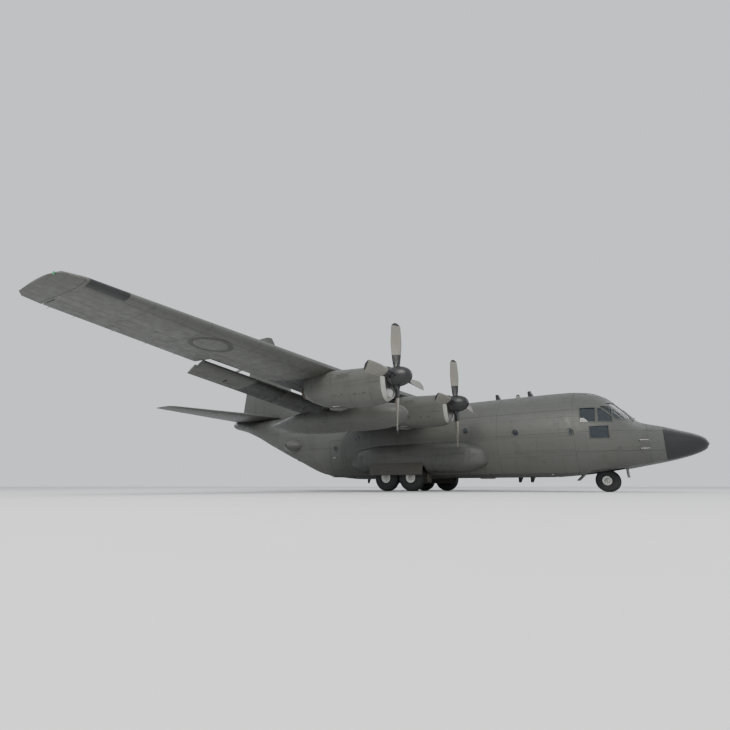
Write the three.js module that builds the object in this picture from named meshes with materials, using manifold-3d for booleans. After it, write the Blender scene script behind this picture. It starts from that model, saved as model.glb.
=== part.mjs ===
// A four-engined military transport plane with a high wing, as a 1:2 scale model on its wheels.
// Lengths here are metres of the full-size aeroplane: the last group turns them into model millimetres.
// +X points to the nose, +Y to the left wing, +Z up, and the wheels stand on z = 0.
// A station is a distance behind the nose tip, and side is 1 on the left and -1 on the right.
import * as THREE from "three";
import { mergeVertices } from "three/addons/utils/BufferGeometryUtils.js";
import Module from "manifold-3d";

const wasm = await Module();
wasm.setup();

// Driving dimensions
const MODEL_MM = 500;
const LENGTH = 29.79;
const SPAN = 40.41;
const SEAM = 0.0008;
const RUN = 0.014;
const WALL = 0.11;
const TAIL_SKIN = 0.03;
// Tools round the body reach this far from the centreline and this high
const REACH = { half: 3, top: 6 };

// Stations where the body sections meet
const RADOME_END = 1.55;
const FORWARD_END = 6.4;
const RAMP_HINGE = 18.7;
const DOOR_FRONT = 21.8;
const DOOR_HINGE = 25.85;
const CONE_BULKHEAD = 28.6;
const RADOME_WALL = 0.06;
const RADOME_ROOM = 0.3;
const BULKHEAD_BACK = RADOME_END + 0.25;
// The body round the nose gear and the main gear, for the tools there
const NOSE_SPAN = [2, 7];
const MAIN_SPAN = [8, 19];

// Heights of the floors
const HOLD_FLOOR = 1.03;
const DECK_FLOOR = 2.15;
const FLOOR_DEPTH = 0.17;
const FLOOR = { front: FORWARD_END + 0.2, back: RAMP_HINGE - 0.02, half: 1.56 };
const BAY_HALF = 1.515;
// Opening at the tail, as stations and heights
const HOLD_OPENING = [
  [RAMP_HINGE, -1], [DOOR_HINGE, -1], [DOOR_HINGE, 3.88],
  [DOOR_FRONT - 0.5, 4.05], [RAMP_HINGE, HOLD_FLOOR + 1],
];
// Flight deck: front and thickness of its floor
const DECK = { front: 2.2, half: REACH.half, thick: 0.1 };
// Pieces on it: stations of the front and back, distance of the middle from the centreline, where one
// with a distance stands on both sides, half width, and heights of the foot and top over the floor
const DECK_PIECES = [
  [2.75, 3.0, 0, 1.3, -0.05, 0.9],
  [2.9, 3.9, 0, 0.2, -0.05, 0.6],
  [3.75, 4.25, 0.55, 0.24, -0.05, 0.42],
  [4.15, 4.3, 0.55, 0.24, 0.3, 1.2],
].map(([front, back, out, half, foot, top]) => ({ front, back, out, half, foot, top }));

// Body sections: station, half width, height of the widest line, top, half width of the belly
// between its creases, height of the creases, height of the belly
const BODY = [
  [0.0, 0.03, 2.0, 2.03, 0.02, 1.98, 1.97],
  [0.1, 0.24, 2.0, 2.22, 0.12, 1.81, 1.78],
  [0.4, 0.43, 2.0, 2.4, 0.22, 1.64, 1.61],
  [0.9, 0.62, 2.02, 2.58, 0.33, 1.48, 1.44],
  [RADOME_END, 0.84, 2.05, 2.8, 0.45, 1.33, 1.28],
  [2.4, 1.28, 2.15, 3.05, 0.75, 1.2, 1.12],
  [3.05, 1.6, 2.3, 3.72, 1.0, 1.12, 1.0],
  [3.7, 1.85, 2.42, 4.33, 1.22, 1.03, 0.91],
  [4.4, 2.03, 2.5, 4.6, 1.42, 0.93, 0.82],
  [5.2, 2.16, 2.56, 4.7, 1.55, 0.84, 0.74],
  [FORWARD_END, 2.16, 2.56, 4.72, 1.55, 0.84, 0.67],
  [17.6, 2.16, 2.56, 4.72, 1.55, 0.84, 0.67],
  [RAMP_HINGE, 2.16, 2.6, 4.73, 1.6, 0.87, 0.76],
  [DOOR_FRONT, 2.12, 2.95, 4.78, 1.6, 1.93, 1.85],
  [24.0, 1.9, 3.5, 4.9, 1.6, 2.88, 2.81],
  [DOOR_HINGE, 1.74, 4.02, 5.02, 1.5, 3.68, 3.62],
  [27.2, 1.32, 4.36, 5.12, 1.0, 4.05, 3.98],
  [28.4, 0.95, 4.58, 5.2, 0.6, 4.32, 4.28],
  [29.2, 0.66, 4.72, 5.2, 0.4, 4.5, 4.46],
  [29.6, 0.42, 4.8, 5.1, 0.25, 4.64, 4.61],
  [LENGTH, 0.08, 4.86, 4.93, 0.05, 4.81, 4.8],
].map(([station, half, wide, top, crease, creaseZ, belly]) => ({
  station, half, wide, top, crease, creaseZ, belly,
}));

// Wing sections: distance from the centreline, stations of the leading and trailing edge,
// thickness over chord, angle of the chord in degrees
const WING_BREAK = 5.6;
const WING = [
  [0, 11.82, 16.7, 0.18, 3],
  [WING_BREAK, 11.82, 16.69, 0.18, 3],
  [19.6, 12.23, 14.85, 0.12, 0.3],
  [20.05, 12.35, 14.72, 0.09, 0.2],
  [SPAN / 2, 12.75, 14.45, 0.03, 0],
].map(([out, lead, trail, thick, angle]) => ({ out, lead, trail, thick, angle }));
const WING_Z = 4.47;
const WING_PIVOT = 0.35;
const DIHEDRAL = THREE.MathUtils.degToRad(2.5);
const WING_CAMBER = 0.02;
// Room that the body gives the wing: back, height of its foot, and how far the wing's tool reaches
const WING_ROOM = { back: 18, low: 3, half: 2.4, reach: 4 };

// Tailplane and fin, with the same columns, the fin's distances being heights
const TAIL_Z = 5.03;
const TAIL = [
  [0, 24.63, 29.2, 0.11, 0],
  [7.5, 26.47, 28.2, 0.1, 0],
  [7.85, 26.62, 28.12, 0.07, 0],
  [8.0, 26.95, 27.95, 0.03, 0],
].map(([out, lead, trail, thick, angle]) => ({ out, lead, trail, thick, angle }));
const FIN = [
  [4.6, 22.9, 29.2, 0.1, 0],
  [5.5, 23.3, 29.1, 0.105, 0],
  [11.1, 26.1, 28.34, 0.1, 0],
  [11.5, 26.35, 28.28, 0.08, 0],
  [11.66, 26.8, 28.1, 0.03, 0],
].map(([out, lead, trail, thick, angle]) => ({ out, lead, trail, thick, angle }));
const DORSAL = { front: 19.5, back: 24.6, foot: 4.6, top: 6.5, half: 0.16, edge: 0.01, widest: 0.3 };
const DORSAL_TOP = { front: DORSAL.back - 0.6, half: DORSAL.half / 2 };
// Rooms inside: distance of the back ahead of the hinge line, and their limits
const TAIL_ROOM = { front: 24, spar: 0.25, half: 7.3, low: 4, high: 6 };
const TUBE_ROOM = { front: 27, half: 0.6, up: 0.03 };
const FIN_ROOM = { front: 20, spar: 0.25, half: 1, low: 4, high: 10.9 };

// Flaps: stations of the nose at the root and at the outer end, chord under the lip and its thickness,
// gap ahead of the nose, drop under the lip, and the track, which is an arc about a line below the wing
const FLAP_ROOT_NOSE = 15.38;
const FLAP_END_NOSE = 14.55;
const FLAP_INNER = [2.28, WING_BREAK - 0.05];
const FLAP_OUTER = [WING_BREAK + 0.02, 13.98];
const LIP = 0.52;
const LIP_THICK = 0.045;
const FLAP_GAP = 0.03;
const FLAP_DROP = 0.07;
const TRACK_RADIUS = 1.7;
const TRACK_BACK = 0.05;
const FLAP_HALF_DOWN = 17;
// The room that the wing gives a flap: back, reach over and under, laps at its ends
const FLAP_ROOM = { back: 17.5, reach: 1.5, lap: 0.05, tip: 0.13 };
// Rounding of a flap's nose, behind its front: middle, shoulder and belly
const FLAP_NOSE = { middle: 0.1, half: 0.05, shoulder: 0.08, drop: 0.02, top: 0.25, chin: 0.06, belly: 0.22 };

// Flap rails: radius of the running face about the track's centre line, depth, half width, angles
// ahead of and behind the top, and distances from the centreline
const RAIL = { radius: 1.82, depth: 0.07, half: 0.03, ahead: 5, behind: 30, step: 5 };
const RAILS_INNER = [2.9, 4.4];
const RAILS_OUTER = [7.0, 12.4];
const RAIL_GROOVE = { outer: 3, from: -40, to: 60 };

// Hinged surfaces: ends of the hinge line as distance from the centreline (or height) and station
const AILERON_LINE = [[14.16, 14.68], [19.5, 14.12]];
const ELEVATOR_LINE = [[1.3, 27.6], [7.55, 27.6]];
const RUDDER_LINE = [[5.62, 27.62], [11.05, 27.4]];
const ELEVATOR_TUBE = { radius: 0.06, play: 0.01, reach: 1.4 };
const HINGE_PIN = 0.03;
// The tool that parts a hinged surface: reach behind the line and over and under it, in metres
const HINGE_TOOL = { behind: 3, half: 1, sides: 16 };

// Engines: distance from the centreline and height of the propeller shaft
const ENGINES = [
  { out: 5.0, hub: 3.85 },
  { out: 10.2, hub: 4.08 },
];
const NACELLE_FRONT = 9.4;
// station, half width, height over the shaft, depth under the shaft
const NACELLE = [
  [NACELLE_FRONT, 0.42, 0.42, 0.8],
  [9.7, 0.49, 0.47, 0.92],
  [10.6, 0.51, 0.52, 0.97],
  [12.0, 0.51, 0.6, 0.88],
  [12.9, 0.47, 0.62, 0.62],
  [13.3, 0.34, 0.62, 0.42],
].map(([station, half, up, down]) => ({ station, half, up, down }));
const NACELLE_SKIN = 0.07;
const NACELLE_SIDES = 16;
const NACELLE_SQUARE = 0.85;
const NACELLE_ROOM = [9.75, 12.5];
const NACELLE_DEEPEST = 10.6;
const EXHAUST = { radius: 0.22, drop: 0.12, front: 12.4, back: 13.6 };
const PIPE = { radius: EXHAUST.radius + 0.04, back: 13.42 };
const BOSS = { front: 9.5, radius: 0.16 };
// Heights here are under the shaft
const INTAKE = { front: NACELLE_FRONT - 0.1, back: 9.9, half: 0.26, low: 0.7, high: 0.44 };
const ENGINE_FOOT = { front: 10.2, back: 11.8, half: 0.2, under: 0.2, over: 0.3 };
const ENGINE_BLOCK = { front: 9.95, back: 12.1, half: 0.3, low: 0.62, high: -0.22 };
// The wing's copies that the nacelles and pylons are cut by: where they start and end
const INNER_WING_TOOL = [3, 7];
const OUTER_WING_TOOL = [WING_BREAK - 1.5, SPAN / 2];
const PROP_RADIUS = 2.055;
const PROP_PLANE = 9.12;
const SPINNER_BACK = 9.3;
// radius and station
const SPINNER = [
  [0, SPINNER_BACK], [0.37, SPINNER_BACK], [0.37, 9.05], [0.33, 8.85], [0.24, 8.66], [0.12, 8.54], [0, 8.5],
];
// radius, chord, thickness, angle of the chord to the propeller's plane in degrees
const BLADE = [
  [0.2, 0.2, 0.2, 60],
  [0.75, 0.34, 0.12, 50],
  [1.4, 0.45, 0.06, 34],
  [1.95, 0.43, 0.04, 24],
  [PROP_RADIUS, 0.36, 0.03, 23],
].map(([radius, chord, thick, angle]) => ({ radius, chord, thick, angle }));
// shares of the chord and of the thickness
const BLADE_SECTION = [
  [-0.5, 0], [-0.3, 0.42], [0, 0.5], [0.3, 0.36], [0.5, 0], [0.3, -0.36], [0, -0.5], [-0.3, -0.42],
];

// External tanks: the nose is half an ellipse, and the tail is radius and station
const TANK = { out: 7.75, z: 3.15, front: 10.05, back: 17.8, radius: 0.57, nose: 1.5 };
const TANK_NOSE_SHARES = [0, 0.3, 0.55, 0.75, 0.9, 1];
const TANK_TAIL = [[TANK.radius, 14.6], [0.52, 15.5], [0.38, 16.5], [0.18, 17.4], [0, TANK.back]];
const PYLON = { front: 12.3, back: 14.6, half: 0.1, noseLength: 0.4, tailLength: 0.9 };

// Landing gear
const MAIN_WHEEL = { radius: 0.71, width: 0.51, rim: 0.28, out: 2.175, stations: [12.99, 14.51] };
const NOSE_WHEEL = { radius: 0.495, width: 0.33, rim: 0.2, out: 0.28, station: 3.98 };
const MAIN_WELL = { front: 12.1, back: 15.4, inner: 1.66, outer: 2.47, top: 1.85 };
const NOSE_WELL = { front: 3.2, back: 4.78, half: 0.72, top: 1.72, skin: 0.05 };
const NOSE_AXLE = 0.045;
const MAIN_AXLE = 0.07;
const AXLE_END = 2.1;
const WELL_SKIN = 0.07;
// A height below the belly, for tools that cut up into it
const UNDER_BELLY = 0.2;
const WHEEL_SIDES = 22;
const STRUT = { out: 1.785, radius: 0.1, foot: 0.6 };
const WHEEL_BEAM = { z: 1.25, radius: 0.06 };
// Half a tyre's section: shares of the radius and of the half width
const TYRE_SECTION = [[0.72, 1], [0.9, 0.86], [1, 0.5]];
const TYRE_BEAD = 0.7;
// A rim's section: shares of its radius and of the half width. Its dished face is on the outside
const RIM_SECTION = [[1, -0.72], [1, 0.72], [0.8, 0.72], [0.7, 0.45]];
const NOSE_SECTION = [[0.75, 1], [0.92, 0.8], [1, 0.4]];
const NOSE_BEAD = 0.6;
const NOSE_HUB = 0.5;
// Nose leg: heights of its foot and of the brace's foot, radii, and the plate that carries it
const LEG = { foot: 0.86, radius: 0.11, braceFoot: 1.05, brace: 0.05, braceTop: 0.06, braceBack: 0.1 };
const LEG_PLATE = { front: 3.8, half: 0.15, thick: 0.1 };
const FORK = { radius: 0.08, under: 0.1, bore: 0.2 };
// Nose doors: heights of their feet, lengths behind the well's edge, thickness, half widths
const NOSE_DOOR_FRONT = { foot: 0.62, ahead: 0.09, thick: 0.04, lean: 0.03, half: 0.45 };
const NOSE_DOOR_REAR = { foot: 0.5, behind: 0.45, root: 0.02, thick: 0.04, half: 0.4 };
const NOSE_DOOR_TOP = 0.12;
// Hanging doors of the main gear, as outlines of distance and height
const MAIN_DOOR_INNER = [[1.58, 0.42], [1.62, 0.42], [1.625, 1.4], [1.585, 1.4]];
const MAIN_DOOR_OUTER = [[2.62, 0.82], [2.66, 0.83], [2.545, 1.5], [2.505, 1.49]];
// Wheel sponsons: station, distance of the outer face, top, bottom
const SPONSON_INNER = 1.5;
const SPONSON_STEPS = 12;
const SPONSON_SQUARE = 0.7;
const SPONSON = [
  [8.75, 1.7, 1.75, 1.5],
  [9.1, 2.24, 2.15, 1.18],
  [10.2, 2.57, 2.5, 0.94],
  [15.0, 2.57, 2.5, 0.94],
  [16.2, 2.42, 2.35, 1.02],
  [17.2, 1.9, 1.95, 1.3],
].map(([station, out, top, bottom]) => ({ station, out, top, bottom }));

// Doors: stations of the front and back edges, heights of the sill and head
const CREW_DOOR = { front: 5.3, back: 6.1, sill: 1.12, head: 2.3 };
const CREW_HINGE = { out: 1.745, z: 1.127, rod: 0.02, inset: 0.05 };
const SIDE_DOOR = { front: 17.68, back: 18.58, sill: 1.14, head: 2.92 };
// Ramp and cargo door: heights over the belly line, and their hinges
const RAMP = { thick: 0.2, over: 0.02, bevel: 0.07, nose: 0.05 };
const RAMP_PIN = { behind: 0.1, over: 0.075, radius: 0.06 };
const CARGO_DOOR = { thick: 0.18, front: 0.04, back: 0.02, open: 25.5 };
const DOOR_PIN = { ahead: 0.055, radius: 0.045, sides: 16 };

// Windows of the flight deck: where each is looked through from, and two spans in that view.
// front: left and height; side: station and height; top: station and left
const WINDOW_REACH = { front: [1.9, 3.75], side: [1.0, 3], top: [4.2, 5] };
const WINDOWS = [
  ["front", -0.36, 0.36, 3.2, 4.02],
  ["front", 0.44, 1.02, 3.16, 3.92],
  ["front", -1.02, -0.44, 3.16, 3.92],
  ["front", 1.1, 1.42, 3.12, 3.72],
  ["front", -1.42, -1.1, 3.12, 3.72],
  ["left", 3.34, 3.86, 3.0, 3.62],
  ["right", 3.34, 3.86, 3.0, 3.62],
  ["left", 3.96, 4.56, 3.0, 3.66],
  ["right", 3.96, 4.56, 3.0, 3.66],
  ["left", 3.5, 4.22, 2.28, 2.8],
  ["right", 3.5, 4.22, 2.28, 2.8],
  ["top", 3.92, 4.42, 0.2, 0.78],
  ["top", 3.92, 4.42, -0.78, -0.2],
].map(([view, low, high, foot, head]) => ({ view, low, high, foot, head }));

// Fairing over the body: station, half width, foot, top
const HUMP_STEPS = 12;
const HUMP_SQUARE = { across: 0.8, rise: 0.6 };
const HUMP = [
  [10.9, 0.6, 4.4, 4.68],
  [11.8, 1.6, 4.2, 4.86],
  [13.5, 2.05, 4.0, 5.02],
  [15.5, 2.2, 4.0, 4.96],
  [16.8, 2.05, 4.1, 4.84],
  [18.2, 1.2, 4.4, 4.74],
].map(([station, half, foot, top]) => ({ station, half, foot, top }));
// Fairings beside the cargo door: distance, stations of the front and back, half height
const SIDE_FAIRING = [
  [1.7, 20.75, 22.75, 0.42],
  [2.25, 21.0, 22.3, 0.36],
  [2.6, 21.3, 21.9, 0.24],
  [2.84, 21.5, 21.72, 0.11],
].map(([out, front, back, half]) => ({ out, front, back, half }));
const FAIRING_Z = 2.75;
const FAIRING_SIDES = 12;
// Glazing: its band in stations and heights, depth of the panes' faces, and the liner's thickness
const PANES = { front: 2.2, back: 4.9, low: 2.2, high: 4.9, inset: 0.03, liner: 0.03, lap: 0.01 };
// Doors' panels run from this distance outwards
const PANEL_INNER = 0.9;

const metal = (color, roughness = 0.55) =>
  new THREE.MeshStandardMaterial({ color, roughness, metalness: 0.2 });
const GREY = metal(0x8b8e8a);
const BELLY_GREY = metal(0x7d807b);
const BLACK = metal(0x1c1d1f, 0.5);
const STEEL = metal(0x6e6f70, 0.4);
const WHITE = metal(0xd9dad6, 0.45);
const RUBBER = new THREE.MeshStandardMaterial({ color: 0x1b1b1b, roughness: 0.9 });
const GLASS = new THREE.MeshStandardMaterial({ color: 0x22282c, roughness: 0.1, metalness: 0 });

const fore = (station) => LENGTH / 2 - station;
const mix = (a, b, share) => a + (b - a) * share;

// The values between two rows of a table, read at a place along its key column
function rowAt(table, key, place) {
  const next = Math.max(1, table.findIndex((row) => row[key] >= place));
  const low = table[next - 1];
  const high = table[next];
  const share = (place - low[key]) / (high[key] - low[key]);
  return Object.fromEntries(Object.keys(low).map((name) => [name, mix(low[name], high[name], share)]));
}

// The rows of a table between two places, with rows made at the places themselves
function rowsBetween(table, key, from, to) {
  const inside = table.filter((row) => row[key] > from + 0.001 && row[key] < to - 0.001);
  return [rowAt(table, key, from), ...inside, rowAt(table, key, to)];
}

function signedVolume(points, faces) {
  let six = 0;
  for (let i = 0; i < faces.length; i += 3) {
    const [a, b, c] = [0, 1, 2].map((k) => new THREE.Vector3(...points[faces[i + k]]));
    six += a.dot(b.cross(c));
  }
  return six / 6;
}

function manifoldOf(points, faces) {
  const triVerts = Uint32Array.from(faces);
  if (signedVolume(points, faces) < 0) triVerts.reverse();
  const vertProperties = Float32Array.from(points.flat());
  return new wasm.Manifold(new wasm.Mesh({ numProp: 3, vertProperties, triVerts }));
}

// A closed three.js geometry as a solid
function solid(geometry) {
  const bare = geometry.toNonIndexed();
  bare.deleteAttribute("normal");
  bare.deleteAttribute("uv");
  const merged = mergeVertices(bare, 1e-5);
  const place = merged.attributes.position;
  const points = Array.from({ length: place.count }, (_, i) => [place.getX(i), place.getY(i), place.getZ(i)]);
  return manifoldOf(points, [...merged.index.array]);
}

// The triangles of a flat ring, turned the same way as its points run
function capFaces(ring) {
  const normal = [0, 1, 2].map((k) => {
    const [u, v] = [(k + 1) % 3, (k + 2) % 3];
    return ring.reduce((sum, point, i) => {
      const next = ring[(i + 1) % ring.length];
      return sum + point[u] * next[v] - next[u] * point[v];
    }, 0);
  });
  const drop = [0, 1, 2].sort((a, b) => Math.abs(normal[b]) - Math.abs(normal[a]))[0];
  const [u, v] = [(drop + 1) % 3, (drop + 2) % 3];
  const flat = ring.map((point) => new THREE.Vector2(point[u], point[v]));
  const turn = Math.sign(THREE.ShapeUtils.area(flat));
  return THREE.ShapeUtils.triangulateShape(flat, []).map(([a, b, c]) => {
    const area = THREE.ShapeUtils.area([flat[a], flat[b], flat[c]]);
    return Math.sign(area) === turn ? [a, b, c] : [a, c, b];
  });
}

// A closed body through rings that have equally many points
function loft(rings) {
  const around = rings[0].length;
  const faces = [];
  for (let ring = 0; ring + 1 < rings.length; ring++) {
    for (let i = 0; i < around; i++) {
      const a = ring * around + i;
      const b = ring * around + ((i + 1) % around);
      faces.push(a, b, b + around, a, b + around, a + around);
    }
  }
  const last = (rings.length - 1) * around;
  capFaces(rings[0]).forEach(([a, b, c]) => faces.push(a, c, b));
  capFaces(rings.at(-1)).forEach(([a, b, c]) => faces.push(last + a, last + b, last + c));
  return manifoldOf(rings.flat(), faces);
}

// A box between two stations, two distances to the left and two heights
function box(front, back, right, left, low, high) {
  const geometry = new THREE.BoxGeometry(back - front, left - right, high - low);
  geometry.translate(fore((front + back) / 2), (right + left) / 2, (low + high) / 2);
  return solid(geometry);
}

// A box that reaches as far to the left as to the right
const middleBox = ({ front, half }, back, low, high) => box(front, back, -half, half, low, high);

// A round bar between two points, with a radius at each end
function bar(from, to, radius, endRadius = radius, sides = 12) {
  const start = new THREE.Vector3(...from);
  const run = new THREE.Vector3(...to).sub(start);
  const geometry = new THREE.CylinderGeometry(endRadius, radius, run.length(), sides);
  geometry.translate(0, run.length() / 2, 0);
  const turn = new THREE.Quaternion().setFromUnitVectors(new THREE.Vector3(0, 1, 0), run.clone().normalize());
  geometry.applyQuaternion(turn);
  geometry.translate(start.x, start.y, start.z);
  return solid(geometry);
}

// A body of revolution about a line along Y through a point, from pairs of radius and distance along Y
function wheelShape(profile, [px, py, pz], sides) {
  const geometry = new THREE.LatheGeometry(profile.map(([r, along]) => new THREE.Vector2(r, along)), sides);
  geometry.translate(px, py, pz);
  return solid(geometry);
}

// A body of revolution about a line along X, from pairs of radius and station
function podShape(profile, y, z, sides) {
  const points = profile.map(([r, station]) => new THREE.Vector2(r, fore(station)));
  const geometry = new THREE.LatheGeometry(points, sides);
  geometry.rotateZ(-Math.PI / 2);
  geometry.translate(0, y, z);
  return solid(geometry);
}

// A flat outline in stations and heights, given depth between two distances to the left
function sideSlab(outline, right, left) {
  return loft([right, left].map((y) => outline.map(([station, z]) => [fore(station), y, z])));
}

// A flat outline in stations and distances to the left, given depth between two heights
function planSlab(outline, low, high) {
  return loft([low, high].map((z) => outline.map(([station, y]) => [fore(station), y, z])));
}

const join = (...solids) => solids.reduce((all, next) => all.add(next));
const cut = (body, ...tools) => tools.reduce((left, tool) => left.subtract(tool), body);
const common = (a, b) => a.intersect(b);

// One half of a body section, from the belly's middle up to the top's middle
const BELLY_STEPS = 3;
const LOWER_STEPS = 3;
const UPPER_STEPS = 6;
function bodyHalf(row, grow) {
  const half = row.half + grow;
  const top = row.top + grow;
  const crease = row.crease + grow;
  const creaseZ = row.creaseZ - grow;
  const belly = row.belly - grow;
  const start = Math.acos(crease / half);
  const under = (row.wide - creaseZ) / Math.sin(start);
  const points = [];
  for (let i = 0; i < BELLY_STEPS; i++) {
    const share = i / BELLY_STEPS;
    points.push([crease * share, belly + (creaseZ - belly) * share ** 2]);
  }
  for (let i = 0; i < LOWER_STEPS; i++) {
    const angle = start * (1 - i / LOWER_STEPS);
    points.push([half * Math.cos(angle), row.wide - under * Math.sin(angle)]);
  }
  for (let i = 0; i <= UPPER_STEPS; i++) {
    const angle = (Math.PI / 2) * (i / UPPER_STEPS);
    points.push([half * Math.cos(angle), row.wide + (top - row.wide) * Math.sin(angle)]);
  }
  points[points.length - 1][0] = 0;
  return points;
}

function bodyRing(row, grow) {
  const left = bodyHalf(row, grow);
  const right = left.slice(1, -1).reverse().map(([y, z]) => [-y, z]);
  return [...left, ...right].map(([y, z]) => [fore(row.station), y, z]);
}

// The body between two stations, made larger or smaller all round by grow. It always runs through the
// same rows, so that pieces made with different gaps keep the same facets.
const bodyShapes = new Map();
function bodyLoft(from, to, grow = 0) {
  if (!bodyShapes.has(grow)) {
    const rows = BODY.filter((row) => row.half + 4 * grow > 0);
    bodyShapes.set(grow, loft(rows.map((row) => bodyRing(row, grow))));
  }
  return common(bodyShapes.get(grow), box(from, to, -REACH.half, REACH.half, 0, REACH.top));
}

// Half the thickness of an aerofoil, as a share of its chord, at a share of the chord
const foilHalf = (thick, share) =>
  5 * thick * (0.2969 * Math.sqrt(share) - 0.126 * share - 0.3516 * share ** 2
    + 0.2843 * share ** 3 - 0.1015 * share ** 4);

// Pairs of station and height over the chord's plane round an aerofoil
const FOIL_STEPS = 8;
const FOIL_EDGE = 0.003;
function foil(row, camber, grow = 0) {
  const chord = row.trail - row.lead;
  const slope = Math.tan(THREE.MathUtils.degToRad(row.angle));
  const points = [];
  for (let i = -FOIL_STEPS; i <= FOIL_STEPS; i++) {
    const share = (1 - Math.cos((Math.PI * i) / FOIL_STEPS)) / 2;
    const side = i < 0 ? 1 : -1;
    const station = row.lead + share * chord + grow * (2 * share - 1);
    const middle = 4 * camber * share * (1 - share) * chord + slope * (WING_PIVOT - share) * chord;
    const edge = i === 0 ? 0 : side * Math.max(FOIL_EDGE, foilHalf(row.thick, share) * chord + grow);
    points.push([station, middle + edge]);
  }
  return points;
}

const wingLift = (out) => WING_Z + Math.max(0, out - WING_BREAK) * Math.tan(DIHEDRAL);

function wingPiece(side, from, to, grow = 0) {
  return loft(rowsBetween(WING, "out", from, to).map((row) => {
    const lift = wingLift(row.out);
    return foil(row, WING_CAMBER, grow).map(([station, z]) => [fore(station), side * row.out, lift + z]);
  }));
}

// Height of a lofted surface's upper (1) or lower (-1) face, or of its middle (0), over its chord's
// plane, at a distance and a station. It is mixed from the table's two nearest rows, as the loft is.
function foilFace(table, camber, out, station, face) {
  const here = rowAt(table, "out", out);
  const share = THREE.MathUtils.clamp((station - here.lead) / (here.trail - here.lead), 0, 1);
  const next = Math.max(1, table.findIndex((row) => row.out >= out));
  const [low, high] = [table[next - 1], table[next]].map((row) => {
    const slope = Math.tan(THREE.MathUtils.degToRad(row.angle));
    const middle = 4 * camber * share * (1 - share) + slope * (WING_PIVOT - share);
    return (middle + face * foilHalf(row.thick, share)) * (row.trail - row.lead);
  });
  return mix(low, high, (out - table[next - 1].out) / (table[next].out - table[next - 1].out));
}

const wingFace = (out, station, face) => wingLift(out) + foilFace(WING, WING_CAMBER, out, station, face);

const flapNose = (out) =>
  mix(FLAP_ROOT_NOSE, FLAP_END_NOSE, Math.max(0, out - WING_BREAK) / (FLAP_OUTER[1] - WING_BREAK));

// The room that a flap takes out of the wing: all behind the cove, under a thin upper lip
function flapRoom(side, from, to) {
  return loft([from, to].map((out) => {
    const front = flapNose(out) - FLAP_GAP;
    const lip = flapNose(out) + LIP;
    const deep = wingLift(out) - FLAP_ROOM.reach;
    const high = wingLift(out) + FLAP_ROOM.reach;
    return [
      [front, deep],
      [front, wingFace(out, front, 1) - LIP_THICK - FLAP_GAP],
      [lip, wingFace(out, lip, 1) - LIP_THICK],
      [lip, high],
      [FLAP_ROOM.back, high],
      [FLAP_ROOM.back, deep],
    ].map(([station, z]) => [fore(station), side * out, z]);
  }));
}

// A flap's closed place, then turned about its track's centre line to half down
function flapTrack(side, [from, to]) {
  const point = (out) => {
    const nose = flapNose(out);
    const height = wingFace(out, nose, -1) - TRACK_RADIUS;
    return new THREE.Vector3(fore(nose + TRACK_BACK), side * out, height);
  };
  const start = point(from);
  const axis = point(to).sub(start).normalize().multiplyScalar(-side);
  return { start, axis };
}

function flap(side, ends, rails) {
  const { start, axis } = flapTrack(side, ends);
  const angle = THREE.MathUtils.degToRad(FLAP_HALF_DOWN);
  const rings = ends.map((out) => {
    const nose = flapNose(out);
    const lip = nose + LIP + RUN;
    const trail = rowAt(WING, "out", out).trail;
    const under = (station) => wingFace(out, station, 1) - LIP_THICK - FLAP_DROP;
    const upper = (station) => [station, wingFace(out, station, 1)];
    const lower = (station) => [station, wingFace(out, station, -1)];
    const round = FLAP_NOSE;
    const middle = (under(nose + round.middle) + wingFace(out, nose + round.middle, -1)) / 2;
    const outline = [
      [nose, middle + round.half],
      [nose + round.shoulder, under(nose + round.shoulder) - round.drop],
      [nose + round.top, under(nose + round.top)],
      [lip, under(lip)],
      upper(lip),
      upper((lip + trail) / 2),
      upper(trail),
      lower(trail),
      lower((lip + trail) / 2),
      lower(lip),
      lower(nose + round.belly),
      [nose + round.chin, mix(middle, wingFace(out, nose, -1), 0.75)],
      [nose, middle - round.half],
    ];
    return outline.map(([station, z]) => {
      const spot = new THREE.Vector3(fore(station), side * out, z).sub(start);
      return spot.applyAxisAngle(axis, angle).add(start).toArray();
    });
  });
  const grooves = rails.map((out) => railSector(side, ends, out, {
    ...RAIL_GROOVE, inner: RAIL.radius - RUN, half: RAIL.half + SEAM,
  }));
  return cut(loft(rings), ...grooves);
}

// A part of a ring about a flap's track centre line: radii, half width, and angles behind the top
function railSector(side, ends, out, { inner, outer, half, from, to }) {
  const { start, axis } = flapTrack(side, ends);
  const centre = start.clone().addScaledVector(axis, (-side * (out - ends[0])) / Math.abs(axis.y));
  const up = new THREE.Vector3(0, 0, 1).projectOnPlane(axis).normalize();
  const back = axis.clone().cross(up);
  const rings = [];
  for (let degrees = from; degrees <= to; degrees += RAIL.step) {
    const angle = THREE.MathUtils.degToRad(degrees);
    const spoke = up.clone().multiplyScalar(Math.cos(angle)).addScaledVector(back, Math.sin(angle));
    rings.push([[inner, -half], [inner, half], [outer, half], [outer, -half]].map(([radius, across]) =>
      centre.clone().addScaledVector(spoke, radius).addScaledVector(axis, across).toArray()));
  }
  return loft(rings);
}

const rail = (side, ends, out) => railSector(side, ends, out, {
  inner: RAIL.radius, outer: RAIL.radius + RAIL.depth, half: RAIL.half, from: -RAIL.ahead, to: RAIL.behind,
});

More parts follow.
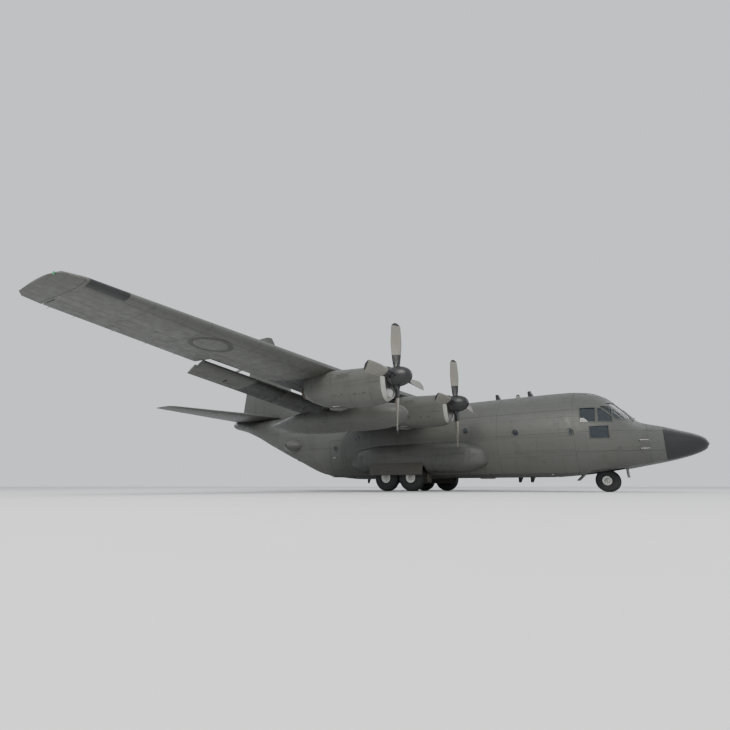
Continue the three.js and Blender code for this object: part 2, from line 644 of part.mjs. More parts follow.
// A hinged surface is cut from its fixed surface behind a round hinge line. place turns a pair of
// distance and station, and a height off the surface's middle, into a point.
function hinged(whole, line, place, halfAt) {
  const [a, b] = line;
  const along = (share) => [mix(a[0], b[0], share), mix(a[1], b[1], share)];
  const ends = (extra) => [along(-extra / (b[0] - a[0])), along(1 + extra / (b[0] - a[0]))];
  const block = (extra, ahead) => {
    const [near, far] = ends(extra);
    const { behind, half } = HINGE_TOOL;
    const rings = [-half, half].map((height) => [
      place(near[0], near[1] - ahead, height),
      place(near[0], near[1] + behind, height),
      place(far[0], far[1] + behind, height),
      place(far[0], far[1] - ahead, height),
    ]);
    return loft(rings);
  };
  const tube = (extra, more) => {
    const [near, far] = ends(extra);
    const from = place(near[0], near[1], 0);
    const to = place(far[0], far[1], 0);
    return bar(from, to, halfAt(a) + more, halfAt(b) + more, HINGE_TOOL.sides);
  };
  const pin = bar(...ends(RUN - SEAM).map(([out, station]) => place(out, station, 0)), HINGE_PIN);
  const moving = join(common(whole, block(-RUN, 0)), tube(-RUN, 0), pin);
  const fixed = cut(whole, block(RUN, RUN), tube(RUN, RUN));
  return { moving, fixed };
}

// Main body shells
const outerBody = (from, to) => bodyLoft(from + SEAM, to);
const hollow = bodyLoft(BULKHEAD_BACK, CONE_BULKHEAD, -WALL);
const holdOpening = sideSlab(HOLD_OPENING, -BAY_HALF, BAY_HALF);

// A panel of the shell between stations, heights and sides, smaller all round by a gap
function sidePanel(door, side, gap) {
  const [near, far] = side > 0 ? [PANEL_INNER, REACH.half] : [-REACH.half, -PANEL_INNER];
  return box(door.front + gap, door.back - gap, near, far, door.sill + gap, door.head - gap);
}

function windowPrism({ view, low, high, foot, head }, gap) {
  const [a, b, c, d] = [low + gap, high - gap, foot + gap, head - gap];
  const [inner, outer] = WINDOW_REACH.side;
  if (view === "front") return box(...WINDOW_REACH.front, a, b, c, d);
  if (view === "left") return box(a, b, inner, outer, c, d);
  if (view === "right") return box(a, b, -outer, -inner, c, d);
  return box(a, b, c, d, ...WINDOW_REACH.top);
}

const windowPrisms = (gap) => join(...WINDOWS.map((pane) => windowPrism(pane, gap)));

const parts = [];
function add(name, material, body) {
  parts.push({ name, material, body });
}

// Forward body, with its nose wheel well, crew door and windows
add("radome", BLACK, cut(bodyLoft(0, RADOME_END), bodyLoft(RADOME_ROOM, RADOME_END + 1, -RADOME_WALL)));
const wellBox = (skin) => {
  const half = NOSE_WELL.half + skin;
  return box(NOSE_WELL.front - skin, NOSE_WELL.back + skin, -half, half, UNDER_BELLY, NOSE_WELL.top + skin);
};
const forwardShell = cut(outerBody(RADOME_END, FORWARD_END), hollow);
const wellHousing = common(wellBox(NOSE_WELL.skin), bodyLoft(...NOSE_SPAN, -PANES.lap));
const forwardBody = join(forwardShell, wellHousing);
const crewRod = (radius, inset) => {
  const { out, z } = CREW_HINGE;
  return bar([fore(CREW_DOOR.front + inset), out, z], [fore(CREW_DOOR.back - inset), out, z], radius);
};
add("fuselage_forward", GREY, cut(
  forwardBody, wellBox(0), sidePanel(CREW_DOOR, 1, 0), windowPrisms(0), crewRod(CREW_HINGE.rod + SEAM, 0),
));
const crewPanel = common(forwardShell, sidePanel(CREW_DOOR, 1, RUN));
add("crew_door", GREY, join(crewPanel, crewRod(CREW_HINGE.rod, CREW_HINGE.inset)));
const paneBand = box(PANES.front, PANES.back, -REACH.half, REACH.half, PANES.low, PANES.high);
const linerShell = cut(bodyLoft(...NOSE_SPAN, -WALL - SEAM), bodyLoft(...NOSE_SPAN, -WALL - PANES.liner));
const liner = common(linerShell, paneBand);
const paneShell = cut(bodyLoft(...NOSE_SPAN, -PANES.inset), bodyLoft(...NOSE_SPAN, -WALL - PANES.lap));
add("cockpit_glazing", GLASS, join(liner, common(paneShell, windowPrisms(SEAM))));

// Flight deck with its floor, instrument panel, pedestal and two seats, trimmed to the body's inside
const deckInside = bodyLoft(BULKHEAD_BACK, FORWARD_END - SEAM, -WALL - PANES.liner - SEAM);
const deckFloor = middleBox(DECK, FORWARD_END - SEAM, DECK_FLOOR - DECK.thick, DECK_FLOOR);
const deckPieces = DECK_PIECES.flatMap(({ front, back, out, half, foot, top }) =>
  (out ? [out, -out] : [0]).map((y) =>
    box(front, back, y - half, y + half, DECK_FLOOR + foot, DECK_FLOOR + top)));
add("flight_deck", STEEL, common(join(deckFloor, ...deckPieces), deckInside));

// Wing, cut for its flaps and ailerons
const wingWhole = (side) => wingPiece(side, WING_BREAK + SEAM, SPAN / 2);
const wingRoot = wingPiece(1, 0, WING_BREAK);
const fatWing = join(wingPiece(1, 0, WING_ROOM.reach, SEAM), wingPiece(-1, 0, WING_ROOM.reach, SEAM));
const rootHalf = FLAP_INNER[0] - 0.02;
const sparBack = FLAP_ROOT_NOSE - FLAP_GAP;
const roomBehind = (front, half) => box(front, WING_ROOM.back, -half, half, WING_ROOM.low, REACH.top);
const behindSpar = roomBehind(sparBack, rootHalf);
const spareWing = cut(fatWing, roomBehind(sparBack + SEAM, WING_ROOM.half));
const humpLoft = loft(HUMP.map(({ station, half, foot, top }) => {
  const arch = [];
  for (let i = 0; i <= HUMP_STEPS; i++) {
    const angle = (Math.PI * i) / HUMP_STEPS;
    const across = Math.sign(Math.cos(angle)) * Math.abs(Math.cos(angle)) ** HUMP_SQUARE.across;
    arch.push([fore(station), half * across, foot + (top - foot) * Math.sin(angle) ** HUMP_SQUARE.rise]);
  }
  return arch;
}));
const hump = cut(humpLoft, bodyLoft(...MAIN_SPAN, SEAM));
const centreWing = cut(
  join(wingRoot, wingPiece(-1, 0, WING_BREAK)),
  behindSpar,
  ...[1, -1].map((side) => flapRoom(side, FLAP_INNER[0] - FLAP_GAP, WING_BREAK + FLAP_ROOM.lap)),
);
const innerRails = [1, -1].flatMap((side) => RAILS_INNER.map((out) => rail(side, FLAP_INNER, out)));
add("wing_centre", GREY, join(centreWing, hump, ...innerRails));

// Centre body, with the wheel wells' housings and the side doors
const sideWell = (side, skin) => {
  const [near, far] = [MAIN_WELL.inner - skin, MAIN_WELL.outer];
  const span = side > 0 ? [near, far] : [-far, -near];
  return box(MAIN_WELL.front - skin, MAIN_WELL.back + skin, ...span, UNDER_BELLY, MAIN_WELL.top + skin);
};
const centreShell = cut(outerBody(FORWARD_END, RAMP_HINGE), hollow);
const housings = common(
  join(sideWell(1, WELL_SKIN), sideWell(-1, WELL_SKIN)), bodyLoft(...MAIN_SPAN, -PANES.lap),
);
const centreBody = cut(
  join(centreShell, housings),
  sideWell(1, 0), sideWell(-1, 0),
  sidePanel(SIDE_DOOR, 1, 0), sidePanel(SIDE_DOOR, -1, 0),
  spareWing,
);
add("fuselage_centre", GREY, centreBody);
[1, -1].forEach((side) => {
  const label = side > 0 ? "left" : "right";
  add(`side_door_${label}`, GREY, common(centreShell, sidePanel(SIDE_DOOR, side, SEAM)));
});
const holdInside = bodyLoft(FORWARD_END, RAMP_HINGE, -WALL - SEAM);
const floorSlab = middleBox(FLOOR, FLOOR.back, HOLD_FLOOR - FLOOR_DEPTH, HOLD_FLOOR);
add("cargo_floor", STEEL, common(floorSlab, holdInside));

// Aft body, with the fairings at its sides
const aftShell = cut(outerBody(RAMP_HINGE, LENGTH), hollow, holdOpening);
const sideFairing = (side) => loft(SIDE_FAIRING.map(({ out, front, back, half }) => {
  const middle = (front + back) / 2;
  const reach = (back - front) / 2;
  const ring = [];
  for (let i = 0; i < FAIRING_SIDES; i++) {
    const angle = (2 * Math.PI * i) / FAIRING_SIDES;
    ring.push([fore(middle - reach * Math.cos(angle)), side * out, FAIRING_Z + half * Math.sin(angle)]);
  }
  return ring;
}));
function tailPiece(side, grow = 0) {
  return loft(TAIL.map((row) =>
    foil(row, 0, grow).map(([station, z]) => [fore(station), side * row.out, TAIL_Z + z])));
}
const fatTail = join(tailPiece(1, SEAM), tailPiece(-1, SEAM));
const aftPods = [1, -1].map((side) => cut(sideFairing(side), bodyLoft(RAMP_HINGE, DOOR_HINGE, -WALL / 2)));
add("fuselage_aft", GREY, cut(join(aftShell, ...aftPods), fatTail));

// Outer wings with ailerons
[1, -1].forEach((side) => {
  const label = side > 0 ? "left" : "right";
  const outerRails = RAILS_OUTER.map((out) => rail(side, FLAP_OUTER, out));
  const room = flapRoom(side, WING_BREAK - FLAP_ROOM.lap, FLAP_OUTER[1] + FLAP_ROOM.tip);
  const surface = join(cut(wingWhole(side), room), ...outerRails);
  const [inner, outer] = AILERON_LINE;
  const [innerZ, outerZ] = AILERON_LINE.map(([out, station]) => wingFace(out, station, 0));
  const middleAt = (out) => mix(innerZ, outerZ, (out - inner[0]) / (outer[0] - inner[0]));
  const halfAt = ([out, station]) => wingFace(out, station, 1) - wingFace(out, station, 0);
  const place = (out, station, height) => [fore(station), side * out, middleAt(out) + height];
  const { moving, fixed } = hinged(surface, AILERON_LINE, place, halfAt);
  add(`wing_outer_${label}`, GREY, fixed);
  add(`aileron_${label}`, GREY, moving);
  add(`flap_inner_${label}`, GREY, flap(side, FLAP_INNER, RAILS_INNER));
  add(`flap_outer_${label}`, GREY, flap(side, FLAP_OUTER, RAILS_OUTER));
});

// Tailplane with one elevator on a tube through the tail
const tailHalf = ([out, station]) => foilFace(TAIL, 0, out, station, 1);
const tailSides = [1, -1].map((side) => {
  const place = (out, station, height) => [fore(station), side * out, TAIL_Z + height];
  return hinged(tailPiece(side), ELEVATOR_LINE, place, tailHalf);
});
const elevatorStation = ELEVATOR_LINE[0][1];
const elevatorBar = (radius, reach) =>
  bar([fore(elevatorStation), -reach, TAIL_Z], [fore(elevatorStation), reach, TAIL_Z], radius);
// The tailplane is a skin round one room, which opens into the bore for the elevator's tube
const tailRoom = common(
  join(tailPiece(1, -TAIL_SKIN), tailPiece(-1, -TAIL_SKIN)),
  middleBox(TAIL_ROOM, elevatorStation - TAIL_ROOM.spar, TAIL_ROOM.low, TAIL_ROOM.high),
);
const tubeRoom = middleBox(TUBE_ROOM, elevatorStation, TAIL_Z - TUBE_ROOM.up, TAIL_Z + TUBE_ROOM.up);
const { radius: tubeRadius, play: tubePlay, reach: tubeReach } = ELEVATOR_TUBE;
const tubeBore = elevatorBar(tubeRadius + tubePlay, tubeReach);
add("tailplane", GREY, cut(join(tailSides[0].fixed, tailSides[1].fixed), tubeBore, tailRoom, tubeRoom));
add("elevator", GREY, join(tailSides[0].moving, tailSides[1].moving, elevatorBar(tubeRadius, tubeReach)));

// Fin with its long dorsal fillet, and the rudder
const finPiece = loft(FIN.map((row) => foil(row, 0).map(([station, y]) => [fore(station), y, row.out])));
const dorsal = loft([
  [DORSAL.foot, DORSAL.front, DORSAL.half],
  [DORSAL.top, DORSAL_TOP.front, DORSAL_TOP.half],
].map(([z, front, half]) => {
  const { back, edge } = DORSAL;
  const widest = mix(front, back, DORSAL.widest);
  return [[front, edge], [widest, half], [back, half], [back, -half], [widest, -half], [front, -edge]]
    .map(([station, y]) => [fore(station), y, z]);
}));
const finHalf = ([height, station]) => foilFace(FIN, 0, height, station, 1);
const finPlace = (height, station, y) => [fore(station), y, height];
const finWhole = cut(join(finPiece, dorsal), bodyLoft(RAMP_HINGE, LENGTH, SEAM), fatTail);
const finParts = hinged(finWhole, RUDDER_LINE, finPlace, finHalf);
const finRoomWhole = loft(FIN.map((row) =>
  foil(row, 0, -TAIL_SKIN).map(([station, y]) => [fore(station), y, row.out])));
const finRoomBack = RUDDER_LINE[1][1] - FIN_ROOM.spar;
const finRoom = common(finRoomWhole, middleBox(FIN_ROOM, finRoomBack, FIN_ROOM.low, FIN_ROOM.high));
add("fin", GREY, cut(finParts.fixed, finRoom));
add("rudder", GREY, finParts.moving);

// Ramp and cargo door
const aftBelly = (station) => rowAt(BODY, "station", station).belly;
const rampBack = DOOR_FRONT - RUN;
const rampHinge = { station: RAMP_HINGE + RAMP_PIN.behind, z: aftBelly(RAMP_HINGE) + RAMP_PIN.over };
const rampOutline = [
  [rampHinge.station - RAMP.nose, aftBelly(RAMP_HINGE) + RAMP.over],
  [rampBack, aftBelly(DOOR_FRONT) + RAMP.over],
  [rampBack - RAMP.bevel, aftBelly(DOOR_FRONT) + RAMP.thick],
  [RAMP_HINGE + RUN, HOLD_FLOOR],
  [RAMP_HINGE + RUN, rampHinge.z + RAMP.over],
];
const doorEnd = DOOR_HINGE - DOOR_PIN.ahead;
const frontFoot = aftBelly(DOOR_FRONT) + CARGO_DOOR.front;
const backFoot = aftBelly(DOOR_HINGE) + CARGO_DOOR.back;
const doorPivot = new THREE.Vector3(fore(doorEnd), 0, backFoot + CARGO_DOOR.thick / 2);
const doorOutline = [
  [DOOR_FRONT + RUN, frontFoot],
  [doorEnd, backFoot],
  [doorEnd, backFoot + CARGO_DOOR.thick],
  [DOOR_FRONT + RUN, frontFoot + CARGO_DOOR.thick],
];
const raised = doorOutline.map(([station, z]) => {
  const spot = new THREE.Vector3(fore(station), 0, z).sub(doorPivot);
  spot.applyAxisAngle(new THREE.Vector3(0, -1, 0), THREE.MathUtils.degToRad(CARGO_DOOR.open));
  return spot.add(doorPivot);
});
const rampPivot = new THREE.Vector3(fore(rampHinge.station), 0, rampHinge.z);
const doorRings = [-BAY_HALF + RUN, BAY_HALF - RUN].map((y) => raised.map((spot) => [spot.x, y, spot.z]));
const acrossBay = (spot, radius) => {
  const reach = BAY_HALF - SEAM;
  return bar([spot.x, -reach, spot.z], [spot.x, reach, spot.z], radius, radius, DOOR_PIN.sides);
};
const rampPanel = sideSlab(rampOutline, -BAY_HALF + RUN, BAY_HALF - RUN);
add("ramp", BELLY_GREY, join(rampPanel, acrossBay(rampPivot, RAMP_PIN.radius)));
add("cargo_door", BELLY_GREY, join(loft(doorRings), acrossBay(doorPivot, DOOR_PIN.radius)));

// Engines: nacelle, engine block and propeller
function nacelleLoft(row, side, { out, hub }, shrink) {
  const ring = [];
  for (let i = 0; i < NACELLE_SIDES; i++) {
    const angle = (2 * Math.PI * i) / NACELLE_SIDES;
    const across = Math.sign(Math.cos(angle)) * Math.abs(Math.cos(angle)) ** NACELLE_SQUARE;
    const rise = Math.sign(Math.sin(angle)) * Math.abs(Math.sin(angle)) ** NACELLE_SQUARE;
    const reach = (rise > 0 ? row.up : row.down) - shrink;
    ring.push([fore(row.station), side * out + (row.half - shrink) * across, hub + reach * rise]);
  }
  return ring;
}

function blade(centre, turn) {
  const rings = BLADE.map(({ radius, chord, thick, angle }) => {
    const lean = THREE.MathUtils.degToRad(angle);
    return BLADE_SECTION.map(([along, off]) => {
      const [a, b] = [along * chord, off * thick];
      const ahead = a * Math.sin(lean) + b * Math.cos(lean);
      const across = a * Math.cos(lean) - b * Math.sin(lean);
      const flat = new THREE.Vector3(ahead, across, radius);
      flat.applyAxisAngle(new THREE.Vector3(1, 0, 0), turn);
      return flat.add(centre).toArray();
    });
  });
  return loft(rings);
}

const wingTool = (side, [from, to]) => wingPiece(side, from, to, SEAM);
let engineNumber = 0;
[[1, 1], [1, 0], [-1, 0], [-1, 1]].forEach(([side, place]) => {
  engineNumber += 1;
  const engine = ENGINES[place];
  const { hub } = engine;
  const y = side * engine.out;
  const under = ({ front, back, half, low, high }) =>
    box(front, back, y - half, y + half, hub - low, hub - high);
  const roomRows = rowsBetween(NACELLE, "station", ...NACELLE_ROOM);
  const shell = loft(NACELLE.map((row) => nacelleLoft(row, side, engine, 0)));
  const room = loft(roomRows.map((row) => nacelleLoft(row, side, engine, NACELLE_SKIN)));
  const low = hub - EXHAUST.drop;
  const exhaust = bar([fore(EXHAUST.front), y, low], [fore(EXHAUST.back), y, low], EXHAUST.radius);
  const pipe = bar([fore(EXHAUST.front), y, low], [fore(PIPE.back), y, low], PIPE.radius);
  const boss = bar([fore(BOSS.front), y, hub], [fore(SPINNER_BACK + SEAM), y, hub], BOSS.radius);
  const wing = wingTool(side, place === 0 ? INNER_WING_TOOL : OUTER_WING_TOOL);
  add(`nacelle_${engineNumber}`, GREY, cut(join(shell, boss, pipe), room, under(INTAKE), exhaust, wing));
  const drop = rowAt(NACELLE, "station", NACELLE_DEEPEST).down - NACELLE_SKIN;
  const foot = under({ ...ENGINE_FOOT, low: drop + ENGINE_FOOT.under, high: drop - ENGINE_FOOT.over });
  const grown = loft(roomRows.map((row) => nacelleLoft(row, side, engine, NACELLE_SKIN + SEAM)));
  add(`engine_${engineNumber}`, STEEL, common(join(foot, under(ENGINE_BLOCK)), grown));
  const spinner = podShape(SPINNER, y, hub, 16);
  const centre = new THREE.Vector3(fore(PROP_PLANE), y, hub);
  const blades = [0, 1, 2, 3].map((k) => blade(centre, (k * Math.PI) / 2));
  add(`propeller_${engineNumber}`, BLACK, join(spinner, ...blades));
});

// External tanks on their pylons
[1, -1].forEach((side) => {
  const label = side > 0 ? "left" : "right";
  const y = side * TANK.out;
  const nose = TANK_NOSE_SHARES.map((share) => {
    const back = TANK.nose * (1 - Math.sqrt(1 - share ** 2));
    return [TANK.radius * share, TANK.front + back];
  });
  const tank = podShape([...nose, ...TANK_TAIL], y, TANK.z, 24);
  const { front, back, half } = PYLON;
  const [shoulder, waist] = [front + PYLON.noseLength, back - PYLON.tailLength];
  const outline = [[front, 0], [shoulder, half], [waist, half], [back, 0], [waist, -half], [shoulder, -half]];
  const pylon = planSlab(outline.map(([station, off]) => [station, y + off]), TANK.z, wingLift(TANK.out));
  add(`tank_${label}`, GREY, join(tank, cut(pylon, wingTool(side, OUTER_WING_TOOL))));
});

// Sponsons, legs, wheels and doors of the main gear
function sponsonLoft(side, grow = 0) {
  return loft(SPONSON.map(({ station, out, top, bottom }) => {
    const middle = (top + bottom) / 2;
    const ring = [];
    for (let i = 0; i <= SPONSON_STEPS; i++) {
      const angle = (Math.PI * i) / SPONSON_STEPS - Math.PI / 2;
      const across = Math.abs(Math.cos(angle)) ** SPONSON_SQUARE;
      const rise = Math.sign(angle) * Math.abs(Math.sin(angle)) ** SPONSON_SQUARE;
      const y = SPONSON_INNER + (out + grow - SPONSON_INNER) * across;
      ring.push([fore(station), side * y, middle + ((top - bottom) / 2 + grow) * rise]);
    }
    return ring;
  }));
}

[1, -1].forEach((side) => {
  const label = side > 0 ? "left" : "right";
  const sponson = cut(sponsonLoft(side), bodyLoft(...MAIN_SPAN, SEAM), sideWell(side, 0));
  add(`sponson_${label}`, GREY, sponson);
  const struts = MAIN_WHEEL.stations.map((station) => {
    const [x, y] = [fore(station), side * STRUT.out];
    const upright = bar([x, y, STRUT.foot], [x, y, MAIN_WELL.top - SEAM], STRUT.radius);
    const axle = bar([x, y, MAIN_WHEEL.radius], [x, side * AXLE_END, MAIN_WHEEL.radius], MAIN_AXLE);
    return join(upright, axle);
  });
  const beamEnds = MAIN_WHEEL.stations.map((station) => [fore(station), side * STRUT.out, WHEEL_BEAM.z]);
  const beam = bar(...beamEnds, WHEEL_BEAM.radius);
  add(`main_leg_${label}`, WHITE, join(...struts, beam));
  MAIN_WHEEL.stations.forEach((station, i) => {
    const { radius, width, rim, out } = MAIN_WHEEL;
    const half = width / 2;
    const centre = [fore(station), side * out, radius];
    const bead = [rim + SEAM, half * TYRE_BEAD];
    const outerHalf = TYRE_SECTION.map(([r, along]) => [radius * r, half * along]);
    const flipped = (points) => points.map(([r, along]) => [r, -along]);
    const tyre = [...flipped([bead, ...outerHalf]), ...outerHalf.reverse(), bead, ...flipped([bead])];
    const bore = (MAIN_AXLE + SEAM) / Math.cos(Math.PI / WHEEL_SIDES);
    const section = RIM_SECTION.map(([r, along]) => [rim * r, half * along]);
    const foot = [bore, section[0][1]];
    const hub = [foot, ...section, [bore, section.at(-1)[1]], foot];
    const end = ["front", "rear"][i];
    const facing = side > 0 ? hub : flipped(hub);
    add(`main_tyre_${end}_${label}`, RUBBER, wheelShape(tyre, centre, WHEEL_SIDES));
    add(`main_rim_${end}_${label}`, WHITE, wheelShape(facing, centre, WHEEL_SIDES));
  });
  const slab = (outline) => loft([MAIN_WELL.front + 0.05, MAIN_WELL.back - 0.05].map((station) =>
    outline.map(([y, z]) => [fore(station), side * y, z])));
  const around = bodyLoft(...MAIN_SPAN, SEAM);
  add(`main_door_inner_${label}`, GREY, cut(slab(MAIN_DOOR_INNER), around, sponsonLoft(side, SEAM)));
  add(`main_door_outer_${label}`, GREY, cut(slab(MAIN_DOOR_OUTER), sponsonLoft(side, SEAM)));
});

// Nose gear
const noseX = fore(NOSE_WHEEL.station);
const braceEnd = [fore(NOSE_WELL.back - LEG.braceBack), 0, NOSE_WELL.top - LEG.braceTop];
const brace = bar([noseX, 0, LEG.braceFoot], braceEnd, LEG.brace);
const legTop = NOSE_WELL.top - SEAM;
const legPlate = middleBox(LEG_PLATE, NOSE_WELL.back - SEAM, NOSE_WELL.top - LEG_PLATE.thick, legTop);
const upperLeg = bar([noseX, 0, LEG.foot], [noseX, 0, legTop], LEG.radius);
add("nose_leg", WHITE, join(upperLeg, brace, legPlate));
const forkPost = bar([noseX, 0, NOSE_WHEEL.radius - FORK.under], [noseX, 0, LEG.foot - SEAM], FORK.radius);
const noseAxle = (radius, half) =>
  bar([noseX, -half, NOSE_WHEEL.radius], [noseX, half, NOSE_WHEEL.radius], radius);
add("nose_fork", WHITE, cut(forkPost, noseAxle(NOSE_AXLE + SEAM, FORK.bore)));
const noseTyres = [1, -1].map((side) => {
  const { radius, width, rim, out } = NOSE_WHEEL;
  const half = width / 2;
  const tread = NOSE_SECTION.map(([r, along]) => [radius * r, half * along]);
  const outerHalf = [[0, half * NOSE_HUB], [rim, half * NOSE_BEAD], ...tread];
  const profile = [...outerHalf.map(([r, along]) => [r, -along]), ...outerHalf.reverse()];
  return wheelShape(profile, [noseX, side * out, radius], 20);
});
add("nose_wheels", RUBBER, join(...noseTyres, noseAxle(NOSE_AXLE, NOSE_WHEEL.out)));
// A hanging door over the whole width: stations of its foot and root, height of the foot
function noseDoor(name, footStation, rootStation, bellyStation, { foot, thick, half }) {
  const top = rowAt(BODY, "station", bellyStation).belly + NOSE_DOOR_TOP;
  const outline = [
    [footStation, foot], [footStation + thick, foot], [rootStation + thick, top], [rootStation, top],
  ];
  add(name, GREY, cut(sideSlab(outline, -half, half), bodyLoft(...NOSE_SPAN, SEAM)));
}
const noseDoorFoot = NOSE_WELL.front - NOSE_DOOR_FRONT.ahead;
const noseDoorRoot = noseDoorFoot + NOSE_DOOR_FRONT.lean;
noseDoor("nose_door_front", noseDoorFoot, noseDoorRoot, NOSE_WELL.front, NOSE_DOOR_FRONT);
noseDoor(
  "nose_door_rear", NOSE_WELL.back + NOSE_DOOR_REAR.behind, NOSE_WELL.back + NOSE_DOOR_REAR.root,
  NOSE_WELL.back, NOSE_DOOR_REAR,
);

const plane = new THREE.Group();
parts.forEach(({ name, material, body }) => {
  const { numProp, vertProperties, triVerts } = body.getMesh();
  const geometry = new THREE.BufferGeometry();
  const points = [];
  for (let i = 0; i < vertProperties.length; i += numProp) {
    points.push(vertProperties[i], vertProperties[i + 1], vertProperties[i + 2]);
  }
  geometry.setAttribute("position", new THREE.Float32BufferAttribute(points, 3));
  geometry.setIndex([...triVerts]);
  geometry.computeVertexNormals();
  const mesh = new THREE.Mesh(geometry, material);
  mesh.name = name;
  plane.add(mesh);
});
plane.scale.setScalar(MODEL_MM);

export default plane;
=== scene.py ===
"""Dresses a four-engined military transport plane, a 1:2 scale model on its wheels.

The tables hold metres of the full-size aeroplane, and SCALE turns them into the model's metres.
A station is a distance behind the nose tip. +X points forward, +Y to the left wing and +Z up,
and side is 1 on the left and -1 on the right.
"""

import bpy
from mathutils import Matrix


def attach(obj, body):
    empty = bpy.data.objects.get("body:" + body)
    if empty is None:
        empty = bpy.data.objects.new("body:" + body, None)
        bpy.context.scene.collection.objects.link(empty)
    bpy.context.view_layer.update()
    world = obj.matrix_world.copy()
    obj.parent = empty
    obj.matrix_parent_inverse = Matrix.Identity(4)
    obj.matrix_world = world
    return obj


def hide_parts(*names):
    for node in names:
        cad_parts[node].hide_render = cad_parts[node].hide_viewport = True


bl_info = {
    "name": "Transport Plane Dresser",
    "version": (1, 0, 0),
    "blender": (4, 5, 0),
    "location": "3D View > Sidebar > Plane",
    "description": "Builds the skins, fittings and stage of a model transport plane around its CAD frame",
    "category": "Add Mesh",
}

from itertools import product
from math import acos, atan2, ceil, copysign, cos, pi, radians, sin, sqrt, tan, tau

import bpy
import numpy as np
from mathutils import Matrix, Vector

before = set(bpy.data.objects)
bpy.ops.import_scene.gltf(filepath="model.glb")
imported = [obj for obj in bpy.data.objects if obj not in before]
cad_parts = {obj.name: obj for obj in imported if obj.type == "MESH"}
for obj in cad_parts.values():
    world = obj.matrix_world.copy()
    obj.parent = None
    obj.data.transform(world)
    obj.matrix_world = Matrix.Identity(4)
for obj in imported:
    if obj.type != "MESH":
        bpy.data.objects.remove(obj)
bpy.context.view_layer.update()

SIDES = ((1, "left"), (-1, "right"))
SCALE = 0.5
ON_AXIS = 0.0004  # radius of a turned piece's point
BLUNT = 0.013  # a turned end under this radius is left open
LENGTH = 29.79
SPAN = 40.41
SEAM = 0.0008  # air between pieces that meet
RUN = 0.014  # air round the ramp and the rear door
WALL = 0.11  # depth of the body's skin

# Stations of the body's joints, heights of its floors and half the width of its rear opening
RADOME_END = 1.55
FORWARD_END = 6.4
RAMP_HINGE = 18.7
DOOR_FRONT = 21.8
DOOR_HINGE = 25.85
CONE_BULKHEAD = 28.6
HOLD_FLOOR = 1.03
DECK_FLOOR = 2.15
BAY_HALF = 1.515


def table(columns, rows):
    """Rows of numbers as dicts with named columns."""
    names = columns.split()
    return [dict(zip(names, map(float, row))) for row in rows]


BODY = table("station half wide top crease crease_z belly", [
    (0.0, 0.03, 2.0, 2.03, 0.02, 1.98, 1.97),
    (0.1, 0.24, 2.0, 2.22, 0.12, 1.81, 1.78),
    (0.4, 0.43, 2.0, 2.4, 0.22, 1.64, 1.61),
    (0.9, 0.62, 2.02, 2.58, 0.33, 1.48, 1.44),
    (RADOME_END, 0.84, 2.05, 2.8, 0.45, 1.33, 1.28),
    (2.4, 1.28, 2.15, 3.05, 0.75, 1.2, 1.12),
    (3.05, 1.6, 2.3, 3.72, 1.0, 1.12, 1.0),
    (3.7, 1.85, 2.42, 4.33, 1.22, 1.03, 0.91),
    (4.4, 2.03, 2.5, 4.6, 1.42, 0.93, 0.82),
    (5.2, 2.16, 2.56, 4.7, 1.55, 0.84, 0.74),
    (FORWARD_END, 2.16, 2.56, 4.72, 1.55, 0.84, 0.67),
    (17.6, 2.16, 2.56, 4.72, 1.55, 0.84, 0.67),
    (RAMP_HINGE, 2.16, 2.6, 4.73, 1.6, 0.87, 0.76),
    (DOOR_FRONT, 2.12, 2.95, 4.78, 1.6, 1.93, 1.85),
    (24.0, 1.9, 3.5, 4.9, 1.6, 2.88, 2.81),
    (DOOR_HINGE, 1.74, 4.02, 5.02, 1.5, 3.68, 3.62),
    (27.2, 1.32, 4.36, 5.12, 1.0, 4.05, 3.98),
    (28.4, 0.95, 4.58, 5.2, 0.6, 4.32, 4.28),
    (29.2, 0.66, 4.72, 5.2, 0.4, 4.5, 4.46),
    (29.6, 0.42, 4.8, 5.1, 0.25, 4.64, 4.61),
    (LENGTH, 0.08, 4.86, 4.93, 0.05, 4.81, 4.8),
])

WING_BREAK = 5.6
FOIL_COLUMNS = "out lead trail thick angle"
WING = table(FOIL_COLUMNS, [
    (0, 11.82, 16.7, 0.18, 3),
    (WING_BREAK, 11.82, 16.69, 0.18, 3),
    (19.6, 12.23, 14.85, 0.12, 0.3),
    (20.05, 12.35, 14.72, 0.09, 0.2),
    (SPAN / 2, 12.75, 14.45, 0.03, 0),
])
WING_Z = 4.47
WING_PIVOT = 0.35
WING_CAMBER = 0.02
DIHEDRAL = radians(2.5)
TAIL_Z = 5.03
TAIL = table(FOIL_COLUMNS, [
    (0, 24.63, 29.2, 0.11, 0),
    (7.5, 26.47, 28.2, 0.1, 0),
    (7.85, 26.62, 28.12, 0.07, 0),
    (8.0, 26.95, 27.95, 0.03, 0),
])
FIN = table(FOIL_COLUMNS, [
    (4.6, 22.9, 29.2, 0.1, 0),
    (5.5, 23.3, 29.1, 0.105, 0),
    (11.1, 26.1, 28.34, 0.1, 0),
    (11.5, 26.35, 28.28, 0.08, 0),
    (11.66, 26.8, 28.1, 0.03, 0),
])

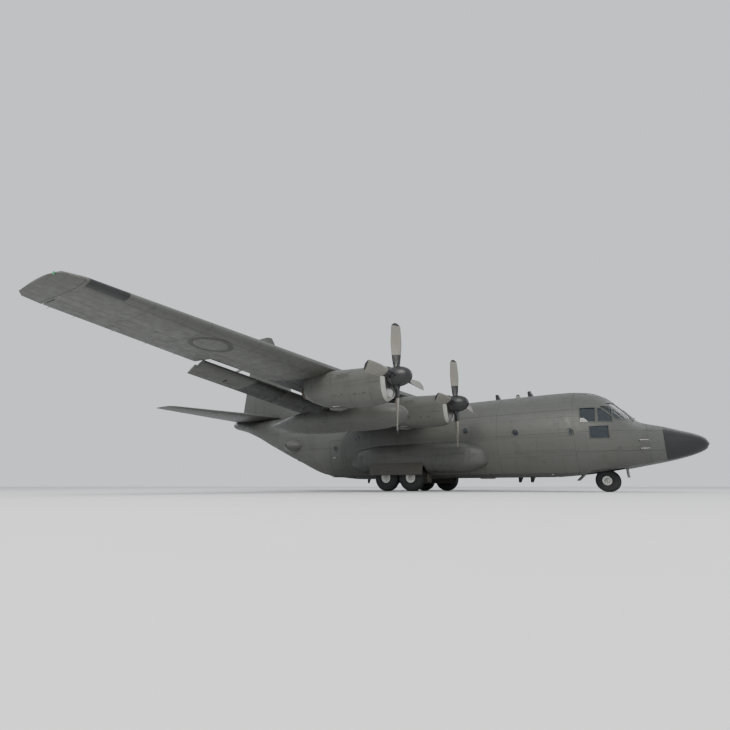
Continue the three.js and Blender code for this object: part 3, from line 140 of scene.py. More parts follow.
FLAP_ROOT_NOSE = 15.38
FLAP_END_NOSE = 14.55
FLAP_INNER = (2.28, WING_BREAK - 0.05)
FLAP_OUTER = (WING_BREAK + 0.02, 13.98)
LIP = 0.52
LIP_THICK = 0.045
TRACK_RADIUS = 1.7
TRACK_BACK = 0.05
FLAP_HALF_DOWN = radians(17)
RAIL = {"radius": 1.82, "depth": 0.07, "half": 0.03, "ahead": 5, "behind": 30}
RAILS = {FLAP_INNER: (2.9, 4.4), FLAP_OUTER: (7.0, 12.4)}
AILERON_LINE = ((14.16, 14.68), (19.5, 14.12))
ELEVATOR_LINE = ((1.3, 27.6), (7.55, 27.6))
RUDDER_LINE = ((5.62, 27.62), (11.05, 27.4))
ELEVATOR_TUBE = 0.06
HINGE_PIN = 0.03

# distance out and height of the inner and the outer engines
ENGINES = ((5.0, 3.85), (10.2, 4.08))
# number, side, and whether it is an inner one
ENGINE_PLACES = ((1, 1, False), (2, 1, True), (3, -1, True), (4, -1, False))
NACELLE_FRONT = 9.4
NACELLE = table("station half up down", [
    (NACELLE_FRONT, 0.42, 0.42, 0.8),
    (9.7, 0.49, 0.47, 0.92),
    (10.6, 0.51, 0.52, 0.97),
    (12.0, 0.51, 0.6, 0.88),
    (12.9, 0.47, 0.62, 0.62),
    (13.3, 0.34, 0.62, 0.42),
])
EXHAUST_RADIUS = 0.22
EXHAUST_DROP = 0.12
PROP_RADIUS = 2.055
PROP_PLANE = 9.12
SPINNER_TIP = 8.5
SPINNER_BACK = 9.3
SPINNER_RADIUS = 0.37
BLADE = table("radius chord thick angle", [
    (0.2, 0.2, 0.2, 60),
    (0.75, 0.34, 0.12, 50),
    (1.4, 0.45, 0.06, 34),
    (1.95, 0.43, 0.04, 24),
    (PROP_RADIUS, 0.36, 0.03, 23),
])
TANK_OUT, TANK_Z, TANK_FRONT, TANK_BACK, TANK_RADIUS = 7.75, 3.15, 10.05, 17.8, 0.57
PYLON_FRONT, PYLON_BACK, PYLON_HALF = 12.3, 14.6, 0.1

MAIN_RADIUS, MAIN_WIDTH, MAIN_RIM, MAIN_OUT = 0.71, 0.51, 0.28, 2.175
MAIN_STATIONS = (12.99, 14.51)
NOSE_RADIUS, NOSE_WIDTH, NOSE_RIM, NOSE_OUT, NOSE_STATION = 0.495, 0.33, 0.2, 0.28, 3.98
MAIN_WELL = {"front": 12.1, "back": 15.4, "inner": 1.66, "outer": 2.47, "top": 1.85}
NOSE_WELL = {"front": 3.2, "back": 4.78, "half": 0.72, "top": 1.72}
STRUT_OUT = 1.785
MAIN_AXLE, NOSE_AXLE = 0.07, 0.045
LEG_FOOT = 0.86
SPONSON_INNER = 1.5
SPONSON = table("station out top bottom", [
    (8.75, 1.7, 1.75, 1.5),
    (9.1, 2.24, 2.15, 1.18),
    (10.2, 2.57, 2.5, 0.94),
    (15.0, 2.57, 2.5, 0.94),
    (16.2, 2.42, 2.35, 1.02),
    (17.2, 1.9, 1.95, 1.3),
])
CREW_DOOR = {"front": 5.3, "back": 6.1, "sill": 1.12, "head": 2.3}
CREW_HINGE_OUT, CREW_HINGE_Z = 1.745, 1.127
SIDE_DOOR = {"front": 17.68, "back": 18.58, "sill": 1.14, "head": 2.92}
RAMP_THICK, CARGO_DOOR_THICK, CARGO_DOOR_OPEN = 0.2, 0.18, radians(25.5)
HUMP = table("station half foot top", [
    (10.9, 0.6, 4.4, 4.68),
    (11.8, 1.6, 4.2, 4.86),
    (13.5, 2.05, 4.0, 5.02),
    (15.5, 2.2, 4.0, 4.96),
    (16.8, 2.05, 4.1, 4.84),
    (18.2, 1.2, 4.4, 4.74),
])
# view, and two spans in it: front is left and height, side is station and height, top is station and left
WINDOWS = [("front", -0.36, 0.36, 3.2, 4.02)]
for low, high, foot, head in ((0.44, 1.02, 3.16, 3.92), (1.1, 1.42, 3.12, 3.72)):
    WINDOWS += [("front", low, high, foot, head), ("front", -high, -low, foot, head)]
for span in ((3.34, 3.86, 3.0, 3.62), (3.96, 4.56, 3.0, 3.66), (3.5, 4.22, 2.28, 2.8)):
    WINDOWS += [("left", *span), ("right", *span)]
WINDOWS += [("top", 3.92, 4.42, 0.2, 0.78), ("top", 3.92, 4.42, -0.78, -0.2)]


# Numbers

def fore(station):
    """The x of a station."""
    return LENGTH / 2 - station


def at(station, y, z):
    """A point given by its station, its distance to the left and its height."""
    return fore(station), y, z


def mix(a, b, share):
    return a + (b - a) * share


def turns(count):
    """Angles evenly round a circle."""
    return [tau * i / count for i in range(count)]


def signed_power(value, power):
    """A power of a number's size that keeps its sign."""
    return copysign(abs(value) ** power, value)


def first_column(rows):
    key = next(iter(rows[0]))
    return [row[key] for row in rows]


def row_at(rows, place):
    """A row mixed straight between its neighbours, found by the first column."""
    after = next((i for i, start in enumerate(first_column(rows)) if start >= place), len(rows) - 1)
    low, high = rows[max(0, after - 1)], rows[max(1, after)]
    key = next(iter(low))
    share = (place - low[key]) / (high[key] - low[key])
    return {name: mix(low[name], high[name], share) for name in low}


def smooth_at(rows, place):
    """A row on a smooth curve through all the rows that never overshoots them."""
    xs = np.array(first_column(rows))
    i = int(np.clip(np.searchsorted(xs, place) - 1, 0, len(xs) - 2))
    width = xs[i + 1] - xs[i]
    t = (place - xs[i]) / width
    made = {}
    for name in rows[0]:
        ys = np.array([row[name] for row in rows])
        slopes = np.diff(ys) / np.diff(xs)

        def bend(k):
            if k == 0:
                return slopes[0]
            if k == len(xs) - 1:
                return slopes[-1]
            a, b = slopes[k - 1], slopes[k]
            return 0.0 if a * b <= 0 else 2 * a * b / (a + b)

        low, high = bend(i) * width, bend(i + 1) * width
        made[name] = ((2 * t**3 - 3 * t**2 + 1) * ys[i] + (t**3 - 2 * t**2 + t) * low
                      + (3 * t**2 - 2 * t**3) * ys[i + 1] + (t**3 - t**2) * high)
    return {**made, next(iter(made)): place}


def places(start, end, stops, step):
    """Places from start to end, through the stops between them, no further apart than step."""
    between = {round(float(s), 4) for s in stops if start + 1e-3 < s < end - 1e-3}
    keys = [start, *sorted(between), end]
    made = []
    for a, b in zip(keys, keys[1:]):
        count = max(1, ceil((b - a) / step - 1e-6))
        made += [a + (b - a) * i / count for i in range(count)]
    return [*made, end]


# Meshes and booleans

def linked(name, data):
    made = bpy.data.objects.new(name, data)
    bpy.context.scene.collection.objects.link(made)
    return made


def solid(name, points, faces, paint=None, attributes=()):
    """A mesh object from points in full-size metres.

    paint is a key of PAINTS, and attributes are pairs of a name and a value for each point.
    """
    mesh = bpy.data.meshes.new(name)
    mesh.from_pydata([tuple(SCALE * c for c in p) for p in points], [], faces)
    for key, values in attributes:
        mesh.attributes.new(key, "FLOAT", "POINT").data.foreach_set("value", np.array(values, np.float32))
    made = linked(name, mesh)
    if paint:
        mesh.materials.append(PAINTS[paint])
    outward(made)
    return made


def outward(made):
    """Turns a closed mesh's faces outwards, by the sign of its volume."""
    mesh = made.data
    mesh.calc_loop_triangles()
    corners = np.array([v.co for v in mesh.vertices])
    if not len(corners):
        return
    tris = np.array([t.vertices for t in mesh.loop_triangles])
    a, b, c = (corners[tris[:, k]] for k in range(3))
    if np.einsum("ij,ij->i", a, np.cross(b, c)).sum() < 0:
        mesh.flip_normals()


def loft(rings, paint=None, name="loft", closed=False, attributes=()):
    """A closed body through rings of equally many points. A closed one joins its last ring to its first."""
    around, count = len(rings[0]), len(rings)
    faces = []
    for r in range(count if closed else count - 1):
        low, high = r * around, ((r + 1) % count) * around
        for i in range(around):
            j = (i + 1) % around
            faces.append((low + i, low + j, high + j, high + i))
    if not closed:
        faces.append(tuple(reversed(range(around))))
        faces.append(tuple(range((count - 1) * around, count * around)))
    return solid(name, [p for ring in rings for p in ring], faces, paint, attributes)


def applied(made):
    """A new mesh of an object with its modifiers."""
    graph = bpy.context.evaluated_depsgraph_get()
    return bpy.data.meshes.new_from_object(made.evaluated_get(graph))


def boolean(operation, target, *tools):
    """target changed by the tools, which are used up. A bare tool leaves faces in its first paint."""
    for tool in tools:
        if not tool.data.materials and target.data.materials:
            tool.data.materials.append(target.data.materials[0])
        modifier = target.modifiers.new("boolean", "BOOLEAN")
        modifier.operation = operation
        modifier.solver = "MANIFOLD"
        modifier.material_mode = "TRANSFER"
        modifier.object = tool
    mesh = applied(target)
    if not len(mesh.polygons):
        raise RuntimeError(f"nothing is left of {target.name} after {operation}")
    target.modifiers.clear()
    old, target.data = target.data, mesh
    bpy.data.meshes.remove(old)
    for tool in tools:
        discard(tool)
    return target


def cut(target, *tools):
    return boolean("DIFFERENCE", target, *tools)


def union(target, *tools):
    return boolean("UNION", target, *tools)


def common(target, *tools):
    return boolean("INTERSECT", target, *tools)


def discard(made):
    mesh = made.data
    bpy.data.objects.remove(made)
    bpy.data.meshes.remove(mesh)


def copy(made):
    return linked(made.name, made.data.copy())


def moved(made, x=0.0, y=0.0, z=0.0):
    """Shifts a mesh by distances in full-size metres."""
    made.data.transform(Matrix.Translation(Vector((x, y, z)) * SCALE))
    return made


def merge(name, parts):
    """Separate bodies as one mesh, with each one's materials."""
    parts = [p for p in parts if p]
    first = parts[0]
    if len(parts) > 1:
        with bpy.context.temp_override(active_object=first, selected_editable_objects=parts, object=first):
            bpy.ops.object.join()
    first.name = name
    first.data.name = name
    return first


def box(front, back, right, left, low, high, paint=None):
    corners = ((front, right), (back, right), (back, left), (front, left))
    return loft([[at(s, y, z) for s, y in corners] for z in (low, high)], paint, "box")


def soft_box(front, back, right, left, low, high, paint=None, edge=0.02, segments=3):
    """A box with rounded edges."""
    return rounded(box(front, back, right, left, low, high, paint), edge, segments)


def rounded(made, edge, segments=2, angle=30):
    bevel = made.modifiers.new("bevel", "BEVEL")
    bevel.width = edge * SCALE
    bevel.segments = segments
    bevel.limit_method = "ANGLE"
    bevel.angle_limit = radians(angle)
    mesh = applied(made)
    made.modifiers.clear()
    made.data = mesh
    return made


def frame_of(direction):
    """Two directions square to a line."""
    line = Vector(direction).normalized()
    side = line.cross(Vector((0, 0, 1)) if abs(line.z) < 0.9 else Vector((0, 1, 0))).normalized()
    return line, side, side.cross(line)


def circle(centre, u, v, radius, sides):
    """Points round a circle in the plane of two directions."""
    return [tuple(centre + (u * cos(a) + v * sin(a)) * radius) for a in turns(sides)]


def bar(start, end, radius, end_radius=None, sides=16, paint=None):
    """A round bar between two points."""
    end_radius = radius if end_radius is None else end_radius
    _, u, v = frame_of(Vector(end) - Vector(start))
    rings = [circle(Vector(spot), u, v, r, sides) for spot, r in ((start, radius), (end, end_radius))]
    return loft(rings, paint, "bar")


def tube(points, radius, sides=8, paint=None):
    """A round bar along many points, for bent pipes and rims."""
    spots = [Vector(p) for p in points]
    rings = []
    line, u, v = frame_of(spots[1] - spots[0])
    for i, spot in enumerate(spots):
        ahead = (spots[min(i + 1, len(spots) - 1)] - spots[max(i - 1, 0)]).normalized()
        turn = line.rotation_difference(ahead)
        line, u, v = ahead, turn @ u, turn @ v
        rings.append(circle(spot, u, v, radius, sides))
    return loft(rings, paint, "tube")


def axis_point(spot):
    """The point on the axis beside a profile's end, if it ends away from the axis."""
    return [(0, spot[1])] if spot[0] > BLUNT else []


def turned(profile, origin, axis, sides=48, paint=None):
    """A body of revolution: pairs of radius and distance along the axis from the origin."""
    line, u, v = frame_of(axis)
    closed = profile[0] == profile[-1]
    if closed:
        profile = profile[:-1]
    else:
        profile = [*axis_point(profile[0]), *profile, *axis_point(profile[-1])]
    rings = [circle(Vector(origin) + line * along, u, v, max(radius, ON_AXIS), sides)
             for radius, along in profile]
    return loft(rings, paint, "turned", closed)


def side_slab(outline, right, left, paint=None):
    """An outline of stations and heights, given depth across the plane."""
    return loft([[at(s, y, z) for s, z in outline] for y in (right, left)], paint, "slab")


def plan_slab(outline, low, high, paint=None):
    """An outline of stations and distances to the left, given depth upwards."""
    return loft([[at(s, y, z) for s, y in outline] for z in (low, high)], paint, "slab")


def piece(made, name, *replaces, smooth=32, body="airframe", slot="grey_paint"):
    """Finishes a piece: its name, smooth faces, the CAD nodes it replaces and the body it rides on."""
    made.name = name
    made.data.name = name
    if smooth:
        made.data.shade_smooth()
        made.data.set_sharp_from_angle(angle=radians(smooth))
    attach(made, body)
    if replaces:
        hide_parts(*replaces)
    return made


# Forms that several pieces share

BELLY_STEPS, LOWER_STEPS, UPPER_STEPS = 6, 10, 20


def body_half(row, grow):
    """Half a body section, from the belly's middle up to the top's middle."""
    half, top, crease = row["half"] + grow, row["top"] + grow, row["crease"] + grow
    crease_z, belly, wide = row["crease_z"] - grow, row["belly"] - grow, row["wide"]
    start = acos(min(1.0, crease / half))
    under = (wide - crease_z) / sin(start)
    points = []
    for i in range(BELLY_STEPS):
        share = i / BELLY_STEPS
        points.append((crease * share, belly + (crease_z - belly) * share**2))
    for i in range(LOWER_STEPS):
        angle = start * (1 - i / LOWER_STEPS)
        points.append((half * cos(angle), wide - under * sin(angle)))
    for i in range(UPPER_STEPS + 1):
        angle = pi / 2 * i / UPPER_STEPS
        points.append((half * cos(angle), wide + (top - wide) * sin(angle)))
    points[-1] = (0.0, points[-1][1])
    return points


def body_ring(station, grow=0.0):
    left = body_half(smooth_at(BODY, station), grow)
    right = [(-y, z) for y, z in reversed(left[1:-1])]
    return [at(station, y, z) for y, z in [*left, *right]]


def body_loft(front, back, grow=0.0, paint=None):
    stops = first_column(BODY)
    step = 0.16 if back < FORWARD_END + 2 or front > 17 else 0.4
    spots = places(front, back, [*stops, *np.arange(0.1, RADOME_END, 0.1)], step)
    return loft([body_ring(s, grow) for s in spots], paint, "body")


def body_half_at(station, z):
    """The body's half width at a height."""
    half = body_half(smooth_at(BODY, station), 0)
    for (y0, z0), (y1, z1) in zip(half, half[1:]):
        if z0 <= z <= z1:
            return mix(y0, y1, (z - z0) / max(z1 - z0, 1e-9))
    return half[-1][0]


def body_top_at(station, y):
    """The height of the body's upper half at a distance to the left or the right."""
    arch = body_half(smooth_at(BODY, station), 0)[-UPPER_STEPS - 1:]
    ys, zs = zip(*reversed(arch))
    return float(np.interp(abs(y), ys, zs))


def body_spot(station, angle):
    """A point of the left skin and the way out of it, at an angle up from the widest line."""
    row = smooth_at(BODY, station)
    half = body_half(row, 0.0)
    angles = [atan2(z - row["wide"], max(y, 1e-6)) for y, z in half]
    i = int(np.clip(np.searchsorted(angles, angle), 1, len(half) - 1))
    share = (angle - angles[i - 1]) / max(angles[i] - angles[i - 1], 1e-9)
    (y0, z0), (y1, z1) = half[i - 1], half[i]
    out = Vector((0, z1 - z0, y0 - y1)).normalized()
    return Vector((fore(station), mix(y0, y1, share), mix(z0, z1, share))), out


def mirrored(vector, side):
    return Vector((vector[0], side * vector[1], vector[2]))


def on_skin(profile, station, angle, side, sides, paint):
    """A body of revolution that stands on the body's skin."""
    spot, out = body_spot(station, angle)
    return turned(profile, mirrored(spot, side), mirrored(out, side), sides, paint)


def foil_half(thick, share):
    return 5 * thick * (0.2969 * sqrt(share) - 0.126 * share - 0.3516 * share**2
                        + 0.2843 * share**3 - 0.1015 * share**4)


FOIL_STEPS = 22
FOIL_EDGE = 0.003


def foil(row, camber, grow=0.0):
    """Pairs of station and height round an aerofoil."""
    chord = row["trail"] - row["lead"]
    slope = tan(radians(row["angle"]))
    points = []
    for i in range(-FOIL_STEPS, FOIL_STEPS + 1):
        share = (1 - cos(pi * i / FOIL_STEPS)) / 2
        side = 1 if i < 0 else -1
        middle = 4 * camber * share * (1 - share) * chord + slope * (WING_PIVOT - share) * chord
        edge = side * max(FOIL_EDGE, foil_half(row["thick"], share) * chord + grow) if i else 0.0
        points.append((row["lead"] + share * chord + grow * (2 * share - 1), middle + edge))
    return points


def rows_between(rows, start, end):
    inside = [row for row in rows if start + 0.001 < row["out"] < end - 0.001]
    return [row_at(rows, start), *inside, row_at(rows, end)]


def wing_lift(out):
    return WING_Z + max(0.0, out - WING_BREAK) * tan(DIHEDRAL)


def wing_piece(side, start, end, grow=0.0, paint=None):
    rows = rows_between(WING, start, end)
    return loft([[at(s, side * row["out"], wing_lift(row["out"]) + z)
                  for s, z in foil(row, WING_CAMBER, grow)] for row in rows], paint, "wing")


def tail_piece(side, grow=0.0, paint=None):
    return loft([[at(s, side * row["out"], TAIL_Z + z) for s, z in foil(row, 0, grow)]
                 for row in rows_between(TAIL, 0.0, TAIL[-1]["out"])], paint, "tail")


def foil_face(rows, camber, out, station, face):
    """Height over the chord's plane of a lofted surface's upper (1) or lower (-1) face or its middle (0)."""
    here = row_at(rows, out)
    share = min(1.0, max(0.0, (station - here["lead"]) / (here["trail"] - here["lead"])))
    after = max(1, next(i for i, row in enumerate(rows) if row["out"] >= out))
    heights = []
    for row in rows[after - 1:after + 1]:
        slope = tan(radians(row["angle"]))
        middle = 4 * camber * share * (1 - share) + slope * (WING_PIVOT - share)
        heights.append((middle + face * foil_half(row["thick"], share)) * (row["trail"] - row["lead"]))
    low, high = rows[after - 1]["out"], rows[after]["out"]
    return mix(*heights, (out - low) / (high - low))


def wing_face(out, station, face):
    return wing_lift(out) + foil_face(WING, WING_CAMBER, out, station, face)


def flap_nose(out):
    return mix(FLAP_ROOT_NOSE, FLAP_END_NOSE, max(0.0, out - WING_BREAK) / (FLAP_OUTER[1] - WING_BREAK))


def flap_room(side, start, end, paint=None):
    """The room that a flap takes out of the wing, under a thin upper lip."""
    rings = []
    for out in (start, end):
        front, lip, back = flap_nose(out) - 0.03, flap_nose(out) + LIP, 17.5
        deep, high = wing_lift(out) - 1.5, wing_lift(out) + 1.5
        outline = [
            (front, deep),
            (front, wing_face(out, front, 1) - LIP_THICK - 0.03),
            (lip, wing_face(out, lip, 1) - LIP_THICK),
            (lip, high), (back, high), (back, deep),
        ]
        rings.append([at(s, side * out, z) for s, z in outline])
    return loft(rings, paint, "flap room")


def flap_track(side, ends):
    """A point on the line that a flap turns about, and the line's direction."""
    def point(out):
        nose = flap_nose(out)
        return Vector((fore(nose + TRACK_BACK), side * out, wing_face(out, nose, -1) - TRACK_RADIUS))
    start = point(ends[0])
    return start, (point(ends[1]) - start).normalized() * -side


def flap_lowered(side, ends, points):
    start, axis = flap_track(side, ends)
    turn = Matrix.Rotation(FLAP_HALF_DOWN, 3, axis)
    return [tuple(turn @ (Vector(p) - start) + start) for p in points]


def rail_sector(side, ends, out, inner, outer, half, start, end, paint=None):
    """A part of a ring about a flap's track line: radii, half width, and angles behind the top."""
    origin, axis = flap_track(side, ends)
    centre = origin + axis * (-side * (out - ends[0]) / abs(axis.y))
    up = (Vector((0, 0, 1)) - axis * axis.z).normalized()
    back = axis.cross(up)
    rings = []
    for degrees in np.arange(start, end + 0.1, 2.5):
        angle = radians(degrees)
        spoke = up * cos(angle) + back * sin(angle)
        rings.append([tuple(centre + spoke * radius + axis * across)
                      for radius, across in ((inner, -half), (inner, half), (outer, half), (outer, -half))])
    return loft(rings, paint, "rail")


def hinged(whole, line, place, half_at):
    """A surface split behind a round hinge line into its moving and its fixed part."""
    a, b = line

    def ends(extra):
        step = extra / (b[0] - a[0])
        return [(mix(a[0], b[0], s), mix(a[1], b[1], s)) for s in (-step, 1 + step)]

    def block(extra, ahead):
        near, far = ends(extra)
        return loft([[place(near[0], near[1] - ahead, h), place(near[0], near[1] + 3, h),
                      place(far[0], far[1] + 3, h), place(far[0], far[1] - ahead, h)] for h in (-1, 1)],
                    None, "block")

    def nose(extra, more):
        near, far = ends(extra)
        return bar(place(*near, 0), place(*far, 0), half_at(a) + more, half_at(b) + more, 40)

    pin = bar(*[place(*spot, 0) for spot in ends(RUN - SEAM)], HINGE_PIN)
    moving = union(common(copy(whole), block(-RUN, 0)), nose(-RUN, 0), pin)
    fixed = cut(whole, block(RUN, RUN), nose(RUN, RUN))
    return moving, fixed


def side_panel(door, side, gap):
    near, far = (0.9, 3) if side > 0 else (-3, -0.9)
    return box(door["front"] + gap, door["back"] - gap, near, far, door["sill"] + gap, door["head"] - gap)


def window_prism(view, low, high, foot, head, gap, paint=None):
    wide, tall = (low + gap, high - gap), (foot + gap, head - gap)
    spans = {"front": (1.9, 3.75, *wide, *tall), "top": (*wide, *tall, 4.2, 5),
             "left": (*wide, 1, 3, *tall), "right": (*wide, -3, -1, *tall)}
    return box(*spans[view], paint)


def grooves(target, inner, *slabs):
    """Thin seams cut into a skin: each group of slabs, less the inner body, is taken out of it."""
    for slab in slabs:
        keep = copy(inner)
        cut(target, cut(slab, keep))
    discard(inner)
    return target


def slabs(boxes):
    """Separate boxes as one cutting mesh."""
    return merge("slabs", [box(*b) for b in boxes])


# Node trees

class Graph:
    """Adds nodes to a tree. A value is a number, a colour, a node's socket or a node."""

    def __init__(self, tree):
        self.tree = tree

    def feed(self, socket, value):
        if value is None:
            return
        if isinstance(value, bpy.types.Node):
            value = value.outputs[0]
        if isinstance(value, bpy.types.NodeSocket):
            self.tree.links.new(value, socket)
        else:
            socket.default_value = value

    def add(self, kind, *values, named=None, **settings):
        node = self.tree.nodes.new(kind)
        for key, value in settings.items():
            setattr(node, key, value)
        for socket, value in zip(node.inputs, values):
            self.feed(socket, value)
        for key, value in (named or {}).items():
            self.feed(node.inputs[key], value)
        return node

    def math(self, operation, *values):
        return self.add("ShaderNodeMath", *values, operation=operation).outputs[0]

    def times(self, *values):
        return self.math("MULTIPLY", *values)

    def plus(self, *values):
        return self.math("ADD", *values)

    def minus(self, *values):
        return self.math("SUBTRACT", *values)

    def size(self, value):
        return self.math("ABSOLUTE", value)

    def vector(self, x, y, z=0.0):
        return self.add("ShaderNodeCombineXYZ", x, y, z).outputs[0]

    def noise(self, vector, scale, detail=4.0, roughness=0.55):
        return self.add("ShaderNodeTexNoise", vector, None, scale, detail, roughness).outputs[0]

    def ramp(self, value, low, high, start=0.0, end=1.0):
        return self.add("ShaderNodeMapRange", value, low, high, start, end,
                        interpolation_type="SMOOTHSTEP").outputs[0]

    def stretch(self, vector, scale):
        return self.add("ShaderNodeMapping", named={"Vector": vector, "Scale": scale}).outputs[0]

    def mix(self, factor, a, b, blend="MIX"):
        node = self.tree.nodes.new("ShaderNodeMix")
        node.data_type = "RGBA"
        node.blend_type = blend
        for index, value in ((0, factor), (6, a), (7, b)):
            self.feed(node.inputs[index], value)
        return node.outputs[2]


def colour_of(value, level=1.0):
    return (value[0] * level, value[1] * level, value[2] * level, 1.0)


def scaled(point):
    return tuple(SCALE * c for c in point)


def new_material(name, roughness, metallic=0.0):
    """A material, its graph, its shader node and its Object coordinates."""
    material = bpy.data.materials.new(name)
    material.use_nodes = True
    graph = Graph(material.node_tree)
    shader = material.node_tree.nodes["Principled BSDF"]
    shader.inputs["Roughness"].default_value = roughness
    shader.inputs["Metallic"].default_value = metallic
    coords = graph.add("ShaderNodeTexCoord").outputs["Object"]
    return material, graph, shader, coords


def bumped(graph, shader, height, distance, strength=0.6):
    bump = graph.add("ShaderNodeBump", named={"Strength": strength, "Distance": distance, "Height": height})
    graph.feed(shader.inputs["Normal"], bump.outputs["Normal"])


def brick_lines(graph, vector, width, height, size, shift=0.5):
    """How much of each point is panel line, and a random grey for each panel."""
    black, white, grey = ((level, level, level, 1) for level in (0, 1, 0.5))
    brick = graph.add("ShaderNodeTexBrick", vector, black, white, grey, 1.0, size, 0.35, 0.0, width, height,
                      offset=shift)
    return brick.outputs["Fac"], brick.outputs["Color"]


def skin_paint(name, colour, layout, line=0.005, dirt=0.5, soot_and_shade=False):
    """Matt paint on riveted sheet. layout says how the sheets run: round, plan, side or plain. soot_and_shade
    adds soot behind the engines and painted shade under the inner wing.
    """
    material, g, shader, coords = new_material(name, 0.5)
    x, y, z = g.add("ShaderNodeSeparateXYZ", coords).outputs[:3]
    if layout == "round":
        girth = g.times(g.math("ARCTAN2", y, g.minus(z, 1.28)), 1.08)
        sheet = g.vector(x, girth)
    else:
        sheet = {"plan": g.vector(y, x), "side": g.vector(x, z), "plain": coords}[layout]
    large, tone = brick_lines(g, sheet, 1.05, 0.44, line)
    small, _ = brick_lines(g, sheet, 0.36, 0.29, line * 0.6, 0.37)
    few = g.ramp(g.noise(coords, 0.9, 1.0), 0.5, 0.56)
    lines = g.math("MAXIMUM", large, g.times(small, g.times(few, 0.6)))
    broad = g.noise(coords, 0.55, 5.0, 0.6)
    fine = g.noise(coords, 9.0, 6.0, 0.65)
    streaks = g.noise(g.stretch(coords, (0.5, 7.0, 7.0)), 1.6, 5.0, 0.6)
    level = g.plus(g.times(tone, 0.09), g.times(broad, 0.3))
    level = g.plus(level, g.times(fine, 0.1))
    level = g.plus(level, g.times(streaks, 0.16))
    base = g.mix(level, colour_of(colour, 0.72), colour_of(colour, 1.28))
    grime_at = g.times(g.ramp(g.noise(coords, 1.7, 7.0, 0.7), 0.5, 0.8), dirt)
    base = g.mix(grime_at, base, (colour[0] * 0.5, colour[1] * 0.46, colour[2] * 0.38, 1))
    run = g.times(g.ramp(g.noise(g.stretch(coords, (0.35, 14, 14)), 1.3, 3.0), 0.58, 0.75), dirt * 0.7)
    base = g.mix(run, base, (colour[0] * 0.42, colour[1] * 0.4, colour[2] * 0.34, 1))
    worn = g.times(g.ramp(large, 0.2, 0.9), g.ramp(g.noise(coords, 24.0, 4.0), 0.62, 0.68))
    base = g.mix(g.times(worn, 0.5), base, colour_of(colour, 2.0))
    if soot_and_shade:
        away = g.size(y)
        total = None
        for middle, near, far in ((2.5, 0.32, 0.62), (5.1, 0.3, 0.62)):
            reach = g.ramp(x, 0.9, -1.0, near, far)
            off = g.minus(reach, g.size(g.minus(away, middle)))
            edge = g.plus(off, g.times(g.minus(fine, 0.5), 0.12))
            mask = g.times(g.ramp(edge, -0.02, 0.06), g.ramp(x, 1.05, 0.8))
            total = mask if total is None else g.math("MAXIMUM", total, mask)
        normal = g.add("ShaderNodeNewGeometry").outputs["Normal"]
        down = g.ramp(g.add("ShaderNodeSeparateXYZ", normal).outputs[2], -0.05, -0.35)
        # painted shade: the underside of the wing inboard of the outer engines is darkened as if it lay in
        # shade
        shade = g.times(g.ramp(away, 5.35, 5.1), 0.6)
        base = g.mix(g.times(shade, down), base, colour_of(colour, 0.32))
        base = g.mix(g.times(g.times(total, down), 0.94), base, (0.009, 0.009, 0.009, 1))
    base = g.mix(g.times(lines, 0.42), base, colour_of(colour, 0.35))
    g.feed(shader.inputs["Base Color"], base)
    g.feed(shader.inputs["Roughness"], g.ramp(fine, 0.2, 0.8, 0.4, 0.64))
    relief = g.minus(g.times(fine, 0.12), lines)
    bumped(g, shader, relief, 0.0025)
    return material


DUST = (0.16, 0.15, 0.13)


def plain_finish(name, colour, roughness, metallic=0.0, grain=30.0, wear=0.15, relief=0.0008):
    """A finish with colour, gloss and relief that vary by noise."""
    material, g, shader, coords = new_material(name, roughness, metallic)
    fine = g.noise(coords, grain, 6.0, 0.6)
    broad = g.noise(coords, grain / 12, 4.0)
    level = g.plus(g.times(fine, 0.5), g.times(broad, 0.5))
    base = g.mix(level, colour_of(colour, 0.76), colour_of(colour, 1.24))
    scuff = g.times(g.ramp(g.noise(coords, grain / 5, 8.0, 0.7), 0.56, 0.7), wear)
    worn = [mix(own, dust, 0.5) for own, dust in zip(colour, DUST)]
    g.feed(shader.inputs["Base Color"], g.mix(scuff, base, (*worn, 1)))
    dull = g.ramp(fine, 0.2, 0.8, max(0.03, roughness - 0.1), min(1.0, roughness + 0.1))
    g.feed(shader.inputs["Roughness"], dull)
    bumped(g, shader, fine, relief, 0.4)
    return material


def blade_paint(name, colour, tip):
    """Propeller blades: a black cuff, a worn grey-tan face and a dark tip, by the attribute reach."""
    material, g, shader, coords = new_material(name, 0.45)
    reach = g.add("ShaderNodeAttribute", attribute_name="reach").outputs["Fac"]
    fine = g.noise(coords, 26.0, 6.0)
    face = g.mix(fine, colour_of(colour, 0.75), colour_of(colour, 1.2))
    black = colour_of(tip)
    base = g.mix(g.ramp(reach, 0.39, 0.4), black, face)
    base = g.mix(g.ramp(reach, 0.945, 0.95), base, black)
    g.feed(shader.inputs["Base Color"], base)
    g.feed(shader.inputs["Roughness"], g.ramp(fine, 0.2, 0.8, 0.35, 0.6))
    bumped(g, shader, fine, 0.0006, 0.3)
    return material


def glass(name, colour, alpha):
    material, g, shader, coords = new_material(name, 0.05)
    smear = g.noise(coords, 5.0, 5.0)
    g.feed(shader.inputs["Base Color"], g.mix(smear, colour_of(colour, 0.8), colour_of(colour, 1.3)))
    g.feed(shader.inputs["Roughness"], g.ramp(smear, 0.3, 0.8, 0.03, 0.12))
    shader.inputs["Alpha"].default_value = alpha
    shader.inputs["Coat Weight"].default_value = 0.4
    bumped(g, shader, smear, 0.0006, 0.1)
    return material


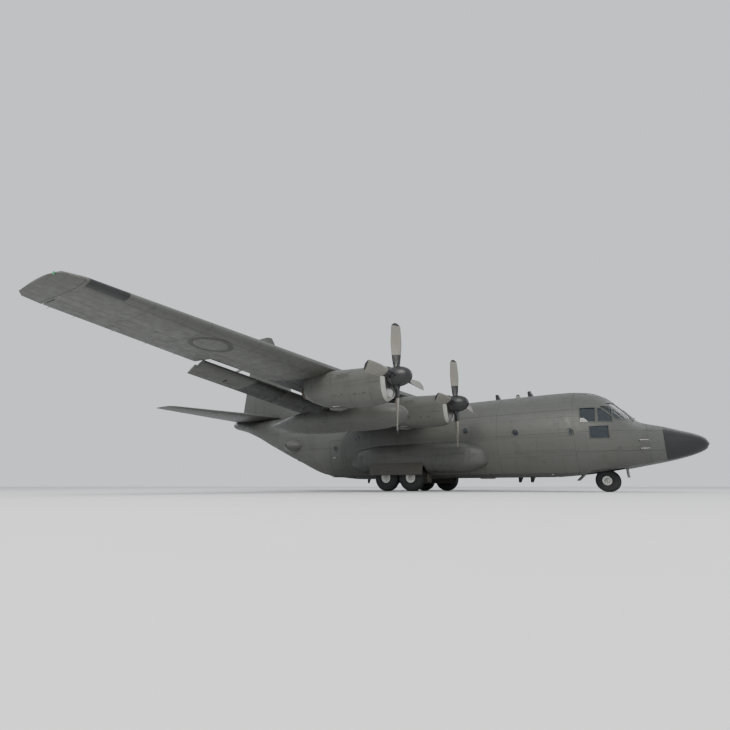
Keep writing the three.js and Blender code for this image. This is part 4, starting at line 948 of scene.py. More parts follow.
def array_tree(name, build, **inputs):
    """A Geometry Nodes tree with named inputs of these kinds, whose shape build makes from them."""
    tree = bpy.data.node_groups.new(name, "GeometryNodeTree")
    interface = tree.interface
    interface.new_socket("Geometry", in_out="INPUT", socket_type="NodeSocketGeometry")
    for key, kind in (*inputs.items(), ("Material", "Material")):
        interface.new_socket(key, in_out="INPUT", socket_type=f"NodeSocket{kind}")
    interface.new_socket("Geometry", in_out="OUTPUT", socket_type="NodeSocketGeometry")
    g = Graph(tree)
    source = tree.nodes.new("NodeGroupInput").outputs
    shape = build(g, source)
    real = g.add("GeometryNodeRealizeInstances", shape)
    painted = g.add("GeometryNodeSetMaterial", real, True, source["Material"])
    g.feed(tree.nodes.new("NodeGroupOutput").inputs[0], painted)
    return tree


def run_tree(tree, base, **values):
    """A plain mesh from a tree that runs on a base mesh, with its inputs set by identifier."""
    modifier = base.modifiers.new("tree", "NODES")
    modifier.node_group = tree
    for item in tree.interface.items_tree:
        if item.item_type == "SOCKET" and item.in_out == "INPUT" and item.name in values:
            modifier[item.identifier] = values[item.name]
    made = linked(base.name, applied(base))
    discard(base)
    if not len(made.data.polygons):
        raise RuntimeError(f"the tree {tree.name} made nothing")
    return made


DOME_FLATNESS = 0.45


def row_shape(g, source):
    """Small domes at an even pitch along edges, each square to the attribute facing."""
    curve = g.add("GeometryNodeMeshToCurve", source["Geometry"])
    even = g.add("GeometryNodeResampleCurve", named={"Curve": curve, "Length": source["Pitch"]},
                 mode="LENGTH")
    head = g.add("GeometryNodeMeshUVSphere", 6, 4, source["Radius"])
    flat = g.add("GeometryNodeTransform", named={"Geometry": head, "Scale": (1, 1, DOME_FLATNESS)})
    facing = g.add("GeometryNodeInputNamedAttribute", "facing", data_type="FLOAT_VECTOR")
    turn = g.add("FunctionNodeAlignRotationToVector", named={"Vector": facing}, axis="Z")
    placed = {"Points": even, "Instance": flat, "Rotation": turn}
    return g.add("GeometryNodeInstanceOnPoints", named=placed).outputs[0]


def circle_shape(g, source):
    """Copies of an object, turned evenly about a line along X or Y through a centre."""
    points = g.add("GeometryNodeMeshLine", source["Count"], None, (0, 0, 0), (0, 0, 0))
    shape = g.add("GeometryNodeObjectInfo", source["Part"], transform_space="ORIGINAL").outputs["Geometry"]
    index = g.add("GeometryNodeInputIndex").outputs[0]
    angle = g.math("DIVIDE", g.times(index, tau), source["Count"])
    turn = g.add("FunctionNodeAxisAngleToRotation", source["Axis"], angle)
    back = g.add("ShaderNodeVectorMath", source["Centre"], (-1, -1, -1), operation="MULTIPLY").outputs[0]
    centred = g.add("GeometryNodeTransform", named={"Geometry": shape, "Translation": back})
    copies = {"Points": points, "Instance": centred, "Rotation": turn}
    placed = g.add("GeometryNodeInstanceOnPoints", named=copies)
    back = {"Geometry": placed.outputs[0], "Translation": source["Centre"]}
    return g.add("GeometryNodeTransform", named=back).outputs[0]


def line_shape(g, source):
    """Copies of an object at even steps along a line."""
    points = g.add("GeometryNodeMeshLine", source["Count"], None, (0, 0, 0), source["Step"])
    shape = g.add("GeometryNodeObjectInfo", source["Part"], transform_space="ORIGINAL").outputs["Geometry"]
    return g.add("GeometryNodeInstanceOnPoints", named={"Points": points, "Instance": shape}).outputs[0]


def wheel_shape(g, source):
    """A closed section swept round a circle that lies square to Y."""
    section = g.add("GeometryNodeMeshToCurve", source["Geometry"])
    circle_line = g.add("GeometryNodeCurvePrimitiveCircle", source["Steps"],
                        named={"Radius": source["Radius"]})
    ring = g.add("GeometryNodeCurveToMesh", circle_line, section)
    return g.add("GeometryNodeTransform", named={"Geometry": ring, "Translation": source["Centre"],
                                                 "Rotation": (pi / 2, 0, 0)})


def make_trees():
    return {
        "row": array_tree("fastener row", row_shape, Pitch="Float", Radius="Float"),
        "circle": array_tree("ring of copies", circle_shape, Part="Object", Count="Int", Axis="Vector",
                             Centre="Vector"),
        "line": array_tree("line of copies", line_shape, Part="Object", Count="Int", Step="Vector"),
        "wheel": array_tree("swept wheel section", wheel_shape, Radius="Float", Steps="Int", Centre="Vector"),
    }


def seed_mesh():
    """A one-point mesh for a tree that makes all its own geometry."""
    mesh = bpy.data.meshes.new("seed")
    mesh.from_pydata([(0, 0, 0)], [], [])
    return linked("seed", mesh)


def copies_round(part, count, axis, centre, paint):
    """count copies of a part about an axis through a centre in full-size metres."""
    made = run_tree(TREES["circle"], seed_mesh(), Part=part, Count=count, Axis=axis,
                    Centre=scaled(centre), Material=PAINTS[paint])
    discard(part)
    return made


def copies_along(part, count, step, paint):
    made = run_tree(TREES["line"], seed_mesh(), Part=part, Count=count, Step=scaled(step),
                    Material=PAINTS[paint])
    discard(part)
    return made


def fastener_rows(paths, sizes, paint, spread=1.0):
    """Rivets along paths of (point, way out) pairs, in full-size metres. spread widens their pitch."""
    points, edges, facing = [], [], []
    for path in paths:
        first = len(points)
        points += [scaled(spot) for spot, _ in path]
        facing += [tuple(out) for _, out in path]
        edges += [(first + i, first + i + 1) for i in range(len(path) - 1)]
    mesh = bpy.data.meshes.new("rows")
    mesh.from_pydata(points, edges, [])
    attribute = mesh.attributes.new("facing", "FLOAT_VECTOR", "POINT")
    attribute.data.foreach_set("vector", np.array(facing, np.float32).ravel())
    return run_tree(TREES["row"], linked("rows", mesh), Pitch=sizes.rivet_pitch * spread,
                    Radius=sizes.rivet_radius, Material=PAINTS[paint])


def swept_ring(section, steps, centre, paint):
    """A closed section of pairs of radius and distance along Y, swept round a wheel's centre."""
    core = min(radius for radius, _ in section)
    count = len(section)
    mesh = bpy.data.meshes.new("section")
    mesh.from_pydata([(SCALE * (radius - core), SCALE * along, 0) for radius, along in section],
                     [(i, (i + 1) % count) for i in range(count)], [])
    made = run_tree(TREES["wheel"], linked("section", mesh), Radius=SCALE * core, Steps=steps,
                    Centre=scaled(centre), Material=PAINTS[paint])
    outward(made)
    return made


TREES = {}
PAINTS = {}


# Body

RING_SEAMS = ((2.12, -0.9), (4.85, -0.9), (8.3, -0.9), (10.3, -0.9), (12.0, 0.15), (13.9, 0.15), (15.6, 0.15),
              (17.45, -0.9), (19.9, 0.0), (23.2, -0.1), (24.6, 0.1), (26.4, -0.9), (27.6, -0.9), (28.7, -0.9))
LEVEL_SEAMS = (1.72, 2.56, 3.62)
SEAM_DEPTH = 0.012


def well_box(skin, paint=None):
    return box(NOSE_WELL["front"] - skin, NOSE_WELL["back"] + skin, -NOSE_WELL["half"] - skin,
               NOSE_WELL["half"] + skin, 0.2, NOSE_WELL["top"] + skin, paint)


def side_well(side, skin, paint=None):
    near, far = MAIN_WELL["inner"] - skin, MAIN_WELL["outer"]
    span = (near, far) if side > 0 else (-far, -near)
    return box(MAIN_WELL["front"] - skin, MAIN_WELL["back"] + skin, *span, 0.2, MAIN_WELL["top"] + skin,
               paint)


def seam_skin(target, front, back, width, levels=LEVEL_SEAMS):
    """Cuts the ring and level seams of the body between two stations."""
    rings = [s for s, _ in RING_SEAMS if front + 0.05 < s < back - 0.05]
    inner = body_loft(max(front - 0.4, 0.5), min(back + 0.4, LENGTH - 0.05), -SEAM_DEPTH)
    ring_slabs = slabs([(s, s + width, -3, 3, 0, 6) for s in rings])
    level_slabs = slabs([(front + 0.02, back - 0.02, -3, 3, z, z + width) for z in levels])
    return grooves(target, inner, ring_slabs, level_slabs)


PORTHOLE_RADIUS = 0.13


def porthole(station, z, side):
    """A round window in its ring on the skin."""
    radius, half = PORTHOLE_RADIUS, body_half_at(station, z)
    slope = (body_half_at(station, z + 0.05) - body_half_at(station, z - 0.05)) / 0.1
    spot = mirrored(at(station, half, z), side)
    out = mirrored(Vector((0, 1, -slope)).normalized(), side)
    ring = turned([(radius, -0.03), (radius + 0.045, -0.03), (radius + 0.045, 0.006), (radius + 0.02, 0.014),
                   (radius, 0.008), (radius, -0.03)], spot, out, 32, "frame")
    pane = turned([(radius + 0.002, -0.03), (radius + 0.002, 0.0), (radius * 0.5, 0.004), (0, 0.005)],
                  spot, out, 32, "glass")
    return ring, pane


def crew_rod(inset, radius, paint=None):
    """A bar on the crew door's hinge line."""
    front, back = CREW_DOOR["front"] + inset, CREW_DOOR["back"] - inset
    ends = [at(s, CREW_HINGE_OUT, CREW_HINGE_Z) for s in (front, back)]
    return bar(*ends, radius, paint=paint)


def build_forward(width, inside):
    """The radome, and the forward skin with the wells and openings in it."""
    radome = cut(body_loft(0, RADOME_END - 0.004, 0, "radome"), body_loft(0.3, RADOME_END + 0.1, -0.06))
    piece(radome, "radome_shell", "radome", smooth=50, slot="black_paint")
    forward = cut(body_loft(RADOME_END + 0.004, FORWARD_END, 0, "skin"),
                  body_loft(RADOME_END + 0.25, FORWARD_END + 1, -WALL, inside))
    crew = cut(common(copy(forward), side_panel(CREW_DOOR, 1, RUN)),
               box(CREW_DOOR["front"] - 0.1, CREW_DOOR["back"] + 0.1, CREW_HINGE_OUT + 0.003, 3, 0.9,
                   CREW_DOOR["sill"] + 0.03))
    housing = common(well_box(0.05, inside), body_loft(2, 6, -0.01))
    forward = union(forward, housing)
    forward = cut(forward, well_box(0, "well"), side_panel(CREW_DOOR, 1, 0), crew_rod(0, 0.021))
    for window in WINDOWS:
        forward = cut(forward, window_prism(*window, 0, "frame"))
    forward = seam_skin(forward, RADOME_END, FORWARD_END, width)
    piece(forward, "forward_skin", "fuselage_forward")
    return crew


def build_crew_door(panel):
    """The panel cut from the skin, with its hinge, steps and handle."""
    middle, steps = 5.7, []
    for z in (1.35, 1.62, 1.89, 2.12):
        out = body_half_at(middle, z) - WALL
        steps.append(soft_box(5.42, 5.98, out - 0.1, out + 0.02, z, z + 0.03, "steel", 0.008))
    out = body_half_at(middle, 1.5)
    handle = soft_box(5.62, 5.78, out - 0.01, out + 0.012, 1.48, 1.53, "steel", 0.006)
    crew = merge("crew door", [panel, crew_rod(0.05, 0.02, "steel"), *steps, handle])
    piece(crew, "crew_door_panel", "crew_door", body="crew_door")


def build_centre(width, inside, hollow):
    """The centre skin with the wheel wells in it, and the side doors cut from it."""
    dark = "well"
    centre = cut(body_loft(FORWARD_END + SEAM, RAMP_HINGE, 0, "skin"), body_loft(*hollow, inside))
    door_skins = {side: common(copy(centre), side_panel(SIDE_DOOR, side, 0.012)) for side in (1, -1)}
    wells = union(side_well(1, 0.07, inside), side_well(-1, 0.07, inside))
    centre = union(centre, common(wells, body_loft(10, 17, -0.01)))
    centre = cut(centre, side_well(1, 0, dark), side_well(-1, 0, dark),
                 side_panel(SIDE_DOOR, 1, 0), side_panel(SIDE_DOOR, -1, 0))
    centre = seam_skin(centre, FORWARD_END, RAMP_HINGE, width)
    piece(centre, "centre_skin", "fuselage_centre")
    for side, label in SIDES:
        ring, pane = porthole(18.13, 2.45, side)
        half = body_half_at(18.3, 1.9)
        grip = soft_box(18.2, 18.4, side * half - 0.012, side * half + 0.012, 1.88, 1.93, "steel", 0.006)
        door = merge("side door", [door_skins[side], ring, pane, grip])
        piece(door, f"side_door_panel_{label}", f"side_door_{label}")


def build_aft(width, inside, hollow):
    opening = side_slab([(RAMP_HINGE, -1), (DOOR_HINGE, -1), (DOOR_HINGE, 3.88), (DOOR_FRONT - 0.5, 4.05),
                         (RAMP_HINGE, HOLD_FLOOR + 1)], -BAY_HALF, BAY_HALF, "well")
    aft = cut(body_loft(RAMP_HINGE + SEAM, LENGTH, 0, "skin"), body_loft(*hollow, inside), opening)
    aft = seam_skin(aft, RAMP_HINGE, LENGTH - 0.6, width, (3.62, 4.6))
    piece(aft, "aft_skin", "fuselage_aft")


def build_body(sizes):
    width, inside, hollow = sizes.seam_width / SCALE, "interior", (RADOME_END + 0.25, CONE_BULKHEAD, -WALL)
    build_crew_door(build_forward(width, inside))
    build_centre(width, inside, hollow)
    build_aft(width, inside, hollow)
    build_aft_fairings()
    windows = [(s, z, side) for s, z in ((7.4, 2.7), (9.9, 2.95), (16.6, 2.95)) for side in (1, -1)]
    parts = [part for s, z, side in (*windows, (5.0, 2.6, -1)) for part in porthole(s, z, side)]
    piece(merge("windows", parts), "hold_windows", slot="glazing")
    build_body_rivets(sizes)


def build_aft_fairings():
    """The pointed fairings at the sides of the cargo door, with their dark knobs."""
    sections = table("out front back half", [
        (1.7, 20.75, 22.75, 0.42),
        (2.25, 21.0, 22.3, 0.36),
        (2.6, 21.3, 21.9, 0.24),
        (2.84, 21.5, 21.72, 0.11),
    ])
    for side, label in SIDES:
        rings = []
        for out in places(1.7, 2.84, first_column(sections), 0.08):
            row = smooth_at(sections, out)
            middle, reach = (row["front"] + row["back"]) / 2, (row["back"] - row["front"]) / 2
            rings.append([at(middle - reach * cos(a), side * out, 2.75 + row["half"] * sin(a))
                          for a in turns(40)])
        shell = cut(loft(rings, "skin", "fairing"), body_loft(RAMP_HINGE, DOOR_HINGE, -WALL / 2))
        knob = turned([(0.1, -0.1), (0.1, 0.0), (0.075, 0.04), (0, 0.05)],
                      at(21.61, side * 2.8, 2.75), (0, side, 0), 24, "radome")
        piece(merge("fairing", [shell, knob]), f"aft_fairing_{label}")


def build_body_rivets(sizes):
    paths = []
    for (station, low), side, shift in product(RING_SEAMS, (1, -1), (-0.045, 0.06)):
        spots = [body_spot(station + shift, mix(low, 1.53, i / 24)) for i in range(25)]
        paths.append([(mirrored(spot, side), mirrored(out, side)) for spot, out in spots])
    for z in (1.78, 2.62, 3.68):
        for side in (1, -1):
            for start, end in ((6.6, 11.6), (15.9, 17.4)) if z < 2 else ((6.5, 17.5), (18.8, 21.0)):
                path = []
                for i in range(31):
                    s = mix(start, end, i / 30)
                    out = Vector((0, body_half_at(s, z + 0.05) - body_half_at(s, z - 0.05), 0.1))
                    out = Vector((0, out.z, -out.y)).normalized()
                    path.append((mirrored((fore(s), body_half_at(s, z), z), side), mirrored(out, side)))
                paths.append(path)
    piece(fastener_rows(paths, sizes, "skin"), "body_rivets")


# Flight deck

def cushion(centre, halves):
    """A crowned pad with a welt round its seam. The thinnest of its three half sizes is its depth."""
    flat = int(np.argmin(halves))
    around = [i for i in range(3) if i != flat]

    def spot(angle, tilt, grow=1.0):
        reach = signed_power(cos(tilt), 0.45) * grow
        point = list(centre)
        point[flat] += halves[flat] * signed_power(sin(tilt), 0.8)
        point[around[0]] += halves[around[0]] * reach * signed_power(cos(angle), 0.4)
        point[around[1]] += halves[around[1]] * reach * signed_power(sin(angle), 0.4)
        return tuple(point)

    tilts = np.radians(np.linspace(-88, 88, 15))
    pad = loft([[spot(a, tilt) for a in turns(40)] for tilt in tilts], "seat", "cushion")
    seam = [spot(a, 0, 1.004) for a in turns(40)]
    welts = [bar(p, q, 0.007, sides=6, paint="panel") for p, q in zip(seam, [*seam[1:], seam[0]])]
    return merge("cushion", [pad, *welts])


def build_windscreen():
    frames, panes = [], []
    outer = body_loft(2, 5, 0.008, "frame")
    for window in WINDOWS:
        strip = common(window_prism(*window, -0.036, "frame"), copy(outer))
        strip = cut(strip, body_loft(1.9, 5.1, -0.02, "frame"), window_prism(*window, 0.008, "frame"))
        frames.append(strip)
        pane = common(window_prism(*window, SEAM, "glass"), body_loft(2, 5, -0.025))
        panes.append(cut(pane, body_loft(1.9, 5.1, -0.055, "glass")))
    discard(outer)
    piece(merge("frames", frames), "window_frames")
    piece(merge("panes", panes), "cockpit_panes", "cockpit_glazing", slot="glazing")


def build_wipers():
    arms = []
    for y in (-0.78, 0.0, 0.78):
        path = [at(s, y + lean, body_top_at(s, y + lean) + 0.022)
                for s, lean in ((2.6, 0.0), (2.72, 0.03), (2.86, 0.07), (3.0, 0.11))]
        arms.append(tube(path, 0.012, 8, "frame"))
        arms.append(turned([(0.028, -0.03), (0.028, 0.03), (0, 0.035)], path[0], (0.3, 0, 1), 14, "frame"))
    piece(merge("wipers", arms), "windscreen_wipers", slot="black_paint")


def build_flight_deck():
    """The floor, the panel with its dials, the levers, the columns and the seats."""
    deck = [common(box(2.3, FORWARD_END - 0.02, -1.5, 1.5, DECK_FLOOR - 0.06, DECK_FLOOR, "interior"),
                   body_loft(1.9, FORWARD_END - SEAM, -WALL - 0.01)),
            common(soft_box(2.75, 3.0, -1.3, 1.3, DECK_FLOOR, 3.05, "panel", 0.03),
                   body_loft(1.9, 6, -WALL - 0.01))]
    for row, y in product(range(2), range(-5, 6)):
        spot = (fore(3.0) - 0.002, y * 0.17, 2.6 + 0.2 * row)
        deck.append(turned([(0.07, 0), (0.07, 0.012), (0.055, 0.012), (0.05, 0.006)], spot, (-1, 0, 0), 20,
                           "frame"))
    deck.append(soft_box(2.95, 3.9, -0.2, 0.2, DECK_FLOOR, DECK_FLOOR + 0.6, "panel", 0.03))
    for y in (-0.12, -0.04, 0.04, 0.12):
        lever = bar(at(3.25, y, DECK_FLOOR + 0.58), at(3.18, y, DECK_FLOOR + 0.78), 0.01, paint="steel")
        deck += [lever, turned([(0, 0), (0.022, 0.005), (0.022, 0.04), (0, 0.05)],
                               at(3.18, y, DECK_FLOOR + 0.77), (0, 0, 1), 12, "tyre")]
    for side, label in reversed(SIDES):
        y = side * 0.55
        for front, back, low, high in ((3.75, 4.3, 0.28, 0.33), (4.27, 4.31, 0.3, 1.24)):
            deck.append(soft_box(front, back, y - 0.23, y + 0.23, DECK_FLOOR + low, DECK_FLOOR + high,
                                 "panel", 0.01))
        pads = [cushion(at(4.0, y, DECK_FLOOR + 0.38), (0.25, 0.24, 0.07)),
                cushion(at(4.21, y, DECK_FLOOR + 0.72), (0.06, 0.22, 0.26)),
                cushion(at(4.21, y, DECK_FLOOR + 1.13), (0.05, 0.14, 0.1))]
        piece(merge("cushions", pads), f"pilot_seat_cushions_{label}", slot="interior")
        deck.append(bar(at(4.0, y, DECK_FLOOR), at(4.0, y, DECK_FLOOR + 0.31), 0.08, 0.05, 16, "steel"))
        deck.append(bar(at(3.35, y, DECK_FLOOR), at(3.32, y, DECK_FLOOR + 0.62), 0.03, paint="panel"))
        arc = [(fore(3.36), y + 0.16 * cos(a), DECK_FLOOR + 0.66 + 0.12 * sin(a))
               for a in np.linspace(radians(-50), radians(230), 15)]
        deck.append(tube(arc, 0.016, 8, "panel"))
    piece(merge("deck", deck), "flight_deck_fittings", "flight_deck", slot="interior")


def build_cockpit(sizes):
    build_windscreen()
    build_wipers()
    build_flight_deck()


# Hold

def body_rib(station, depth, width, low, paint):
    """A frame along the inside of the wall, from a height up to the crown."""
    wall = [(y, z) for y, z in body_half(smooth_at(BODY, station), -WALL - 0.001) if z > low]
    inner = [(y * (1 - depth / 2.1), z - depth * max(0.0, (z - 2.6) / 2.1)) for y, z in wall]
    arcs = [[*arc, *[(-y, z) for y, z in reversed(arc[:-1])]] for arc in (wall, inner)]
    points, count = [], len(arcs[0])
    for s in (station, station + width):
        for arc in arcs:
            points += [at(s, y, z) for y, z in arc]
    faces = []
    for i in range(count - 1):
        faces += [(i, i + 1, count + i + 1, count + i),
                  (2 * count + i, 3 * count + i, 3 * count + i + 1, 2 * count + i + 1),
                  (count + i, count + i + 1, 3 * count + i + 1, 3 * count + i),
                  (i, 2 * count + i, 2 * count + i + 1, i + 1)]
    for i in (0, count - 1):
        faces.append((i, count + i, 3 * count + i, 2 * count + i))
    return solid("rib", points, faces, paint)


def build_hold(sizes):
    inside = "interior"
    plate = box(FORWARD_END + 0.2, RAMP_HINGE - 0.02, -1.56, 1.56, HOLD_FLOOR - 0.17, HOLD_FLOOR, "deck")
    floor = common(plate, body_loft(FORWARD_END - 0.5, RAMP_HINGE, -WALL - SEAM))
    rails = []
    for y in (-1.38, -0.55, 0.55, 1.38):
        rails.append(soft_box(6.8, RAMP_HINGE - 0.05, y - 0.05, y + 0.05, HOLD_FLOOR - 0.01,
                              HOLD_FLOOR + 0.035, "steel", 0.006))
    z = HOLD_FLOOR + 0.03
    roller = bar(at(6.95, -0.55 - 0.04, z), at(6.95, -0.55 + 0.04, z), 0.025, sides=12)
    rollers = copies_along(roller, 46, (-0.25, 0, 0), "steel")
    twin = moved(copy(rollers), y=1.1)
    ring = turned([(0.045, -0.01), (0.06, -0.01), (0.06, 0.01), (0.045, 0.01), (0.045, -0.01)],
                  at(7.1, -0.95, HOLD_FLOOR + 0.008), (0, 0, 1), 16)
    rings = copies_along(ring, 22, (-0.5, 0, 0), "steel")
    others = moved(copy(rings), y=1.9)
    piece(merge("hold floor", [floor, *rails, rollers, twin, rings, others]), "cargo_floor_fittings",
          "cargo_floor", slot="interior")
    full = body_rib(6.7, 0.07, 0.05, HOLD_FLOOR + 0.01, inside)
    high = body_rib(12.1, 0.07, 0.05, 2.0, inside)
    pitch = sizes.rib_pitch / SCALE
    ribs = [copies_along(copy(full), int(5.2 / pitch) + 1, (-pitch, 0, 0), inside),
            copies_along(high, int(3.3 / pitch) + 1, (-pitch, 0, 0), inside)]
    back = moved(copies_along(full, 4, (-0.44, 0, 0), inside), 6.7 - 15.75)
    for s in np.arange(18.85, 25.7, 0.52):
        low = max(HOLD_FLOOR + 0.2, mix(2.2, 4.05, (s - 18.85) / 2.4)) if s < 21.3 else 4.0
        ribs.append(body_rib(float(s), 0.06, 0.05, low, inside))
    bench = [soft_box(s, s + 1.7, side * 1.55 - 0.2, side * 1.55 + 0.2, 1.42, 1.46, inside, 0.01)
             for s in (7.0, 9.0) for side in (1, -1)]
    piece(merge("ribs", [*ribs, back, *bench]), "hold_frames", slot="interior")


# Wing

def hump_loft(paint):
    """The fairing where the wing crosses the body."""
    rings = []
    for station in places(HUMP[0]["station"], HUMP[-1]["station"], first_column(HUMP), 0.22):
        row = smooth_at(HUMP, station)
        arch = []
        for i in range(41):
            angle = pi * i / 40
            arch.append((fore(station), row["half"] * signed_power(cos(angle), 0.8),
                         row["foot"] + (row["top"] - row["foot"]) * abs(sin(angle)) ** 0.6))
        rings.append(arch)
    return loft(rings, paint, "hump")


def span_slab(side, near, far, width):
    """A thin upright slab along the span, between pairs of distance and station."""
    return loft([[at(s, side * out, z), at(s + width, side * out, z), at(s + width, side * out, z + 3),
                  at(s, side * out, z + 3)] for (out, s), z in ((near, 3), (far, 3.2))])


def flap_outline(out):
    nose, lip = flap_nose(out), flap_nose(out) + LIP + RUN
    trail = row_at(WING, out)["trail"]

    def under(s):
        return wing_face(out, s, 1) - LIP_THICK - 0.07

    middle = (under(nose + 0.1) + wing_face(out, nose + 0.1, -1)) / 2
    steps = [mix(lip, trail, i / 8) for i in range(9)]
    head = [(nose + 0.06, mix(middle, wing_face(out, nose, -1), 0.75)), (nose, middle - 0.05),
            (nose, middle + 0.05), (nose + 0.08, under(nose + 0.08) - 0.02),
            (nose + 0.25, under(nose + 0.25))]
    for _ in range(2):
        softer = [head[0]]
        for a, b in zip(head, head[1:]):
            softer += [(mix(a[0], b[0], 0.25), mix(a[1], b[1], 0.25)),
                       (mix(a[0], b[0], 0.75), mix(a[1], b[1], 0.75))]
        head = [*softer, head[-1]]
    lower = [(s, wing_face(out, s, -1)) for s in (nose + 0.22, *steps)]
    return [*head, (lip, under(lip)), *[(s, wing_face(out, s, 1)) for s in steps], *reversed(lower)]


def flap_rails(side, ends):
    """The curved rails that a flap runs on."""
    return [rail_sector(side, ends, out, RAIL["radius"], RAIL["radius"] + RAIL["depth"], RAIL["half"],
                        -RAIL["ahead"], RAIL["behind"], "steel") for out in RAILS[ends]]


def build_flap(side, ends, row, label):
    rings = []
    for out in ends:
        points = [at(s, side * out, z) for s, z in flap_outline(out)]
        rings.append(flap_lowered(side, ends, points))
    shell = loft(rings, "wing", "flap")
    for out in RAILS[ends]:
        groove = rail_sector(side, ends, out, RAIL["radius"] - RUN, RAIL["radius"] + RAIL["depth"] + RUN,
                             RAIL["half"] + 0.004, -40, 60, "well")
        shell = cut(shell, groove)
    node = f"flap_{row}_{label}"
    piece(shell, f"flap_{row}_skin_{label}", node, smooth=40, body=node)


def cove_ribs(side, ends):
    """Shallow stiffeners under the lip over a flap's room."""
    made = []
    count = int((ends[1] - ends[0]) / 0.32)
    for i in range(count):
        out = mix(ends[0] + 0.1, ends[1] - 0.1, i / (count - 1))
        front, lip = flap_nose(out) - 0.02, flap_nose(out) + LIP - 0.04
        top = [wing_face(out, front, 1) - LIP_THICK - 0.028, wing_face(out, lip, 1) - LIP_THICK - 0.004]
        made.append(loft([[at(front, y, top[0]), at(lip, y, top[1]), at(lip, y, top[1] - 0.02),
                           at(front, y, top[0] - 0.026)] for y in (side * out - 0.02, side * out + 0.02)],
                         "rib", "cove rib"))
    return made


def wing_rivets(sizes):
    paths = []
    for side, face in product((1, -1), (1, -1)):
        rows = [[(mix(6.2, 19.6, i / 40), mix(first, last, i / 40)) for i in range(41)]
                for first, last in ((12.5, 12.62), (14.2, 13.5))]
        for out in (6.6, 8.6, 11.6, 13.1, 16.1, 17.9):
            row = row_at(WING, out)
            last = min(row["trail"] - 0.2, flap_nose(out) - 0.2 if out < 14 else 14.0)
            rows.append([(out, s) for s in np.linspace(row["lead"] + 0.4, last, 16)])
        paths += [[(at(s, side * out, wing_face(out, s, face)), (0, 0, face)) for out, s in row]
                  for row in rows]
    piece(fastener_rows(paths, sizes, "wing", 1.3), "wing_rivets")


def number_block(low, high):
    """The number 407 in straight strokes, which reads from below with the nose up."""
    strokes = {"a": (0, 1, 0.5, 1), "b": (0.5, 0.5, 0.5, 1), "c": (0.5, 0, 0.5, 0.5), "d": (0, 0, 0.5, 0),
               "e": (0, 0, 0, 0.5), "f": (0, 0.5, 0, 1), "g": (0, 0.5, 0.5, 0.5)}
    height, pitch, half = 0.9, 0.75, 0.06
    bars = []
    foot, left = 13.6, 13.65
    for digit in ("fgbc", "abcdef", "abc"):
        for stroke in digit:
            x0, y0, x1, y1 = (height * v for v in strokes[stroke])
            front, back = foot - y1 - half, foot - y0 + half
            bars.append(box(front, back, left + x0 - half, left + x1 + half, low, high))
        left += pitch
    return union(*bars)


def wing_mark(side, skin):
    """A plain number under the left wing or a plain ring under the right one, just below the skin."""
    low = wing_face(15.0, 13.4, -1)
    if side > 0:
        shape = number_block(low - 0.5, low + 0.25)
    else:
        shape = turned([(0.55, -0.5), (0.72, -0.5), (0.72, 0.25), (0.55, 0.25), (0.55, -0.5)],
                       at(13.2, -15.2, low), (0, 0, 1), 72)
    mark = moved(common(copy(skin), shape), z=-0.0024)
    mark.data.materials.clear()
    mark.data.materials.append(PAINTS["marking"])
    mark.data.polygons.foreach_set("material_index", [0] * len(mark.data.polygons))
    return mark


def build_wing_centre(width, skin, cove):
    """The wing between the joints, with its coves, rails and the fairing over the body."""
    centre = union(wing_piece(1, 0, WING_BREAK, 0, skin), wing_piece(-1, 0, WING_BREAK, 0, skin))
    behind = box(FLAP_ROOT_NOSE - 0.03, 18, -FLAP_INNER[0] + 0.02, FLAP_INNER[0] - 0.02, 3, 6, cove)
    rooms = [flap_room(side, FLAP_INNER[0] - 0.03, WING_BREAK + 0.05, cove) for side in (1, -1)]
    centre = cut(centre, behind, *rooms)
    inner = union(wing_piece(1, 0, WING_BREAK + 0.1, -0.006), wing_piece(-1, 0, WING_BREAK + 0.1, -0.006))
    marks = slabs([(s, s + width, *span, 3, 6) for s in (12.4, 14.3) for span in ((2.2, 5.5), (-5.5, -2.2))])
    ribs_at = slabs([(11, 15.2, y, y + width, 3, 6) for y in (-4.1, -3.0, 3.0, 4.1)])
    centre = grooves(centre, inner, marks, ribs_at)
    parts = [centre, cut(hump_loft("skin"), body_loft(10, 19, SEAM))]
    for side in (1, -1):
        parts += [*flap_rails(side, FLAP_INNER), *cove_ribs(side, FLAP_INNER)]
    piece(merge("wing centre", parts), "wing_centre_skin", "wing_centre", smooth=30)


